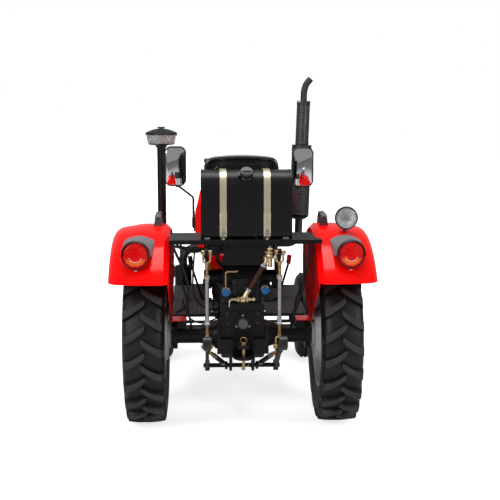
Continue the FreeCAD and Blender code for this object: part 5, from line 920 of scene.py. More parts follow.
class Workshop:
    """Holds the effects and materials, and books each finished piece on its body."""

    def __init__(self) -> None:
        """Builds the shared effects and reads each node's body and slot."""
        self.effects = Effects()
        self.stood_for: set[str] = set()
        self.materials: dict[str, Material] = {}
        self.node_body = {
            node: body for body, nodes in frame["record"]["behaviour"]["bodies"].items() for node in nodes}
        self.node_slot = {part["node"]: part["material_slot"] for part in frame["record"]["subparts"]}

    def material(self, finish: AnyFinish) -> Material:
        """Returns the material of a finish, built at its first use."""
        if finish.name not in self.materials:
            self.materials[finish.name] = finish.make(self.effects)
        return self.materials[finish.name]

    def dress(self, piece: Piece, finish: AnyFinish) -> Piece:
        """Gives a piece one finish all over and returns it."""
        piece.data.materials.clear()
        piece.data.materials.append(self.material(finish))
        return piece

    def zone(self, piece: Piece, finish: AnyFinish, wanted: FaceTest) -> Piece:
        """Gives the faces that pass a test a finish of their own.

        Args:
            piece: The dressed piece.
            finish: The faces' new finish.
            wanted: Takes a face's centre and normal and says whether it gets the finish.

        Returns:
            The piece.
        """
        piece.data.materials.append(self.material(finish))
        number = len(piece.data.materials) - 1
        for face in piece.data.polygons:
            if wanted(face.center, face.normal):
                face.material_index = number
        return piece

    def book(self, piece: Piece, body: str, slot: str, *replaced: str) -> Piece:
        """Books a finished piece: its body and the nodes that it stands for.

        Args:
            piece: The finished mesh object.
            body: The body that it rides on.
            slot: The record's material slot; not used.
            replaced: The nodes that it replaces.

        Returns:
            The piece.
        """
        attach(piece, body)
        if replaced:
            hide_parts(*replaced)
            self.stood_for.update(replaced)
        log.info("%s rides on %s, %d triangles", piece.name, body, len(piece.data.loop_triangles))
        return piece

    def stand_in(self, piece: Piece, node: str) -> Piece:
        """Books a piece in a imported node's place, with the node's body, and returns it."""
        return self.book(piece, self.node_body[node], self.node_slot[node], node)

    def skin(self, node: str, finish: AnyFinish) -> Piece:
        """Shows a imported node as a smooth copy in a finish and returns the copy."""
        return self.stand_in(self.dress(welded(node, f"{node}_skin"), finish), node)


class Kit(list):
    """The dressed pieces of one assembly, which are joined and booked as one."""

    def __init__(self, shop: Workshop) -> None:
        """Starts an empty kit."""
        super().__init__()
        self.shop = shop

    def add(self, finish: AnyFinish, *pieces: Piece) -> Piece:
        """Dresses pieces in a finish, takes them in and returns the last one."""
        self.extend(self.shop.dress(piece, finish) for piece in pieces)
        return self[-1]

    def stand_in(self, name: str, node: str, smoothed: bool = False) -> Piece:
        """Args:
            name: The whole piece's name.
            node: The node that it stands for, which gives its body.
            smoothed: True where the whole is shaded smooth once more.

        Returns:
            The whole piece.
        """
        whole = join(name, self)
        return self.shop.stand_in(smooth(whole) if smoothed else whole, node)

    def ride(self, name: str, body: str, slot: str) -> Piece:
        return self.shop.book(join(name, self), body, slot)


# --- Studio --------------------------------------------------------------------------------------------


@dataclass
class Studio:
    """The pale floor, the white surroundings, the soft lamps and the camera."""

    axle_y: float
    camera_back: float = 6.2
    camera_x: float = -0.2
    camera_height: float = 1.93
    yaw: float = 2.35
    pitch: float = 8.2
    lens: float = 75.3
    floor_size: float = 60.0

    def build(self) -> None:
        """Makes the floor, the world, the lamps and the camera."""
        self.floor()
        self.world()
        self.lamps()
        self.camera()

    def floor(self) -> None:
        """Lays the white floor, which keeps the tractor's shadow."""
        deselect()
        bpy.ops.mesh.primitive_plane_add(size=self.floor_size, location=(0, 0, 0))
        floor = settle(bpy.context.object, "studio_floor")
        material = bpy.data.materials.new("studio_floor")
        material.use_nodes = True
        nodes = Nodes(material.node_tree)
        seen = nodes.add("LightPath")
        place = nodes.add("TexCoord").outputs["Object"]
        away = nodes.add("VectorMath", operation="LENGTH")
        nodes.feed(away.inputs[0], place)
        share = nodes.ramp(away.outputs["Value"], 1.3, 4.5)
        glow = nodes.math("MULTIPLY_ADD", share, 0.6)
        glow.node.inputs[2].default_value = 0.74
        glow = nodes.math("MULTIPLY", seen.outputs["Is Camera Ray"], glow)
        surface = nodes.add("BsdfDiffuse", color=(0.8, 0.8, 0.8))
        light = nodes.add("Emission", color=(1.0, 1.0, 1.0), strength=glow)
        both = nodes.add("AddShader")
        nodes.feed(both.inputs[0], surface.outputs[0])
        nodes.feed(both.inputs[1], light.outputs[0])
        nodes.feed(nodes.add("OutputMaterial").inputs["Surface"], both.outputs[0])
        floor.data.materials.append(material)

    def world(self) -> None:
        """Sets the white surroundings: full white where seen, softer as light."""
        world = bpy.data.worlds.new("studio_world")
        bpy.context.scene.world = world
        world.use_nodes = True
        nodes = Nodes(world.node_tree)
        seen = nodes.add("LightPath")
        shiny = nodes.math("MAXIMUM", seen.outputs["Is Glossy Ray"], seen.outputs["Is Transmission Ray"])
        strength = nodes.math("ADD", seen.outputs["Is Camera Ray"], nodes.math("MULTIPLY", shiny, 0.14))
        strength = nodes.math("MINIMUM", nodes.math("ADD", strength, 0.24), 1.0)
        background = nodes.add("Background", color=(1.0, 1.0, 1.0), strength=strength)
        nodes.feed(nodes.add("OutputWorld").inputs["Surface"], background.outputs[0])

    def lamp(self, name: str, at: Point, target: Point, size: tuple[float, float], power: float) -> None:
        """Hangs one soft rectangular lamp.

        Args:
            name: The lamp's name.
            at: Where it hangs.
            target: What it points at.
            size: Its width and height.
            power: Its power in watts.
        """
        deselect()
        aim = (Vector(target) - Vector(at)).to_track_quat("-Z", "Y")
        bpy.ops.object.light_add(type="AREA", location=at, rotation=aim.to_euler())
        lamp = bpy.context.object
        lamp.name = name
        lamp.data.shape = "RECTANGLE"
        lamp.data.size, lamp.data.size_y = size
        lamp.data.energy = power

    def lamps(self) -> None:
        """Hangs the soft lamps over and beside the tractor."""
        self.lamp("overhead_lamp", (0, -0.7, 4.4), (0, -0.5, 0), (2.8, 2.0), 125)
        self.lamp("left_lamp", (-3.8, -4.8, 3.2), (0, -0.6, 0.7), (3.0, 3.0), 175)
        self.lamp("right_lamp", (4.2, -4.2, 2.6), (0, -0.6, 0.7), (2.6, 2.6), 115)

    def camera(self) -> None:
        """Stands the camera behind the tractor, turned and tipped without any shift."""
        deselect()
        bpy.ops.object.camera_add(
            location=(self.camera_x, self.axle_y - self.camera_back, self.camera_height),
            rotation=(math.radians(90 - self.pitch), 0, math.radians(-self.yaw)))
        camera = bpy.context.object
        camera.data.lens = self.lens
        camera.data.sensor_width = 36
        bpy.context.scene.camera = camera
        bpy.context.scene.view_settings.view_transform = "Standard"


# --- Sub-assemblies ------------------------------------------------------------------------------------


@dataclass
class RearTyre:
    """A rear drive tyre: a rounded carcass with two rows of curved lugs."""

    shop: Workshop
    side: Side
    lugs: int = 22
    lug_height: float = 0.027
    lug_thick: float = 0.042
    lug_sweep: float = 8.6
    stagger: float = 0.5
    low: Vector = field(init=False)
    high: Vector = field(init=False)

    def __post_init__(self) -> None:
        """Reads the tyre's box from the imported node."""
        self.low, self.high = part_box(f"rear_tyre_{self.side.label}")

    @property
    def centre(self) -> Vector:
        """Returns the middle of the tyre."""
        return (self.low + self.high) / 2

    @property
    def radius(self) -> float:
        """Returns the radius to the lug tips."""
        return (self.high.z - self.low.z) / 2

    @property
    def half_width(self) -> float:
        """Returns half the section width."""
        return (self.high.x - self.low.x) / 2

    def carcass(self) -> Piece:
        """Returns the carcass: beads, bulged side walls, shoulders and crown."""
        half, tread = self.half_width, self.radius - self.lug_height
        flank = [
            (0.308, 0.094), (0.318, 0.099), (0.327, 0.1005), (0.334, 0.1035), (0.348, 0.1095), (0.372, 0.1165),
            (0.402, half), (0.43, half - 0.0005), (0.452, half - 0.004), (tread - 0.024, half - 0.013),
            (tread - 0.01, half - 0.028), (tread - 0.003, half - 0.058), (tread, 0.012)]
        return lathe("carcass", both_flanks(flank), self.centre, (1, 0, 0), 120, 50)

    def lug(self, row: int) -> Piece:
        """Returns one lug of a row, -1 for the left row and 1 for the right one, at the rear of the wheel."""
        half = self.half_width
        reach = half - 0.0025
        deselect()
        bpy.ops.mesh.primitive_cube_add(size=1, location=(0.5, 0, 0.5))
        bar = settle(bpy.context.object, "lug")
        for share in (0.5, 0.12, 0.25, 0.38, 0.62, 0.74, 0.86, 0.93):
            with editing(bar, whole=True):
                bpy.ops.mesh.bisect(plane_co=(share, 0, 0), plane_no=(1, 0, 0))

        shoulder, beyond = 0.86, 0.14       # shares of the lug before and beyond the tread's edge

        def formed(corner: Vector) -> Vector:
            """Bends the straight bar over the crown, down the shoulder and back along the sweep."""
            share, across, up = corner
            out = -0.012 + share * (reach + 0.012)
            if share > shoulder:
                out = reach - 0.01 * (1 - (share - shoulder) / beyond)
            crown = self.radius - 0.01 * (max(out, 0) / half) ** 3 - (
                0.062 * max(0.0, (share - shoulder) / beyond) ** 1.5)
            floor = crown - self.lug_height - 0.02
            radius = floor + (crown - floor) * up
            thick = self.lug_thick * (0.92 + 0.35 * share ** 2) * (1.16 - 0.16 * up)
            if share < 0.06:
                thick *= 0.78
            sweep = self.lug_sweep * (1.35 * share - 0.35 * share ** 2.2)
            angle = -math.radians(sweep) + across * thick / self.radius
            return Vector((row * out, -radius * math.cos(angle), radius * math.sin(angle)))

        reshape(bar, formed)
        if row < 0:
            bar.data.flip_normals()
        apply(bar, "BEVEL", width=0.0035, segments=2, limit_method="ANGLE", angle_limit=math.radians(38))
        return bar

    def build(self) -> None:
        """Builds the tyre and books it on its wheel."""
        pieces = [self.carcass()]
        pitch = 360 / self.lugs
        to_centre = Matrix.Translation(self.centre)
        for row, start in ((-1, 0.0), (1, self.stagger * pitch)):
            turns = [
                to_centre @ Matrix.Rotation(math.radians(start + pitch * count), 4, "X") for count in range(self.lugs)]
            pieces.append(repeated(self.lug(row), f"lug_row_{row}", turns))
        tyre = smooth(join(f"rear_tyre_{self.side.label}_tread", pieces), 42)
        self.shop.dress(tyre, TYRE_RUBBER)
        tread, centre = self.radius - 0.6 * self.lug_height, self.centre

        def on_top(spot: Vector, normal: Vector) -> bool:
            """Says whether a face is the top of a lug, which gets a lighter finish as painted highlight."""
            out = Vector((0, spot.y - centre.y, spot.z - centre.z))
            # Above this radius a face counts as a lug top and gets the lighter painted highlight.
            worn = tread - 0.01 * (abs(spot.x - centre.x) / self.half_width) ** 3
            return out.length > worn and normal.dot(out.normalized()) > 0.75

        # The lug tops get the lighter rubber as painted highlight.
        self.shop.zone(tyre, LUG_TOP_HIGHLIGHT, on_top)
        self.shop.stand_in(tyre, f"rear_tyre_{self.side.label}")


@dataclass
class FrontTyre:
    """A front tyre with three ribs round its tread."""

    shop: Workshop
    side: Side
    rib_half: float = 0.0085
    groove_half: float = 0.0055
    groove_deep: float = 0.009
    steps: int = 144

    def build(self) -> None:
        """Builds the tyre and books it on its wheel."""
        node = f"front_tyre_{self.side.label}"
        low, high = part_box(node)
        half, top = (high.x - low.x) / 2, (high.z - low.z) / 2
        rib, groove, deep = self.rib_half, self.groove_half, self.groove_deep
        outer = rib + 2 * groove + 2 * rib
        flank = [
            (0.188, half - 0.022), (0.196, half - 0.018), (0.204, half - 0.018), (0.214, half - 0.01),
            (0.232, half - 0.003), (0.254, half), (0.274, half - 0.003), (top - 0.024, half - 0.014),
            (top - 0.017, half - 0.021), (top - 0.012, outer + 0.003), (top - 0.002, outer),
            (top - 0.001, outer - 2 * rib + 0.002), (top - deep, rib + 2 * groove - 0.001), (top - deep, rib + 0.001),
            (top, rib - 0.001)]
        tyre = lathe(f"{node}_tread", both_flanks(flank), (low + high) / 2, (1, 0, 0), self.steps, 30)
        self.shop.stand_in(self.shop.dress(tyre, TYRE_RUBBER), node)


class Fastener(Enum):
    """The kinds of small fastener."""

    BOLT = "bolt"
    NUT = "nut"
    SCREW = "screw"


@dataclass
class Fasteners:
    """Hexagon bolts, nuts on studs and round-headed screws, each modelled once at unit size and copied."""

    shop: Workshop
    finish: Finish
    slot: str

    def master(self, kind: Fastener) -> Piece:
        """Returns one fastener of unit radius that stands on the floor plane."""
        if kind is Fastener.SCREW:
            return lathe(
                "screw", [(0, -0.2), (1, -0.2), (1, 0.15), (0.8, 0.42), (0.35, 0.58), (0.3, 0.42), (0, 0.42)],
                (0, 0, 0), (0, 0, 1), 16)
        washer = rod("washer", (0, 0, -0.3), (0, 0, 0.2), 1.3, sides=20)
        head = rod("hexagon", (0, 0, 0.1), (0, 0, 0.95), 1.0, sides=6)
        apply(head, "BEVEL", width=0.09, segments=1, limit_method="ANGLE", angle_limit=math.radians(50))
        parts = [washer, head]
        if kind is Fastener.NUT:
            parts.append(rod("stud", (0, 0, 0.5), (0, 0, 1.6), 0.55, sides=12, bevel=0.08))
        return join(kind.value, parts)

    def build(self, name: str, body: str, kind: Fastener, spots: Sequence[tuple[Point, Point]], radius: float) -> Piece:
        """Places fasteners of one kind and books them as one piece.

        Args:
            name: The piece's name.
            body: The body that it rides on.
            kind: The kind of fastener.
            spots: A seat and an outward axis for each fastener.
            radius: The head's outer radius.

        Returns:
            The finished piece.
        """
        matrices = [placed(at, axis) @ Matrix.Scale(radius, 4) for at, axis in spots]
        piece = smooth(repeated(self.master(kind), name, matrices), 30)
        return self.shop.book(self.shop.dress(piece, self.finish), body, self.slot)


@dataclass
class TailLamp:
    """A round tail lamp: black rim with an eyelid, stepped red lens with rings of lights, and an amber foot."""

    shop: Workshop
    side: Side
    rim_width: float = 0.0052
    eyelid: float = 0.006
    amber_drop: float = 0.27
    amber_reach: float = 0.76
    radius: float = field(init=False)
    face: Vector = field(init=False)
    depth: float = field(init=False)

    def __post_init__(self) -> None:
        """Reads the lamp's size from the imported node."""
        low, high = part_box("tail_lamps")
        self.radius = (high.z - low.z) / 2
        self.depth = high.y - low.y
        self.face = Vector((self.side.value * (high.x - self.radius), low.y, (low.z + high.z) / 2))

    def spot(self, reach: float, degrees: float, sunk: float) -> Vector:
        """Returns a place on the lamp's face at a radius, an angle and a depth below its front."""
        angle = math.radians(degrees)
        return self.face + Vector((reach * math.cos(angle), sunk, reach * math.sin(angle)))

    def rim(self) -> Piece:
        """Returns the black rim round the lens."""
        outer, inner = self.radius - 0.0008, self.radius - self.rim_width
        profile = [
            (inner, -0.008), (inner, -self.depth), (outer, -self.depth), (outer, -0.006), (outer - 0.001, -0.0028),
            (inner + 0.001, -0.0028)]
        piece = lathe("lamp_rim", profile, self.face, (0, -1, 0), 72)
        return self.shop.dress(smooth(bridged(piece), 40), BLACK_PLASTIC)

    def lid(self) -> Piece:
        """Returns the eyelid: a black band over the upper half that thins to points at centre height."""
        route = [self.spot(self.radius + 0.0005, degrees, 0.008) for degrees in range(-8, 189, 7)]
        band = pipe("lamp_lid", route, self.eyelid, 12, straight=True)
        centre = self.face

        def tapered(corner: Vector) -> Vector:
            """Thins the band towards its ends and draws it back along the lamp."""
            flat = Vector((corner.x - centre.x, 0, corner.z - centre.z))
            share = min(1.0, 0.28 + 0.85 * max(0.0, flat.z / flat.length + 0.14))
            reach = self.radius + 0.0005 + (flat.length - self.radius - 0.0005) * share
            deep = centre.y + 0.01 + (corner.y - centre.y - 0.008) * 2.6
            return Vector((centre.x, deep, centre.z)) + flat.normalized() * reach

        return self.shop.dress(smooth(reshape(band, tapered), 50), BLACK_PLASTIC)

    def lens(self) -> Piece:
        """Returns the stepped lens with its amber foot below a level line."""
        reach = self.radius - self.rim_width - 0.0003
        foot = self.amber_reach * self.radius
        profile = [
            (0, -self.depth + 0.006), (reach, -self.depth + 0.006), (reach, -0.012), (reach - 0.006, -0.0075),
            (foot + 0.001, -0.0062), (foot, -0.0052), (0.035, -0.0046), (0.034, -0.0032), (0.012, -0.002), (0, -0.0018)]
        glass = lathe("lamp_lens", profile, self.face, (0, -1, 0), 72)
        chord = self.face.z - self.amber_drop * self.radius
        with editing(glass, whole=True):
            bpy.ops.mesh.bisect(plane_co=(0, 0, chord), plane_no=(0, 0, 1))
        self.shop.dress(smooth(glass, 30), RED_LENS)
        return self.shop.zone(
            glass, AMBER_LENS, lambda spot, _: spot.z < chord and spot.y < self.face.y + 0.0085
            and 0.034 < Vector((spot.x - self.face.x, spot.z - self.face.z)).length < foot)

    def lights(self) -> list[Piece]:
        """Returns the rings of small lights, dark and bright in turn, and the amber ones in the foot."""
        kinds = {DARK_RED: [], LIGHT_RED: [], AMBER_LIGHT: []}
        for reach, step, sunk in ((0.0405, 15, 0.005), (0.0505, 12, 0.0054), (0.064, 10, 0.0072)):
            for number in range(int(360 / step)):
                degrees = number * step
                at = self.spot(reach, degrees, sunk)
                in_foot = at.z < self.face.z - self.amber_drop * self.radius and reach < 0.055
                kinds[AMBER_LIGHT if in_foot else (LIGHT_RED if number % 3 == 1 else DARK_RED)].append(at)
        pieces = Kit(self.shop)
        for finish, places in kinds.items():
            dot = dome("lamp_light", (0, 0, 0), (0.0026, 0.0016, 0.0026), steps=12)
            dots = repeated(dot, finish.name, [Matrix.Translation(at) for at in places])
            pieces.add(finish, smooth(dots, 50))
        return pieces

    def build(self) -> None:
        """Builds the lamp and books it on the chassis."""
        arc = [self.spot(0.0365, degrees, 0.0042) for degrees in range(200, 341, 10)]
        line = self.shop.dress(pipe("lamp_arc", arc, 0.0011, 8), WHITE_LINE)
        lamp = join(f"tail_lamp_{self.side.label}", [self.rim(), self.lid(), self.lens(), *self.lights(), line])
        nodes = ("tail_lamps",) if self.side is Side.RIGHT else ()
        self.shop.book(lamp, "chassis", "red_lens", *nodes)


@dataclass
class WorkLamp:
    """The round work lamp with its bulb, lens, bracket and tilt lever."""

    shop: Workshop
    bowl_depth: float = 0.084
    radius: float = field(init=False)
    face: Vector = field(init=False)
    foot: float = field(init=False)

    def __post_init__(self) -> None:
        """Reads the lamp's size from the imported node."""
        low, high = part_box("work_lamp")
        self.radius = (high.x - low.x) / 2
        self.face = Vector(((low.x + high.x) / 2, low.y, high.z - self.radius))
        self.foot = low.z

    def build(self) -> None:
        """Builds the lamp and books it on the chassis."""
        wide, face = self.radius, self.face
        pieces = Kit(self.shop)
        body = pieces.add(REFLECTOR, lathe(
            "work_lamp_bowl", [(0, 0.05), (0.01, 0.05), (0.012, 0.046), (0.03, 0.036), (0.046, 0.022),
            (wide - 0.009, 0.006), (wide - 0.0085, 0.001), (wide - 0.004, 0), (wide - 0.001, 0.002), (wide, 0.006),
            (wide, 0.016), (wide - 0.004, 0.019), (wide - 0.006, 0.026), (0.05, 0.05), (0.034, 0.07), (0.018, 0.081),
            (0, self.bowl_depth)], face, (0, 1, 0), 72))
        rim_from, rim_to = wide - 0.008, face.y + 0.02
        self.shop.zone(body, BLACK_PLASTIC, lambda spot, _: spot.y < rim_to and (spot - face).xz.length > rim_from)
        pieces.add(CLEAR_LENS, lathe(
            "work_lamp_lens", [(0, -0.0035), (0.03, -0.0028), (wide - 0.009, 0.0015), (wide - 0.009, 0.004),
            (0.03, 0.0), (0, -0.0005)], face + Vector((0, 0.0036, 0)), (0, 1, 0), 64))
        pieces.add(BULB_GLASS, dome("bulb", face + Vector((0, 0.034, 0)), (0.009, 0.014, 0.009)))
        pieces.add(CHROME, rod("bulb_shade", face + Vector((0, 0.012, 0)), face + Vector((0, 0.024, 0)), 0.011, 0.012))
        x, y = face.x, face.y + 0.055
        pieces.add(
            HANDLE_GREY, rod("work_lamp_stem", (x, y, self.foot), (x, y, face.z - 0.04), 0.009, 0.008, bevel=0.001),
            rod("work_lamp_collar", (x, y, face.z - 0.074), (x, y, face.z - 0.058), 0.015, bevel=0.002),
            pipe("work_lamp_lever", [(x, y, face.z - 0.066), (x - 0.03, y - 0.01, face.z - 0.062),
            (x - 0.045, y - 0.03, face.z - 0.05)], 0.0035))
        pieces.stand_in("work_lamp_pieces", "work_lamp")


@dataclass
class FuelTank:
    """The moulded fuel tank with its seams, feet, straps, studs and ribbed cap."""

    shop: Workshop
    ribs: int = 26
    rib_depth: float = 0.0016
    seam: float = 0.0016
    strap_width: float = 0.038

    def tank(self) -> None:
        """Shows the tank with raised end seams."""
        low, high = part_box("fuel_tank")
        pieces = Kit(self.shop)
        tank = pieces.add(TANK_BLACK, welded("fuel_tank", "fuel_tank_body"))
        with editing(tank, whole=True):
            for across in (low.x + 0.014, low.x + 0.018, high.x - 0.018, high.x - 0.014):
                bpy.ops.mesh.bisect(plane_co=(across, 0, 0), plane_no=(1, 0, 0))
                bpy.ops.mesh.select_all(action="SELECT")
        with editing(tank):
            pick_faces(tank, lambda spot, normal: abs(normal.x) < 0.2 and any(
                abs(spot.x - across) < 0.002 for across in (low.x + 0.016, high.x - 0.016)))
            bpy.ops.mesh.extrude_region_shrink_fatten(TRANSFORM_OT_shrink_fatten={"value": -self.seam})
        apply(tank, "BEVEL", width=0.007, segments=3, limit_method="ANGLE", angle_limit=math.radians(60))
        smooth(tank)
        for across in (low.x + 0.018, high.x - 0.052):
            pieces.add(LAMP_GREY, block(
                "tank_foot", (across, low.y + 0.012, low.z - 0.003), (across + 0.034, low.y + 0.15, low.z + 0.01),
                0.002))
        pieces.stand_in("fuel_tank_pieces", "fuel_tank")

    def straps(self) -> None:
        """Shows the straps with their wider lower ends, slots, studs and nuts."""
        pieces = Kit(self.shop)
        pieces.add(STRAP_ZINC, welded("tank_straps", "tank_strap_bands"))
        low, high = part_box("tank_straps")
        shelf, half = low.z, self.strap_width / 2
        for middle in (low.x + half, high.x - half):
            pieces.add(STRAP_ZINC, block(
                "strap_end", (middle - half - 0.001, low.y - 0.0022, shelf + 0.034),
                (middle + half + 0.001, low.y, shelf + 0.15), 0.0008))
            # Black block in each strap end: painted shade inside its slot.
            pieces.add(BLACK_PLASTIC, block(
                "strap_slot", (middle - 0.006, low.y - 0.0027, shelf + 0.044),
                (middle + 0.006, low.y - 0.0015, shelf + 0.062), 0.0004))
            pieces.add(
                STUD_GREY, rod("strap_stud", (middle, low.y - 0.004, shelf - 0.006),
                (middle, low.y - 0.004, shelf + 0.06), 0.004, sides=16, bevel=0.001),
                rod("strap_trunnion", (middle - 0.013, low.y - 0.003, shelf + 0.04),
                (middle + 0.013, low.y - 0.003, shelf + 0.04), 0.0075, sides=20, bevel=0.001),
                rod("strap_nut", (middle, low.y - 0.004, shelf), (middle, low.y - 0.004, shelf + 0.01), 0.01, sides=6,
                bevel=0.001))
        pieces.stand_in("tank_strap_pieces", "tank_straps")

    def cap(self) -> None:
        """Builds the slanted neck and the ribbed cap."""
        low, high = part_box("fuel_cap")
        radius, slant = (high.x - low.x) / 2, math.sqrt(0.5)
        end = Vector(((low.x + high.x) / 2, low.y + radius * slant, high.z - radius * slant))
        axis = Vector((0, -slant, slant))
        profile = [
            (0, 0), (radius - 0.006, 0), (radius - 0.001, -0.0015), (radius, -0.005), (radius, -0.024),
            (radius - 0.002, -0.027), (radius - 0.01, -0.028), (0, -0.028)]
        cap = lathe("cap", profile, end, axis, self.ribs * 6, 45)

        def ribbed(corner: Vector) -> Vector:
            """Cuts the finger ribs round the cap."""
            along = (corner - end).dot(axis)
            spoke = corner - end - axis * along
            if spoke.length > radius - 0.0015:
                angle = math.atan2(spoke.x, spoke.dot(axis.cross(Vector((1, 0, 0)))))
                dip = self.rib_depth * (0.5 + 0.5 * math.cos(angle * self.ribs)) ** 2
                return corner - spoke.normalized() * dip
            return corner

        pieces = Kit(self.shop)
        pieces.add(BLACK_PLASTIC, reshape(cap, ribbed), lathe(
            "neck", [(0.027, -0.027), (0.0275, -0.036), (0.033, -0.04), (0.033, -0.046), (0.0275, -0.049),
            (0.0275, -0.062)], end, axis, 48))
        bar = pieces.add(BLACK_PLASTIC, block("cap_bar", (-0.024, -0.004, 0), (0.024, 0.004, 0.0045), 0.0018))
        bar.data.transform(placed(end, axis))
        pieces.add(LAMP_GREY, block(
            "cap_lug", (low.x - 0.012, end.y + 0.012, end.z - 0.026), (low.x + 0.004, end.y + 0.034, end.z - 0.008),
            0.003))
        pieces.stand_in("fuel_cap_pieces", "fuel_cap")

    def build(self) -> None:
        """Builds the tank, its straps and its cap."""
        self.tank()
        self.straps()
        self.cap()


@dataclass
class Mirrors:
    """The two mirrors: black shells with glass in their rear faces."""

    shop: Workshop
    wide: float = 0.142
    tall: float = 0.262
    frame_edge: float = 0.007
    drop: float = 0.007
    corner: float = 0.044

    def build(self) -> None:
        """Shows the shells, sets the glass in them and adds their lips and ball joints."""
        pieces = Kit(self.shop)
        pieces.add(BLACK_PLASTIC, welded("mirrors", "mirror_shells", 40))
        low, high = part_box("mirrors")
        for across, top in ((low.x + self.wide / 2, high.z), (high.x - self.wide / 2, high.z - self.drop)):
            middle = Vector((across, low.y - 0.0008, top - self.tall / 2))
            pieces.add(MIRROR_GLASS, rounded_panel(
                "glass", middle, self.wide - 2 * self.frame_edge, self.tall - 2 * self.frame_edge,
                self.corner - self.frame_edge, 0.0018, 0.0005))
            lip = rounded_panel(
                "lip", middle + Vector((0, -0.0012, 0)), self.wide - 0.002, self.tall - 0.002, self.corner, 0.004,
                0.0012)
            with editing(lip):
                pick_faces(lip, lambda spot, normal: normal.y < -0.99)
                bpy.ops.mesh.inset(thickness=self.frame_edge - 0.001)
                bpy.ops.mesh.extrude_region_move(TRANSFORM_OT_translate={"value": (0, 0.0026, 0)})
            pieces.add(BLACK_PLASTIC, smooth(lip))
            side = math.copysign(1, across)
            pieces.add(BLACK_PLASTIC, dome(
                "mirror_ball", (across - side * 0.012, low.y + 0.024, top - self.tall + 0.002), (0.014, 0.014, 0.012)))
        pieces.stand_in("mirror_pieces", "mirrors")


@dataclass
class Exhaust:
    """The exhaust with its perforated heat shields, their bands and the pipe's clamps."""

    shop: Workshop
    lean: float = math.radians(2)
    foot: tuple[float, float] = (0.448, 0.985)
    muffler_radius: float = 0.0665
    muffler_ends: tuple[float, float] = (1.118, 1.592)
    shield_radius: float = 0.0435
    shield_ends: tuple[float, float] = (1.614, 1.904)

    def at(self, height: float) -> Vector:
        """Returns the pipe's middle at a height."""
        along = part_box("exhaust")[0].y + self.muffler_radius + 0.003
        return Vector((self.foot[0] + math.tan(self.lean) * (height - self.foot[1]), along, height))

    def build(self) -> None:
        """Shows the pipe, painted near-black as shade where its shields cover it, and wraps it in them."""
        pieces = Kit(self.shop)
        pipe_skin = pieces.add(HEAT_BLACK, welded("exhaust", "exhaust_pipe"))
        # Inside the shields' spans the pipe is painted near-black as the shade seen through their holes.
        for low, high in (self.muffler_ends, self.shield_ends):
            self.shop.zone(pipe_skin, PAINTED_SHADE_BLACK, lambda spot, _, low=low, high=high: low < spot.z < high)
        for name, ends, radius, around, rows in (
                ("muffler_shield", self.muffler_ends, self.muffler_radius, 30, 30),
                ("pipe_shield", self.shield_ends, self.shield_radius, 22, 22)):
            start, end = self.at(ends[0]), self.at(ends[1])
            pieces.add(SHIELD_SHEEN_GREY, perforated_tube(name, start, end, radius + 0.0028, around, rows, 0.0026))
            for height in (ends[0] + 0.006, ends[1] - 0.006):
                pieces.add(HEAT_BLACK, rod(
                    "shield_band", self.at(height - 0.006), self.at(height + 0.006), radius + 0.0038, sides=64,
                    bevel=0.001))
        for height in (1.098, 1.606, 1.912):
            pieces.add(HEAT_BLACK, rod(
                "pipe_clamp", self.at(height - 0.007), self.at(height + 0.007), 0.047 if height > 1.2 else 0.044,
                sides=48, bevel=0.0015))
            pieces.add(SILVER_ZINC, rod(
                "clamp_lug", self.at(height) + Vector((-0.045, -0.022, 0)),
                self.at(height) + Vector((-0.022, -0.045, 0)), 0.006, sides=16, bevel=0.001))
        pieces.stand_in("exhaust_pieces", "exhaust")


@dataclass
class PreCleaner:
    """The pre-cleaner: black base with vanes, clear bowl, domed lid, clamping band, latch and wing nut."""

    shop: Workshop
    vanes: int = 16

    def build(self) -> None:
        """Builds the bowl and its fittings and books them on the chassis."""
        low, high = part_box("precleaner")
        radius = (high.x - low.x) / 2
        rim = Vector(((low.x + high.x) / 2, (low.y + high.y) / 2, high.z - 0.046))
        up = (0, 0, 1)
        base = lathe(
            "precleaner_base", [(0, -0.098), (0.037, -0.098), (0.038, -0.086), (0.043, -0.083), (0.084, -0.079),
            (0.091, -0.072), (0.091, -0.066), (0.086, -0.066), (0.08, -0.073), (0.034, -0.077), (0.032, -0.02),
            (0, -0.02)], rim, up, 64)
        vane = block("vane", (0.034, -0.0008, -0.076), (0.082, 0.0008, -0.05), 0.0)
        vanes = repeated(vane, "vanes", [
            Matrix.Translation(rim) @ Matrix.Rotation(math.tau * count / self.vanes, 4, "Z")
            for count in range(self.vanes)])
        lid = lathe(
            "precleaner_lid", [(0, -0.012), (radius - 0.016, -0.012), (radius - 0.006, -0.004),
            (radius - 0.002, -0.003), (radius - 0.001, 0.003), (radius - 0.009, 0.009), (0.08, 0.018), (0.058, 0.026),
            (0.034, 0.031), (0.014, 0.034), (0.013, 0.04), (0.006, 0.041), (0, 0.041)], rim, up, 72)
        band = lathe(
            "precleaner_band", [(radius - 0.004, -0.01), (radius, -0.009), (radius, 0.001), (radius - 0.004, 0.003)],
            rim, up, 72)
        bowl = bridged(lathe(
            "precleaner_glass", [(0.088, -0.07), (0.0925, -0.07), (0.098, -0.04), (radius - 0.008, -0.012),
            (radius - 0.003, -0.009), (radius - 0.004, -0.006), (radius - 0.011, -0.009), (0.094, -0.04)], rim, up, 72))
        nut = [
            block("wing", (-0.03, -0.005, 0.036), (0.03, 0.005, 0.045), 0.0025),
            block("wing", (-0.005, -0.03, 0.036), (0.005, 0.03, 0.045), 0.0025)]
        for piece in nut:
            piece.data.transform(Matrix.Translation(rim) @ Matrix.Rotation(math.radians(38), 4, "Z"))
        latch = block("latch", (radius - 0.004, -0.008, -0.016), (radius + 0.004, 0.008, 0.006), 0.002)
        latch.data.transform(Matrix.Translation(rim) @ Matrix.Scale(0.96, 4))
        pieces = Kit(self.shop)
        pieces.add(BLACK_PLASTIC, base, vanes, lid, band, *nut, latch)
        pieces.add(CLEAR_BOWL, smooth(bowl))
        pieces.stand_in("precleaner_pieces", "precleaner")


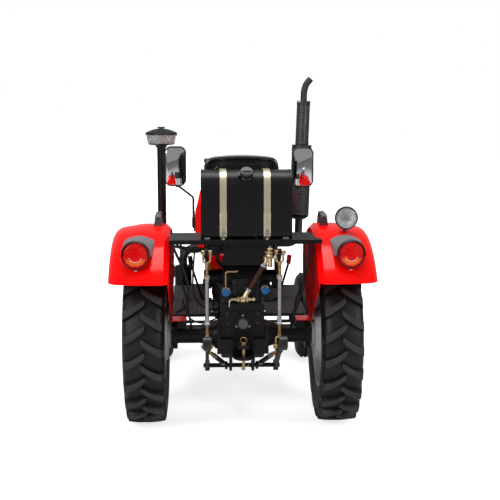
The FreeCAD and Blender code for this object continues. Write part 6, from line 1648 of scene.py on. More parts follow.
@dataclass
class LiftLinkage:
    """The three-point linkage: lift rods, lower links with their stays, top link and hitch pin."""

    shop: Workshop
    spacing: float = 0.205
    tube_half: float = 0.128
    nut_length: float = 0.0145
    lean: float = math.radians(31)
    top_y: float = -0.9545
    ball: tuple[float, float] = (-1.3245, 0.63)
    pivot: tuple[float, float] = (-0.7075, 0.352)

    def lift_rod(self, side: Side) -> None:
        """Shows one lift rod: plated forks, threaded ends, turnbuckle and lock nuts."""
        node = f"lift_rod_{side.label}"
        low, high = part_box(node)
        middle = (low.z + high.z) / 2
        centre = Vector(((low.x + high.x) / 2, (low.y + high.y) / 2, middle))
        pieces = Kit(self.shop)
        piece = pieces.add(YELLOW_ZINC, welded(node, f"{node}_bar"))
        reach, nut = self.tube_half, self.nut_length
        self.shop.zone(piece, THREADED_ZINC, lambda spot, _: reach + nut < abs(spot.z - middle) < reach + 0.075)
        self.shop.zone(piece, TUBE_STEEL, lambda spot, _: abs(spot.z - middle) < reach + 0.001)
        for way in (-1, 1):
            at = centre + Vector((0, 0, way * (reach + nut / 2)))
            pieces.add(SILVER_ZINC, rod(
                "lock_nut", at - Vector((0, 0, nut / 2)), at + Vector((0, 0, nut / 2)), 0.0185, sides=6, bevel=0.0012))
            pieces.add(SILVER_ZINC, rod(
                "tube_collar", centre + Vector((0, 0, way * (reach - 0.012))), centre + Vector((0, 0, way * reach)),
                0.0155, sides=32, bevel=0.0015))
            for number in range(14):
                height = reach + nut + 0.006 + number * 0.0052
                pieces.add(THREADED_ZINC, ring(
                    "thread", centre + Vector((0, 0, way * height)), (0, 0, 1), 0.0092, 0.0012, 20, 6))
        pieces.add(YELLOW_ZINC, rod(
            "grease_nipple", centre + Vector((0, -0.012, 0.05)), centre + Vector((0, -0.02, 0.05)), 0.004, 0.0025,
            sides=12, bevel=0.0006))
        pieces.stand_in(f"{node}_pieces", node, smoothed=True)

    def lower_link(self, side: Side) -> None:
        """Shows one lower link: black bar, steel balls, and the stay with its tube, nuts and yoke."""
        node = f"lower_link_{side.label}"
        pieces = Kit(self.shop)
        piece = pieces.add(LINK_BLACK, welded(node, f"{node}_bar"))
        inner, outer = 0.092, self.spacing - 0.016
        ball = Vector((0, *self.ball))

        def share(spot: Vector) -> float:
            """Returns how far along the stay a place is, from its inner eye."""
            return (abs(spot.x) - inner) / (outer - inner)

        for finish, first, last in (
                (YELLOW_ZINC, 0.09, 1.0), (SILVER_ZINC, 0.195, 0.245), (STAY_BROWN, 0.245, 0.695),
                (SILVER_ZINC, 0.695, 0.745)):
            self.shop.zone(
                piece, finish, lambda spot, _, first=first, last=last: abs(spot.x) < outer + 0.003
                and first < share(spot) <= last)
        self.shop.zone(piece, SILVER_ZINC, lambda spot, _: Vector((spot.y - ball.y, spot.z - ball.z)).length < 0.026)
        for across in (-0.021, 0.021):
            pieces.add(LINK_BLACK, ring(
                "ball_seat", (side.value * self.spacing + across, ball.y, ball.z), (1, 0, 0), 0.026, 0.0025, 40, 10))
        pivot_y, pivot_z = self.pivot
        start = Vector((side.value * inner, pivot_y, pivot_z))
        end = Vector((side.value * outer, pivot_y - 0.286, pivot_z + 0.151))
        step = end - start
        for number in range(11):
            at = start + step * (0.27 + number * 0.04)
            pieces.add(STAY_BROWN, ring("knurl", at, step, 0.0128, 0.0014, 24, 6))
        for place in (0.22, 0.72):
            at, way = start + step * place, step.normalized() * 0.0072
            pieces.add(SILVER_ZINC, rod("stay_nut", at - way, at + way, 0.0172, sides=6, bevel=0.0012))
        hook = end + Vector((side.value * 0.004, 0.01, 0.004))
        pieces.add(YELLOW_ZINC, ring("stay_shackle", hook, (1, 0.3, 0.2), 0.017, 0.0042, 32, 10))
        pieces.stand_in(f"{node}_pieces", node, smoothed=True)

    def along_top(self, distance: float) -> Vector:
        """Returns a place on the top link at a distance from its foot's pin."""
        low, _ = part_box("top_link")
        foot = Vector((low.x + 0.07, self.top_y, low.z + 0.021))
        return foot + Vector((math.sin(self.lean), 0, math.cos(self.lean))) * distance

    def top_link(self) -> None:
        """Shows the stowed top link: brown sleeve, plated ends, collars, ball eye and cross pin."""
        way = Vector((math.sin(self.lean), 0, math.cos(self.lean)))
        pieces = Kit(self.shop)
        pieces.add(PALE_ZINC, welded("top_link", "top_link_bar"))
        at = self.along_top
        pieces.add(SLEEVE_BROWN, rod("top_link_sleeve", at(0.07), at(0.222), 0.0172, sides=40, bevel=0.002))
        for number in range(24):
            pieces.add(SLEEVE_BROWN, ring("sleeve_rib", at(0.077 + number * 0.006), way, 0.0168, 0.0017, 28, 6))
        for start, end, radius, sides, finish in (
                (0.058, 0.071, 0.0205, 6, SILVER_ZINC), (0.221, 0.23, 0.0225, 40, SILVER_ZINC),
                (0.23, 0.243, 0.0195, 6, SILVER_ZINC), (0.262, 0.268, 0.026, 40, PALE_ZINC),
                (0.27, 0.276, 0.032, 40, PALE_ZINC), (0.0, 0.058, 0.0135, 32, PALE_ZINC)):
            pieces.add(finish, rod("top_link_collar", at(start), at(end), radius, sides=sides, bevel=0.0012))
        eye = at(0.3)
        stack = [
            (0, 0.056), (0.006, 0.056), (0.0075, 0.054), (0.0075, 0.044), (0.019, 0.044), (0.02, 0.042), (0.02, 0.034),
            (0.014, 0.033), (0.014, 0.029), (0.0295, 0.028), (0.031, 0.026), (0.031, 0.017), (0.0295, 0.015),
            (0.021, 0.014), (0.021, 0.008), (0.0275, 0.007), (0.0285, 0.005), (0.0285, -0.004), (0.027, -0.006),
            (0.0165, -0.009), (0.0135, -0.014), (0.0135, -0.062), (0.012, -0.066), (0, -0.066)]
        seat = eye + Vector((-0.002, -0.02, -0.002))
        pieces.add(PALE_ZINC, lathe("pin_stack", stack, seat, (0, 0, 1), 48, 30))
        foot = at(0.0)
        handle = [
            (foot.x - 0.06, foot.y, foot.z), (foot.x - 0.076, foot.y, foot.z),
            (foot.x - 0.078, foot.y - 0.002, foot.z - 0.006), (foot.x - 0.078, foot.y - 0.003, foot.z - 0.044)]
        pieces.add(PALE_ZINC, pipe("cross_pin_handle", handle, 0.0042))
        for across in (-0.036, 0.036, 0.062):
            pieces.add(PALE_ZINC, rod(
                "pin_collar", foot + Vector((across - 0.003, 0, 0)), foot + Vector((across + 0.003, 0, 0)), 0.0125,
                sides=32, bevel=0.001))
        pieces.stand_in("top_link_pieces", "top_link", smoothed=True)

    def hitch_pin(self) -> None:
        """Shows the drawbar pin with its wire ring and spring clip."""
        low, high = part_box("hitch_pin")
        x, y = (low.x + high.x) / 2, (low.y + high.y) / 2
        pieces = Kit(self.shop)
        pieces.add(YELLOW_ZINC, welded("hitch_pin", "hitch_pin_bar"))
        loop = ring("pin_loop", (x, y - 0.003, high.z + 0.013), (0.25, 1, 0.35), 0.018, 0.0022, 40, 8)
        clip_ring = ring("clip_ring", (x - 0.006, y - 0.012, low.z + 0.012), (0.2, 1, 0.1), 0.01, 0.0016, 32, 8)
        prong = pipe(
            "clip_prong", [(x + 0.004, y - 0.012, low.z + 0.014), (x + 0.01, y - 0.006, low.z + 0.02),
            (x + 0.016, y - 0.004, low.z + 0.014), (x + 0.024, y - 0.004, low.z + 0.02),
            (x + 0.03, y - 0.004, low.z + 0.03)], 0.0016, 8)
        pieces.add(YELLOW_ZINC, loop, clip_ring, prong)
        pieces.stand_in("hitch_pin_pieces", "hitch_pin", smoothed=True)

    def build(self) -> None:
        """Builds the whole linkage."""
        for side in Side:
            self.lift_rod(side)
            self.lower_link(side)
        self.top_link()
        self.hitch_pin()


@dataclass
class RearCase:
    """Fittings at the back of the transmission: take-off studs, coupler caps, cover bolts and hoses."""

    shop: Workshop

    def take_off(self) -> None:
        """Shows the power take-off with its plated studs and grey cap with hexagon flats."""
        pieces = Kit(self.shop)
        pieces.add(CAST_BLACK, welded("power_take_off", "take_off_body"))
        low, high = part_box("power_take_off")
        centre = Vector(((low.x + high.x) / 2, low.y, 0.663))
        pieces.add(
            CAP_GREY, lathe("take_off_cap", [(0, -0.001), (0.024, -0.001), (0.0275, 0.002), (0.03, 0.01),
            (0.0318, 0.012), (0.0318, 0.034)], centre, (0, 1, 0), 48),
            rod("cap_flats", centre + Vector((0, -0.0015, 0)), centre + Vector((0, 0.008, 0)), 0.021, sides=6,
            bevel=0.0015))
        pieces.stand_in("take_off_pieces", "power_take_off", smoothed=True)
        studs = circle_spots(centre + Vector((0, 0.052, 0)), (0, -1, 0), 0.041, 3, 90)
        Fasteners(self.shop, YELLOW_ZINC, "yellow_zinc").build("take_off_studs", "chassis", Fastener.NUT, studs, 0.0052)

    def bolts(self) -> None:
        """Bolts down the case covers, the axle housings and the lift cover."""
        low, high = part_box("lift_cover")
        spots = [
            ((across, low.y + along, high.z), (0, 0, 1)) for across in (low.x + 0.03, high.x - 0.04)
            for along in (0.12, 0.22, 0.33)]
        for along, places in (
                (low.y + 0.0115, ((-0.05, 0.84), (0.088, 0.84), (-0.05, 0.895), (0.088, 0.895))),
                (low.y - 0.0005, ((-0.115, 0.79), (-0.081, 0.79), (-0.115, 0.868), (0.116, 0.8), (0.135, 0.873))),
                (-0.9255, ((-0.09, 0.712), (0.09, 0.712), (-0.088, 0.655), (0.088, 0.655), (0, 0.712), (-0.045, 0.556),
                (0.045, 0.556)))):
            spots += [((across, along, height), (0, -1, 0)) for across, height in places]
        Fasteners(self.shop, BOLT_BLACK, "black_paint").build("case_bolts", "chassis", Fastener.BOLT, spots, 0.0075)

    def couplers(self) -> None:
        """Adds the plated rings, caps and pull tabs of the hydraulic couplers."""
        low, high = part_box("coupler_caps")
        pieces = Kit(self.shop)
        for across, height in ((low.x + 0.023, low.z + 0.023), (high.x - 0.023, high.z - 0.023)):
            at = Vector((across, low.y, height))
            pieces.add(BLUE_CAP, lathe(
                "dust_cap", [(0, 0.002), (0.012, 0.002), (0.013, 0.0005), (0.0205, 0.0005), (0.0228, 0.003),
                (0.0228, 0.0152)], at, (0, 1, 0), 48))
            pieces.add(BLUE_CAP, block(
                "pull_tab", (across + 0.02, at.y + 0.004, height - 0.006),
                (across + 0.031, at.y + 0.008, height + 0.006), 0.0018))
            pieces.add(YELLOW_ZINC, ring(
                "coupler_ring", at + Vector((0, 0.019, 0.004)), (0, 1, 0.12), 0.0215, 0.0026, 48, 10))
        pieces.stand_in("dust_cap_pieces", "coupler_caps", smoothed=True)

    def hoses(self) -> None:
        """Runs the ribbed hoses and looms, the stop cable and the red cap about the lift cover."""
        runs = {
            "left_hose": ([(-0.398, -0.9, 1.1), (-0.375, -0.915, 1.104), (-0.33, -0.925, 1.08), (-0.285, -0.92, 1.068),
            (-0.235, -0.9, 1.07), (-0.19, -0.86, 1.09)], 0.0088), "left_loom": (
            [(-0.398, -0.9, 1.115), (-0.392, -0.915, 1.085), (-0.365, -0.92, 1.03), (-0.335, -0.91, 0.965),
            (-0.308, -0.9, 0.86), (-0.303, -0.88, 0.77), (-0.33, -0.85, 0.725), (-0.38, -0.82, 0.7)], 0.0088),
            "left_return": ([(-0.155, -0.76, 0.7), (-0.225, -0.8, 0.715), (-0.275, -0.84, 0.77), (-0.29, -0.86, 0.86),
            (-0.284, -0.88, 0.95), (-0.275, -0.905, 1.062)], 0.0058),
            "low_loop": ([(-0.15, -0.8, 0.66), (-0.22, -0.86, 0.635), (-0.28, -0.88, 0.65), (-0.335, -0.86, 0.7),
            (-0.345, -0.82, 0.78)], 0.0048), "right_loom": ([(0.392, -0.9, 1.115), (0.384, -0.915, 1.05),
            (0.366, -0.9, 0.96), (0.356, -0.88, 0.86), (0.33, -0.84, 0.76), (0.3, -0.78, 0.66)], 0.0085),
            "cover_hose": ([(-0.112, -0.8, 0.965), (-0.15, -0.86, 1.01), (-0.15, -0.9, 1.05), (-0.122, -0.9, 1.1),
            (-0.1, -0.88, 1.14)], 0.0105),}
        pieces = Kit(self.shop)
        for name, (points, radius) in runs.items():
            pieces.add(BLACK_RUBBER, ribbed_hose(name, points, radius))
        pieces.add(BLACK_PLASTIC, pipe(
            "stop_cable", [(0.055, -1.008, 1.186), (0.07, -1.012, 1.166), (0.1, -1.01, 1.13), (0.128, -0.99, 1.096),
            (0.14, -0.975, 1.08)], 0.0018, 8))
        pieces.add(STRAP_ZINC, rod("cap_stem", (-0.108, -0.966, 1.061), (-0.124, -0.966, 1.061), 0.004))
        pieces.add(RED_GRIP, dome("red_cap", (-0.125, -0.967, 1.061), (0.009, 0.009, 0.009), steps=20))
        pieces.ride("rear_hoses", "chassis", "black_rubber")

    def build(self) -> None:
        """Builds the fittings."""
        self.take_off()
        self.bolts()
        self.couplers()
        self.hoses()


@dataclass
class Seat:
    """The seat: pressed back with its rolled rim, ribs and knob, stuffed cushion and pad, and piping."""

    shop: Workshop
    inset: float = 0.012
    cap: float = 0.024
    voxel: float = 0.006
    pressure: float = 4.0
    frames: int = 20
    back_foot: tuple[float, float] = (-0.6475, 1.012)
    back_slope: float = 0.1486
    pad_foot: tuple[float, float] = (-0.5585, 1.096)
    pad_slope: float = 0.1626
    arch_from: float = 1.45
    arch_drop: float = 0.02
    seam_reach: float = 0.018
    piping_height: float = 1.066

    def back_y(self, height: float) -> float:
        """Returns where the back's rear face is at a height."""
        return self.back_foot[0] - (height - self.back_foot[1]) * self.back_slope

    def frame_piece(self) -> None:
        """Shows the seat's pressed back with an arched, rolled rim."""
        _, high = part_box("seat_frame")

        def arched(corner: Vector) -> Vector:
            """Lowers the top edge towards the sides."""
            if corner.z > self.arch_from:
                share = (corner.z - self.arch_from) / (high.z - self.arch_from)
                corner.z -= self.arch_drop * share * (corner.x / high.x) ** 2
            return corner

        pieces = Kit(self.shop)
        pieces.add(BLACK_PLASTIC, reshape(welded("seat_frame", "seat_pan"), arched))
        half = high.x - 0.0125
        path = [
            (-half, 1.06), (-half, 1.25), (-half, 1.46), (-half, 1.565), (-half + 0.028, 1.586), (-0.12, 1.594),
            (0, 1.5985), (0.12, 1.594), (half - 0.028, 1.586), (half, 1.565), (half, 1.46), (half, 1.25), (half, 1.06)]
        rim = pipe("seat_rim", [(across, self.back_y(height) - 0.004, height) for across, height in path], 0.0145, 24)
        inner_half = half - 0.034
        inner = [
            (-inner_half, 1.09), (-inner_half, 1.5), (-inner_half + 0.02, 1.548), (-0.08, 1.556), (0.08, 1.556),
            (inner_half - 0.02, 1.548), (inner_half, 1.5), (inner_half, 1.09)]
        fold = pipe(
            "seat_fold", [(across, self.back_y(height) - 0.0005, height) for across, height in inner], 0.0035, 12)
        knob = dome("seat_knob", (-half + 0.002, self.back_y(1.56) + 0.05, 1.575), (0.016, 0.02, 0.016), steps=24)
        pieces.add(SEAT_SHELL, rim, fold, knob)
        for number in range(3):
            height = 1.2 + number * 0.1
            pieces.add(SEAT_SHELL, pipe(
                "back_rib", [(-0.13, self.back_y(height) - 0.001, height), (0, self.back_y(height) - 0.001, height),
                (0.13, self.back_y(height) - 0.001, height)], 0.0045, 10))
        pieces.stand_in("seat_frame_pieces", "seat_frame", smoothed=True)

    def stuffed(self, name: str, low: Vector, high: Vector) -> Piece:
        """Returns a swollen cushion that fills a box.

        Args:
            name: The piece's name.
            low: The box's lowest corner.
            high: The box's highest corner.

        Returns:
            The cushion, without seams.
        """
        margin = Vector((self.inset,) * 3)
        cushion = block(name, low + margin, high - margin, 0.022, 4)
        apply(cushion, "REMESH", mode="VOXEL", voxel_size=self.voxel)
        start = [corner.co.copy() for corner in cushion.data.vertices]
        activate(cushion)
        cloth = cushion.modifiers.new("Cloth", "CLOTH")
        cloth.settings.use_pressure = True
        cloth.settings.uniform_pressure_force = self.pressure
        cloth.settings.effector_weights.gravity = 0
        for number in range(1, self.frames + 1):
            bpy.context.scene.frame_set(number)
        bpy.ops.object.modifier_apply(modifier=cloth.name)
        bpy.context.scene.frame_set(1)
        for corner, place in zip(cushion.data.vertices, start):
            step = corner.co - place
            if step.length > self.cap:
                corner.co = place + step.normalized() * self.cap
        apply(cushion, "SUBSURF", levels=1, render_levels=1)
        spots = [corner.co for corner in cushion.data.vertices]
        least = Vector(min(spot[axis] for spot in spots) for axis in range(3))
        most = Vector(max(spot[axis] for spot in spots) for axis in range(3))

        def fitted(corner: Vector) -> Vector:
            """Scales the swollen form back into its box."""
            return Vector(
                low[axis] + (corner[axis] - least[axis]) / (most[axis] - least[axis]) * (high[axis] - low[axis])
                for axis in range(3))

        return smooth(reshape(cushion, fitted), 60)

    def channels(self, piece: Piece, places: Sequence[float], axis: int, facing: int, depth: float) -> Piece:
        """Presses sewn channels into a cushion's face.

        Args:
            piece: The cushion.
            places: Where the channels run, along the given axis.
            axis: The axis that the places are measured on.
            facing: The axis that the cushion's face looks along.
            depth: Depth of a channel.

        Returns:
            The cushion.
        """
        middle = sum(corner.co[facing] for corner in piece.data.vertices) / len(piece.data.vertices)

        def pressed(corner: Vector) -> Vector:
            """Lowers a corner near a seam."""
            if corner[facing] > middle:
                for place in places:
                    gap = abs(corner[axis] - place)
                    if gap < self.seam_reach:
                        corner[facing] -= depth * (1 - gap / self.seam_reach) ** 2
            return corner

        return reshape(piece, pressed)

    def cushions(self) -> None:
        """Builds the cushion and the back pad, with their channels and piping."""
        low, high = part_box("seat_cushions")
        seat = self.stuffed("seat_cushion", Vector((low.x, -0.5825, 1.0135)), Vector((high.x, high.y, 1.0895)))
        self.channels(seat, (-0.42, -0.34), 1, 2, 0.006)
        self.channels(seat, (-0.12, 0.12), 0, 2, 0.005)
        pad = self.stuffed("seat_pad", Vector((low.x, -0.054, 1.098)), Vector((high.x, 0.0, high.z - 0.001)))
        self.channels(pad, (1.22, 1.34, 1.46), 2, 1, 0.006)
        self.channels(pad, (-0.12, 0.12), 0, 1, 0.005)

        def leaned(corner: Vector) -> Vector:
            """Leans the upright pad back with the seat's back."""
            lean = (corner.z - self.pad_foot[1]) * self.pad_slope
            return Vector((corner.x, corner.y + self.pad_foot[0] - lean, corner.z))

        reshape(pad, leaned)
        half, front, rear = high.x - 0.006, high.y - 0.006, -0.5765
        corner = 0.03
        loop = [
            (-half + corner, front), (half - corner, front), (half, front - corner), (half, rear + corner),
            (half - corner, rear), (-half + corner, rear), (-half, rear + corner), (-half, front - corner)]
        piping = pipe(
            "cushion_piping", [(across, along, self.piping_height) for across, along in loop], 0.0028, 10, closed=True,
            straight=True)
        for name, parts, nodes in (
                ("seat_cushion_pieces", (seat, piping), ("seat_cushions",)), ("seat_pad_pieces", (pad,), ())):
            whole = join(name, [self.shop.dress(part, VINYL) for part in parts])
            self.shop.book(whole, "chassis", "seat_vinyl", *nodes)

    def build(self) -> None:
        """Builds the seat."""
        self.frame_piece()
        self.cushions()


@dataclass
class Bodywork:
    """The fenders, the tank's shelf and the grab handles with their small features."""

    shop: Workshop
    hole: float = 0.0035
    radius: float = 0.67
    inner: float = 0.582
    width: float = 0.175
    fall: float = 0.03

    def fender(self, side: Side) -> None:
        """Shows one fender with its holes as black discs of painted shade, its inner face in a darker red as painted
        shade, and the tab under its lamp.
        """
        node = f"fender_{side.label}"
        pieces = Kit(self.shop)
        piece = pieces.add(RED_PAINT, welded(node, f"{node}_sheet", 28))
        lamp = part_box("tail_lamps")[1]
        lamp_x = side.value * (lamp.x - TAIL_LAMP_RADIUS)
        for across in (-0.052, 0.052):
            found = landed(node, (lamp_x + across, -1.6, 1.178), (0, 1, 0))
            if found:
                at, out = found
                # Each hole is a thin black disc: painted shade inside the hole.
                pieces.add(BLACK_PLASTIC, rod("fender_hole", at - out * 0.001, at + out * 0.0008, self.hole, sides=16))
        # Faces that look inwards get the darker red: painted shade.
        self.shop.zone(piece, PAINTED_SHADE_RED, lambda spot, normal: normal.x * side.value < -0.9)
        pieces.stand_in(f"{node}_pieces", node)
        height = lamp.z - TAIL_LAMP_RADIUS - 0.088
        along = self.crown_y(height, abs(lamp_x))
        tab = block(
            "lamp_tab", (lamp_x - 0.008, along - 0.004, height - 0.003),
            (lamp_x + 0.008, along + 0.006, height + 0.003), 0.001)
        self.shop.book(self.shop.dress(tab, STRAP_ZINC), "chassis", "strap_zinc")

    def crown_y(self, height: float, across: float) -> float:
        """Returns where the fender's rear surface is at a height and a distance from the centre plane."""
        radius = self.radius - max(0.0, (across - self.inner) / self.width) * self.fall
        return REAR_AXLE_Y - math.sqrt(radius ** 2 - (height - REAR_AXLE_Z) ** 2)

    def shelf(self) -> None:
        """Shows the shelf with black discs of painted shade for the holes near its ends, and its edges and underside
        painted black as shade.
        """
        low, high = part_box("tank_shelf")
        pieces = Kit(self.shop)
        piece = pieces.add(SHELF_GREY, welded("tank_shelf", "shelf_sheet"))
        for across in (low.x + 0.034, low.x + 0.11, high.x - 0.034, high.x - 0.13):
            # Black discs: painted shade inside the holes.
            pieces.add(
                BLACK_PLASTIC, rod("shelf_hole", (across, -0.99, high.z - 0.001), (across, -0.99, high.z + 0.0006),
                0.006, sides=20), rod("shelf_hole", (across, -0.79, high.z - 0.001), (across, -0.79, high.z + 0.0006),
                0.006, sides=20))
        # Faces below the top that don't look up are painted black as shade.
        self.shop.zone(piece, BLACK_PAINT, lambda spot, normal: normal.z < 0.5 and spot.z < high.z - 0.002)
        pieces.stand_in("shelf_pieces", "tank_shelf")

    def handles(self) -> None:
        """Shows the grab handles with a black disc of painted shade for the hole in each."""
        pieces = Kit(self.shop)
        pieces.add(HANDLE_GREY, welded("fender_handles", "handle_bodies"))
        low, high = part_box("fender_handles")
        for side in Side:
            across = side.value * (high.x - 0.0246)
            # Black disc: painted shade inside the handle's hole.
            pieces.add(BLACK_PLASTIC, rod(
                "handle_hole", (across, low.y - 0.0006, high.z - 0.026), (across, low.y + 0.004, high.z - 0.026),
                0.0065, sides=20))
        pieces.stand_in("handle_pieces", "fender_handles")

    def build(self) -> None:
        """Builds the bodywork."""
        for side in Side:
            self.fender(side)
        self.shelf()
        self.handles()


@dataclass
class Wheels:
    """The rims with their nuts, hub caps and valves.

    Each end's numbers are the nuts, the radius of their circle, a nut's radius and the hub cap's.
    """

    shop: Workshop
    rear: tuple[int, float, float, float] = (10, 0.066, 0.0125, 0.034)
    front: tuple[int, float, float, float] = (5, 0.058, 0.0105, 0.024)

    def rim(self, end: str, side: Side, nuts: int, nut_ring: float, nut: float, cap: float) -> None:
        """Shows one rim and adds its nuts, cap and valve.

        Args:
            end: Which axle, "rear" or "front".
            side: Which side.
            nuts: Number of wheel nuts.
            nut_ring: Radius of their circle.
            nut: Radius of a nut.
            cap: Radius of the hub cap.
        """
        node, body = f"{end}_rim_{side.label}", f"{end}_wheel_{side.label}"
        low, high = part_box(node)
        centre = (low + high) / 2
        out = Vector((side.value, 0, 0))
        far = centre + out * 0.5
        skin = self.shop.skin(node, RIM_PAINT)
        if end == "rear":
            inner = min(abs(low.x), abs(high.x)) + 0.086

            def eased(corner: Vector) -> Vector:
                """Thins the axle shaft by a hair where it turns in the housing."""
                radial = Vector((0, corner.y - centre.y, corner.z - centre.z))
                if radial.length < 0.027 and abs(corner.x) < inner:
                    return corner - radial * 0.02
                return corner

            reshape(skin, eased)
        spots = [landed(node, at, -out) for at, _ in circle_spots(far, out, nut_ring, nuts, 18)]
        found = [(spot, out) for spot, _ in filter(None, spots)]
        Fasteners(self.shop, SILVER_ZINC, "silver_zinc").build(
            f"{end}_nuts_{side.label}", body, Fastener.NUT, found, nut)
        hub = Vector((landed(node, far, -out)[0].x, centre.y, centre.z))
        lid = lathe(
            "hub_cap", [(cap, -0.003), (cap, 0.001), (cap * 0.93, 0.0028), (cap * 0.6, 0.0035), (0, 0.0035)], hub, out,
            48)
        pieces = Kit(self.shop)
        pieces.add(CAP_GREY, lid)
        valve_ring = (high.z - low.z) / 2 - 0.052
        found_valve = landed(node, far + Vector((0, 0, valve_ring)), -out)
        if found_valve:
            seat = found_valve[0]
            pieces.add(BLACK_RUBBER, rod("valve", seat - out * 0.002, seat + out * 0.02, 0.0042, 0.0034, 16, 0.0006))
            pieces.add(YELLOW_ZINC, rod(
                "valve_cap", seat + out * 0.018, seat + out * 0.027, 0.0044, sides=12, bevel=0.0008))
        pieces.ride(f"{end}_hub_{side.label}", body, "rim_paint")

    def build(self) -> None:
        """Builds all four rims."""
        for side in Side:
            self.rim("rear", side, *self.rear)
            self.rim("front", side, *self.front)


@dataclass
class Front:
    """The hood's side panels, latches, headlamps and grille."""

    shop: Workshop
    lamp_across: float = 0.135
    lamp_height: float = 1.118
    louvres: int = 8

    def headlamps(self) -> None:
        """Shows the headlamps with fluted lenses and bright rings."""
        low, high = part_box("headlamps")
        pieces = Kit(self.shop)
        piece = pieces.add(CHROME, welded("headlamps", "headlamp_bodies"))
        self.shop.zone(piece, FLUTED_GLASS, lambda spot, normal: normal.y > 0.5)
        radius = (high.z - low.z) / 2
        for side in Side:
            at = Vector((side.value * self.lamp_across, high.y - 0.006, self.lamp_height))
            pieces.add(CHROME, ring("headlamp_ring", at, (0, 1, 0), radius - 0.0025, 0.0038, 72, 12))
            pieces.add(FLUTED_GLASS, dome("lens_boss", at + Vector((0, 0.0045, 0)), (0.013, 0.002, 0.013), steps=24))
        pieces.stand_in("headlamp_pieces", "headlamps", smoothed=True)

    def panel_face(self, side: Side, along: float, height: float) -> tuple[Vector, Vector]:
        """Returns a place on a side panel and its way out."""
        found = landed("hood_side_panels", (side.value * 0.6, along, height), (-side.value, 0, 0))
        return found or (Vector((side.value * 0.27, along, height)), Vector((side.value, 0, 0)))

    def panels(self) -> None:
        """Shows the side panels with pressed louvres and screws."""
        pieces = Kit(self.shop)
        pieces.add(PANEL_GREY, welded("hood_side_panels", "panel_sheets"))
        spots = []
        for side in Side:
            for number in range(self.louvres):
                at, out = self.panel_face(side, 0.3 + number * 0.027, 1.078)
                # A black block under each lip: painted shade inside the louvre.
                shade = seated(block("louvre_slot", (-0.009, -0.021, 0), (0.006, 0.021, 0.0006)), at, out)
                lip = dome("louvre_lip", (0, 0, 0), (0.0085, 0.022, 0.0042), steps=16)
                pieces.add(BLACK_PLASTIC, shade)
                pieces.add(PANEL_GREY, seated(lip, at, out))
            for along in (0.215, 0.62, 0.99):
                spots.append(self.panel_face(side, along, 1.052))
        pieces.stand_in("side_panel_pieces", "hood_side_panels", smoothed=True)
        Fasteners(self.shop, SILVER_ZINC, "silver_zinc").build(
            "panel_screws", "hood_body", Fastener.SCREW, spots, 0.006)

    def latches(self) -> None:
        """Adds an over-centre latch with a ring pull on each side of the hood."""
        for side in Side:
            at, _ = self.panel_face(side, 0.214, 1.11)
            edge = at.x + side.value * 0.001
            out = side.value
            low, high = sorted((edge, edge + out * 0.004)), sorted((edge + out * 0.004, edge + out * 0.016))
            plate = block("latch_plate", (low[0], 0.198, 1.084), (low[1], 0.232, 1.18), 0.0012)
            lever = block("latch_lever", (high[0], 0.205, 1.098), (high[1], 0.225, 1.16), 0.003)
            pull = ring("latch_ring", (edge + out * 0.012, 0.215, 1.172), (1, 0.2, 0), 0.0125, 0.0028, 32, 10)
            pivot = rod("latch_pivot", (edge, 0.215, 1.15), (edge + out * 0.019, 0.215, 1.15), 0.0048, bevel=0.001)
            pad = block("latch_pad", (high[0], 0.203, 1.046), (high[1], 0.227, 1.088), 0.004)
            pieces = Kit(self.shop)
            pieces.add(SILVER_ZINC, plate, lever, pull, pivot)
            pieces.add(BLACK_RUBBER, pad)
            pieces.ride(f"hood_latch_{side.label}", "hood_body", "silver_zinc")

    def grille(self) -> None:
        """Shows the grille with its screws and upright wires behind its bars."""
        low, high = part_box("grille")
        pieces = Kit(self.shop)
        pieces.add(BLACK_PLASTIC, welded("grille", "grille_bars"))
        behind = low.y + 0.0015
        for number in range(33):
            across = low.x + 0.016 + number * (high.x - low.x - 0.032) / 32
            pieces.add(BLACK_PLASTIC, rod(
                "mesh_wire", (across, behind, low.z + 0.012), (across, behind, high.z - 0.012), 0.0009, sides=6))
        for across in (low.x + 0.007, high.x - 0.007):
            for height in (low.z + 0.01, (low.z + high.z) / 2, high.z - 0.01):
                pieces.add(SILVER_ZINC, lathe(
                    "grille_screw", [(0.0045, 0), (0.0045, 0.0012), (0.003, 0.0024), (0, 0.0028)],
                    (across, high.y, height), (0, 1, 0), 16))
        pieces.stand_in("grille_pieces", "grille", smoothed=True)

    def build(self) -> None:
        """Builds the front."""
        self.headlamps()
        self.panels()
        self.latches()
        self.grille()


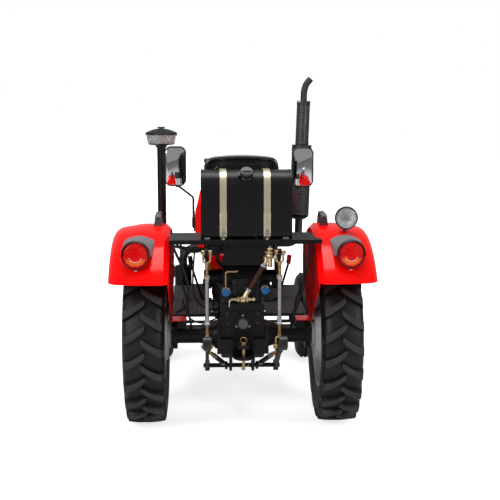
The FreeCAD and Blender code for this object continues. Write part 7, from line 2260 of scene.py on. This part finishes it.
@dataclass
class DriverStation:
    """The dash with its gauges, the wheel's cap and grips, the pedals' rubbers and the footboards' tread."""

    shop: Workshop
    dash_out: Triple = (0, -0.891, 0.455)
    dash_at: Triple = (0, 0.0745, 1.297)
    wheel_axis: Triple = (0, -0.69, 0.724)
    wheel_at: Triple = (0, -0.1055, 1.352)
    grips: int = 72
    grip_at: Triple = (0.1745, 0, -0.0075)

    def gauge(self, across: float, radius: float) -> list[Piece]:
        """Returns one gauge: bezel, dial, marks and needle.

        Args:
            across: Its place from the centre plane.
            radius: Its radius.

        Returns:
            The dressed pieces.
        """
        out = Vector(self.dash_out)
        at = Vector(self.dash_at) + Vector((across, 0, 0)) + out * 0.0022
        bezel = lathe(
            "gauge_bezel", [(radius, -0.001), (radius, 0.006), (radius - 0.002, 0.008), (radius - 0.005, 0.0065),
            (radius - 0.005, 0.003)], at, out, 48)
        dial = lathe("gauge_dial", [(radius - 0.0052, 0.0028), (0, 0.0028)], at, out, 48)
        pieces = Kit(self.shop)
        pieces.add(CHROME, bezel)
        pieces.add(DIAL_BLACK, dial)
        mark = block("gauge_mark", (-0.0007, radius - 0.0115, 0.0028), (0.0007, radius - 0.0065, 0.0034))
        marks = repeated(mark, "gauge_marks", [
            Matrix.Rotation(math.radians(turn), 4, "Z") for turn in range(-120, 121, 20)])
        needle = block("needle", (-0.0009, -0.004, 0.0036), (0.0009, radius - 0.01, 0.0046))
        needle.data.transform(Matrix.Rotation(math.radians(70), 4, "Z"))
        pieces.add(DIAL_WHITE, seated(marks, at, out))
        pieces.add(RED_GRIP, seated(needle, at, out))
        return pieces

    def dash(self) -> None:
        """Builds the panel with its gauges, lights and switches."""
        out = Vector(self.dash_out)
        plate = block("dash_plate", (-0.172, -0.044, -0.001), (0.172, 0.044, 0.0022), 0.001)
        pieces = Kit(self.shop)
        pieces.add(BLACK_PLASTIC, seated(plate, self.dash_at, out))
        for across, radius in ((-0.118, 0.034), (0, 0.039), (0.118, 0.034)):
            pieces += self.gauge(across, radius)
        for across, finish in ((-0.066, AMBER_LENS), (0.066, RED_LENS)):
            pieces.add(finish, dome(
                "warning_light", Vector(self.dash_at) + Vector((across, 0, 0)) + out * 0.003, (0.006,) * 3, steps=20))
        for across in (-0.12, -0.085, 0.085, 0.12):
            found = landed("cowl", (across, -0.3, 1.19), (0, 1, 0))
            if found:
                at, away = found
                pieces.add(SILVER_ZINC, rod(
                    "switch_collar", at - away * 0.001, at + away * 0.005, 0.0115, 0.0105, 32, 0.001))
                pieces.add(BLACK_PLASTIC, rod(
                    "switch_knob", at + away * 0.004, at + away * 0.017, 0.0075, 0.0085, 24, 0.0015))
        pieces.ride("dash_pieces", "chassis", "black_plastic")

    def wheel(self) -> None:
        """Shows the steering wheel with its cap and finger grips."""
        axis, at = Vector(self.wheel_axis).normalized(), Vector(self.wheel_at)
        pieces = Kit(self.shop)
        pieces.add(BLACK_PLASTIC, welded("steering_wheel", "wheel_rim", 60))
        top = at + axis * 0.018
        pieces.add(SEAT_SHELL, lathe(
            "wheel_cap", [(0.0355, -0.004), (0.0355, 0.001), (0.032, 0.004), (0.02, 0.0065), (0, 0.0072)], top, axis,
            48))
        grip = dome("finger_grip", (0, 0, 0), (0.0062, 0.0036, 0.004), steps=12)
        places = [
            placed(at, axis) @ (Matrix.Rotation(math.tau * number / self.grips, 4, "Z")
            @ Matrix.Translation(self.grip_at)) for number in range(self.grips)]
        pieces.add(BLACK_PLASTIC, repeated(grip, "finger_grips", places))
        pieces.stand_in("steering_wheel_pieces", "steering_wheel")

    def floor_pieces(self) -> None:
        """Adds the footboards' raised tread and the pedals' rubber ribs."""
        low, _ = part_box("footboards")
        bar = block("tread_bar", (-0.016, -0.0028, -0.0004), (0.016, 0.0028, 0.0018), 0.0008, 1)
        places = []
        for side in Side:
            for row in range(15):
                for number in range(7):
                    across = side.value * (0.205 + number * 0.034)
                    turn = 45 if (row + number) % 2 else -45
                    places.append(
                        Matrix.Translation((across, low.y + 0.028 + row * 0.036, 0.576))
                        @ Matrix.Rotation(math.radians(turn), 4, "Z"))
        tread = self.shop.dress(repeated(bar, "footboard_tread", places), FLOOR_GREY)
        self.shop.book(tread, "chassis", "grey_paint")
        pieces = Kit(self.shop)
        for across in (-0.205, 0.19, 0.255):
            for height in range(5):
                level = 0.684 + height * 0.0125
                pieces.add(BLACK_RUBBER, block(
                    "pedal_rib", (across - 0.027, 0.069, level), (across + 0.027, 0.0735, level + 0.006), 0.001))
        pieces.ride("pedal_rubbers", "chassis", "black_rubber")

    def build(self) -> None:
        """Builds the driver's station."""
        self.dash()
        self.wheel()
        self.floor_pieces()


@dataclass
class EngineBay:
    """The engine and radiator with their fittings and clamps, and the bolts of the whole underbody."""

    shop: Workshop

    def zones(self) -> None:
        """Shows the engine and the radiator with their parts in finishes of their own."""
        engine = self.shop.dress(welded("engine", "engine_body"), CAST_BLACK)
        for low, high, finish in (
                ((0.09, 0.585, 0.742), (0.212, 0.735, 0.858), STUD_GREY),
                ((0.15, 0.418, 0.578), (0.222, 0.428, 0.662), SILVER_ZINC),
                ((0.131, 0.41, 0.576), (0.222, 0.43, 0.664), FILTER_ORANGE),
                ((-0.22, 0.27, 0.765), (-0.142, 0.345, 0.879), FILTER_ORANGE),
                ((-0.22, 0.27, 0.879), (-0.112, 0.352, 0.906), STUD_GREY),
                ((-0.18, 0.36, 0.698), (-0.127, 0.585, 0.7905), STUD_GREY),
                ((-0.17, 0.29, 0.7915), (-0.092, 0.7, 1.0), SILVER_ZINC),
                ((-0.026, 0.285, 1.0105), (0.026, 0.34, 1.035), BLACK_PLASTIC),
                ((-0.094, 0.22, 0.941), (0.094, 0.69, 1.0105), ROCKER_GREY)):
            self.shop.zone(
                engine, finish, lambda spot, _, low=low, high=high: all(
                low[axis] < spot[axis] < high[axis] for axis in range(3)))
        self.shop.stand_in(engine, "engine")
        radiator = self.shop.dress(welded("radiator", "radiator_body"), BLACK_PAINT)
        low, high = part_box("radiator")
        self.shop.zone(
            radiator, CORE_FINS, lambda spot, normal: abs(normal.y) > 0.9 and spot.y > high.y - 0.07
            and 0.57 < spot.z < 1.1 and abs(spot.x) < high.x - 0.004)
        self.shop.zone(
            radiator, BLACK_RUBBER, lambda spot, _: abs(spot.x + 0.063) < 0.027 and spot.z > 0.96 and spot.y < 0.772)
        self.shop.stand_in(radiator, "radiator")

    def clamps(self) -> None:
        """Adds hose clamps, core plugs and the dipstick."""
        pieces = Kit(self.shop)
        for at, axis in (((-0.063, 0.768, 1.124), (0, 1, 0)), ((-0.063, 0.7165, 0.985), (0, 0, 1))):
            band = lathe(
                "hose_clamp", [(0.0252, -0.006), (0.0264, -0.006), (0.0264, 0.006), (0.0252, 0.006)], at, axis, 48)
            pieces.add(SILVER_ZINC, smooth(band), rod(
                "clamp_screw", Vector(at) + Vector((0.02, 0.0, 0.0)) + Vector(axis) * 0.008,
                Vector(at) + Vector((0.02, 0, 0)) - Vector(axis) * 0.008, 0.0105, sides=6, bevel=0.001))
        for side in Side:
            for along in (0.275, 0.415, 0.555):
                found = landed("engine", (side.value * 0.4, along, 0.655), (-side.value, 0, 0))
                if found:
                    pieces.add(STUD_GREY, lathe(
                        "core_plug", [(0.017, 0), (0.017, 0.002), (0.0145, 0.002), (0.013, 0.0005), (0, 0.0005)],
                        *found, 32))
        stick = pipe(
            "dipstick", [(0.132, 0.3, 0.6), (0.139, 0.3, 0.66), (0.141, 0.3, 0.76), (0.143, 0.3, 0.8)], 0.003, 8)
        loop = ring("dipstick_loop", (0.143, 0.3, 0.812), (0, 1, 0), 0.011, 0.0022, 28, 8)
        pieces.add(YELLOW_ZINC, stick, loop)
        pieces.ride("engine_fittings", "chassis", "silver_zinc")

    def bolts(self) -> None:
        """Places bolts where lines land on the engine, case, frame, axle housings, lift cover and fenders."""
        rays = []

        def spread(node: str, xs: Point, ys: Point, zs: Point, way: Triple) -> None:
            """Adds one line towards a node from each crossing of the given places."""
            rays.extend((node, (x, y, z), way) for x in xs for y in ys for z in zs)

        down = (0, 0, -1)
        spread("engine", (-0.105, 0.105), (0.235, 0.295, 0.375, 0.435, 0.515, 0.575, 0.655), (1.3,), down)
        spread("engine", (-0.06, 0.06), (0.26, 0.455, 0.65), (1.3,), down)
        spread("engine", (-0.112, 0.112), (0.95,), (0.52, 0.6, 0.68, 0.845), (0, -1, 0))
        spread("engine", (-0.128, 0.128), (0.22, 0.3, 0.38, 0.46, 0.54, 0.62, 0.69), (0.3,), (0, 0, 1))
        for side in Side:
            out = side.value
            spread("transmission_case", (out * 0.5,), (-0.48, -0.36, -0.24, -0.12, 0.0), (0.47, 0.755), (-out, 0, 0))
            spread("front_frame", (out * 0.6,), (0.24, 0.3, 0.8, 0.86, 1.0, 1.06, 1.22, 1.28), (0.53,), (-out, 0, 0))
            for across, reach, count, start in ((0.36, 0.082, 10, 18), (0.48, 0.06, 8, 22)):
                circle = circle_spots((out * across, REAR_AXLE_Y, REAR_AXLE_Z), (out, 0, 0), reach, count, start)
                rays += [("rear_axle_housings", at, (-out, 0, 0)) for at, _ in circle]
            spread("lift_cover", (out * 0.118,), (-0.55, -0.5, -0.46), (1.2,), down)
            spread(f"fender_{side.label}", (out * 0.2,), (-0.95, -0.62, -0.3), (0.95, 1.06), (out, 0, 0))
        found = filter(None, [landed(*ray) for ray in rays])
        Fasteners(self.shop, BOLT_BLACK, "black_paint").build(
            "landed_bolts", "chassis", Fastener.BOLT, list(found), 0.0085)

    def build(self) -> None:
        """Builds the engine bay."""
        self.zones()
        self.clamps()
        self.bolts()


def main() -> None:
    """Builds the studio and the tractor's sub-assemblies in order."""
    logging.basicConfig(level=logging.INFO, format="%(name)s: %(message)s")
    shop = Workshop()
    axle_y = sum(corner.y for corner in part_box("rear_tyre_left")) / 2
    Studio(axle_y).build()
    for side in Side:
        RearTyre(shop, side).build()
        FrontTyre(shop, side).build()
        TailLamp(shop, side).build()
    for assembly in (
            FuelTank, WorkLamp, Mirrors, Exhaust, PreCleaner, LiftLinkage, RearCase, Seat, Bodywork, Wheels, Front,
            DriverStation, EngineBay):
        assembly(shop).build()
    for node in sorted(set(SHOWN_CAD) - shop.stood_for):
        skin = shop.skin(node, NODE_FINISHES[node])
        if node == "controls":
            shop.zone(skin, RED_GRIP, lambda spot, _: spot.x > 0.25 and spot.z > 0.93)


if __name__ == "__main__":
    main()
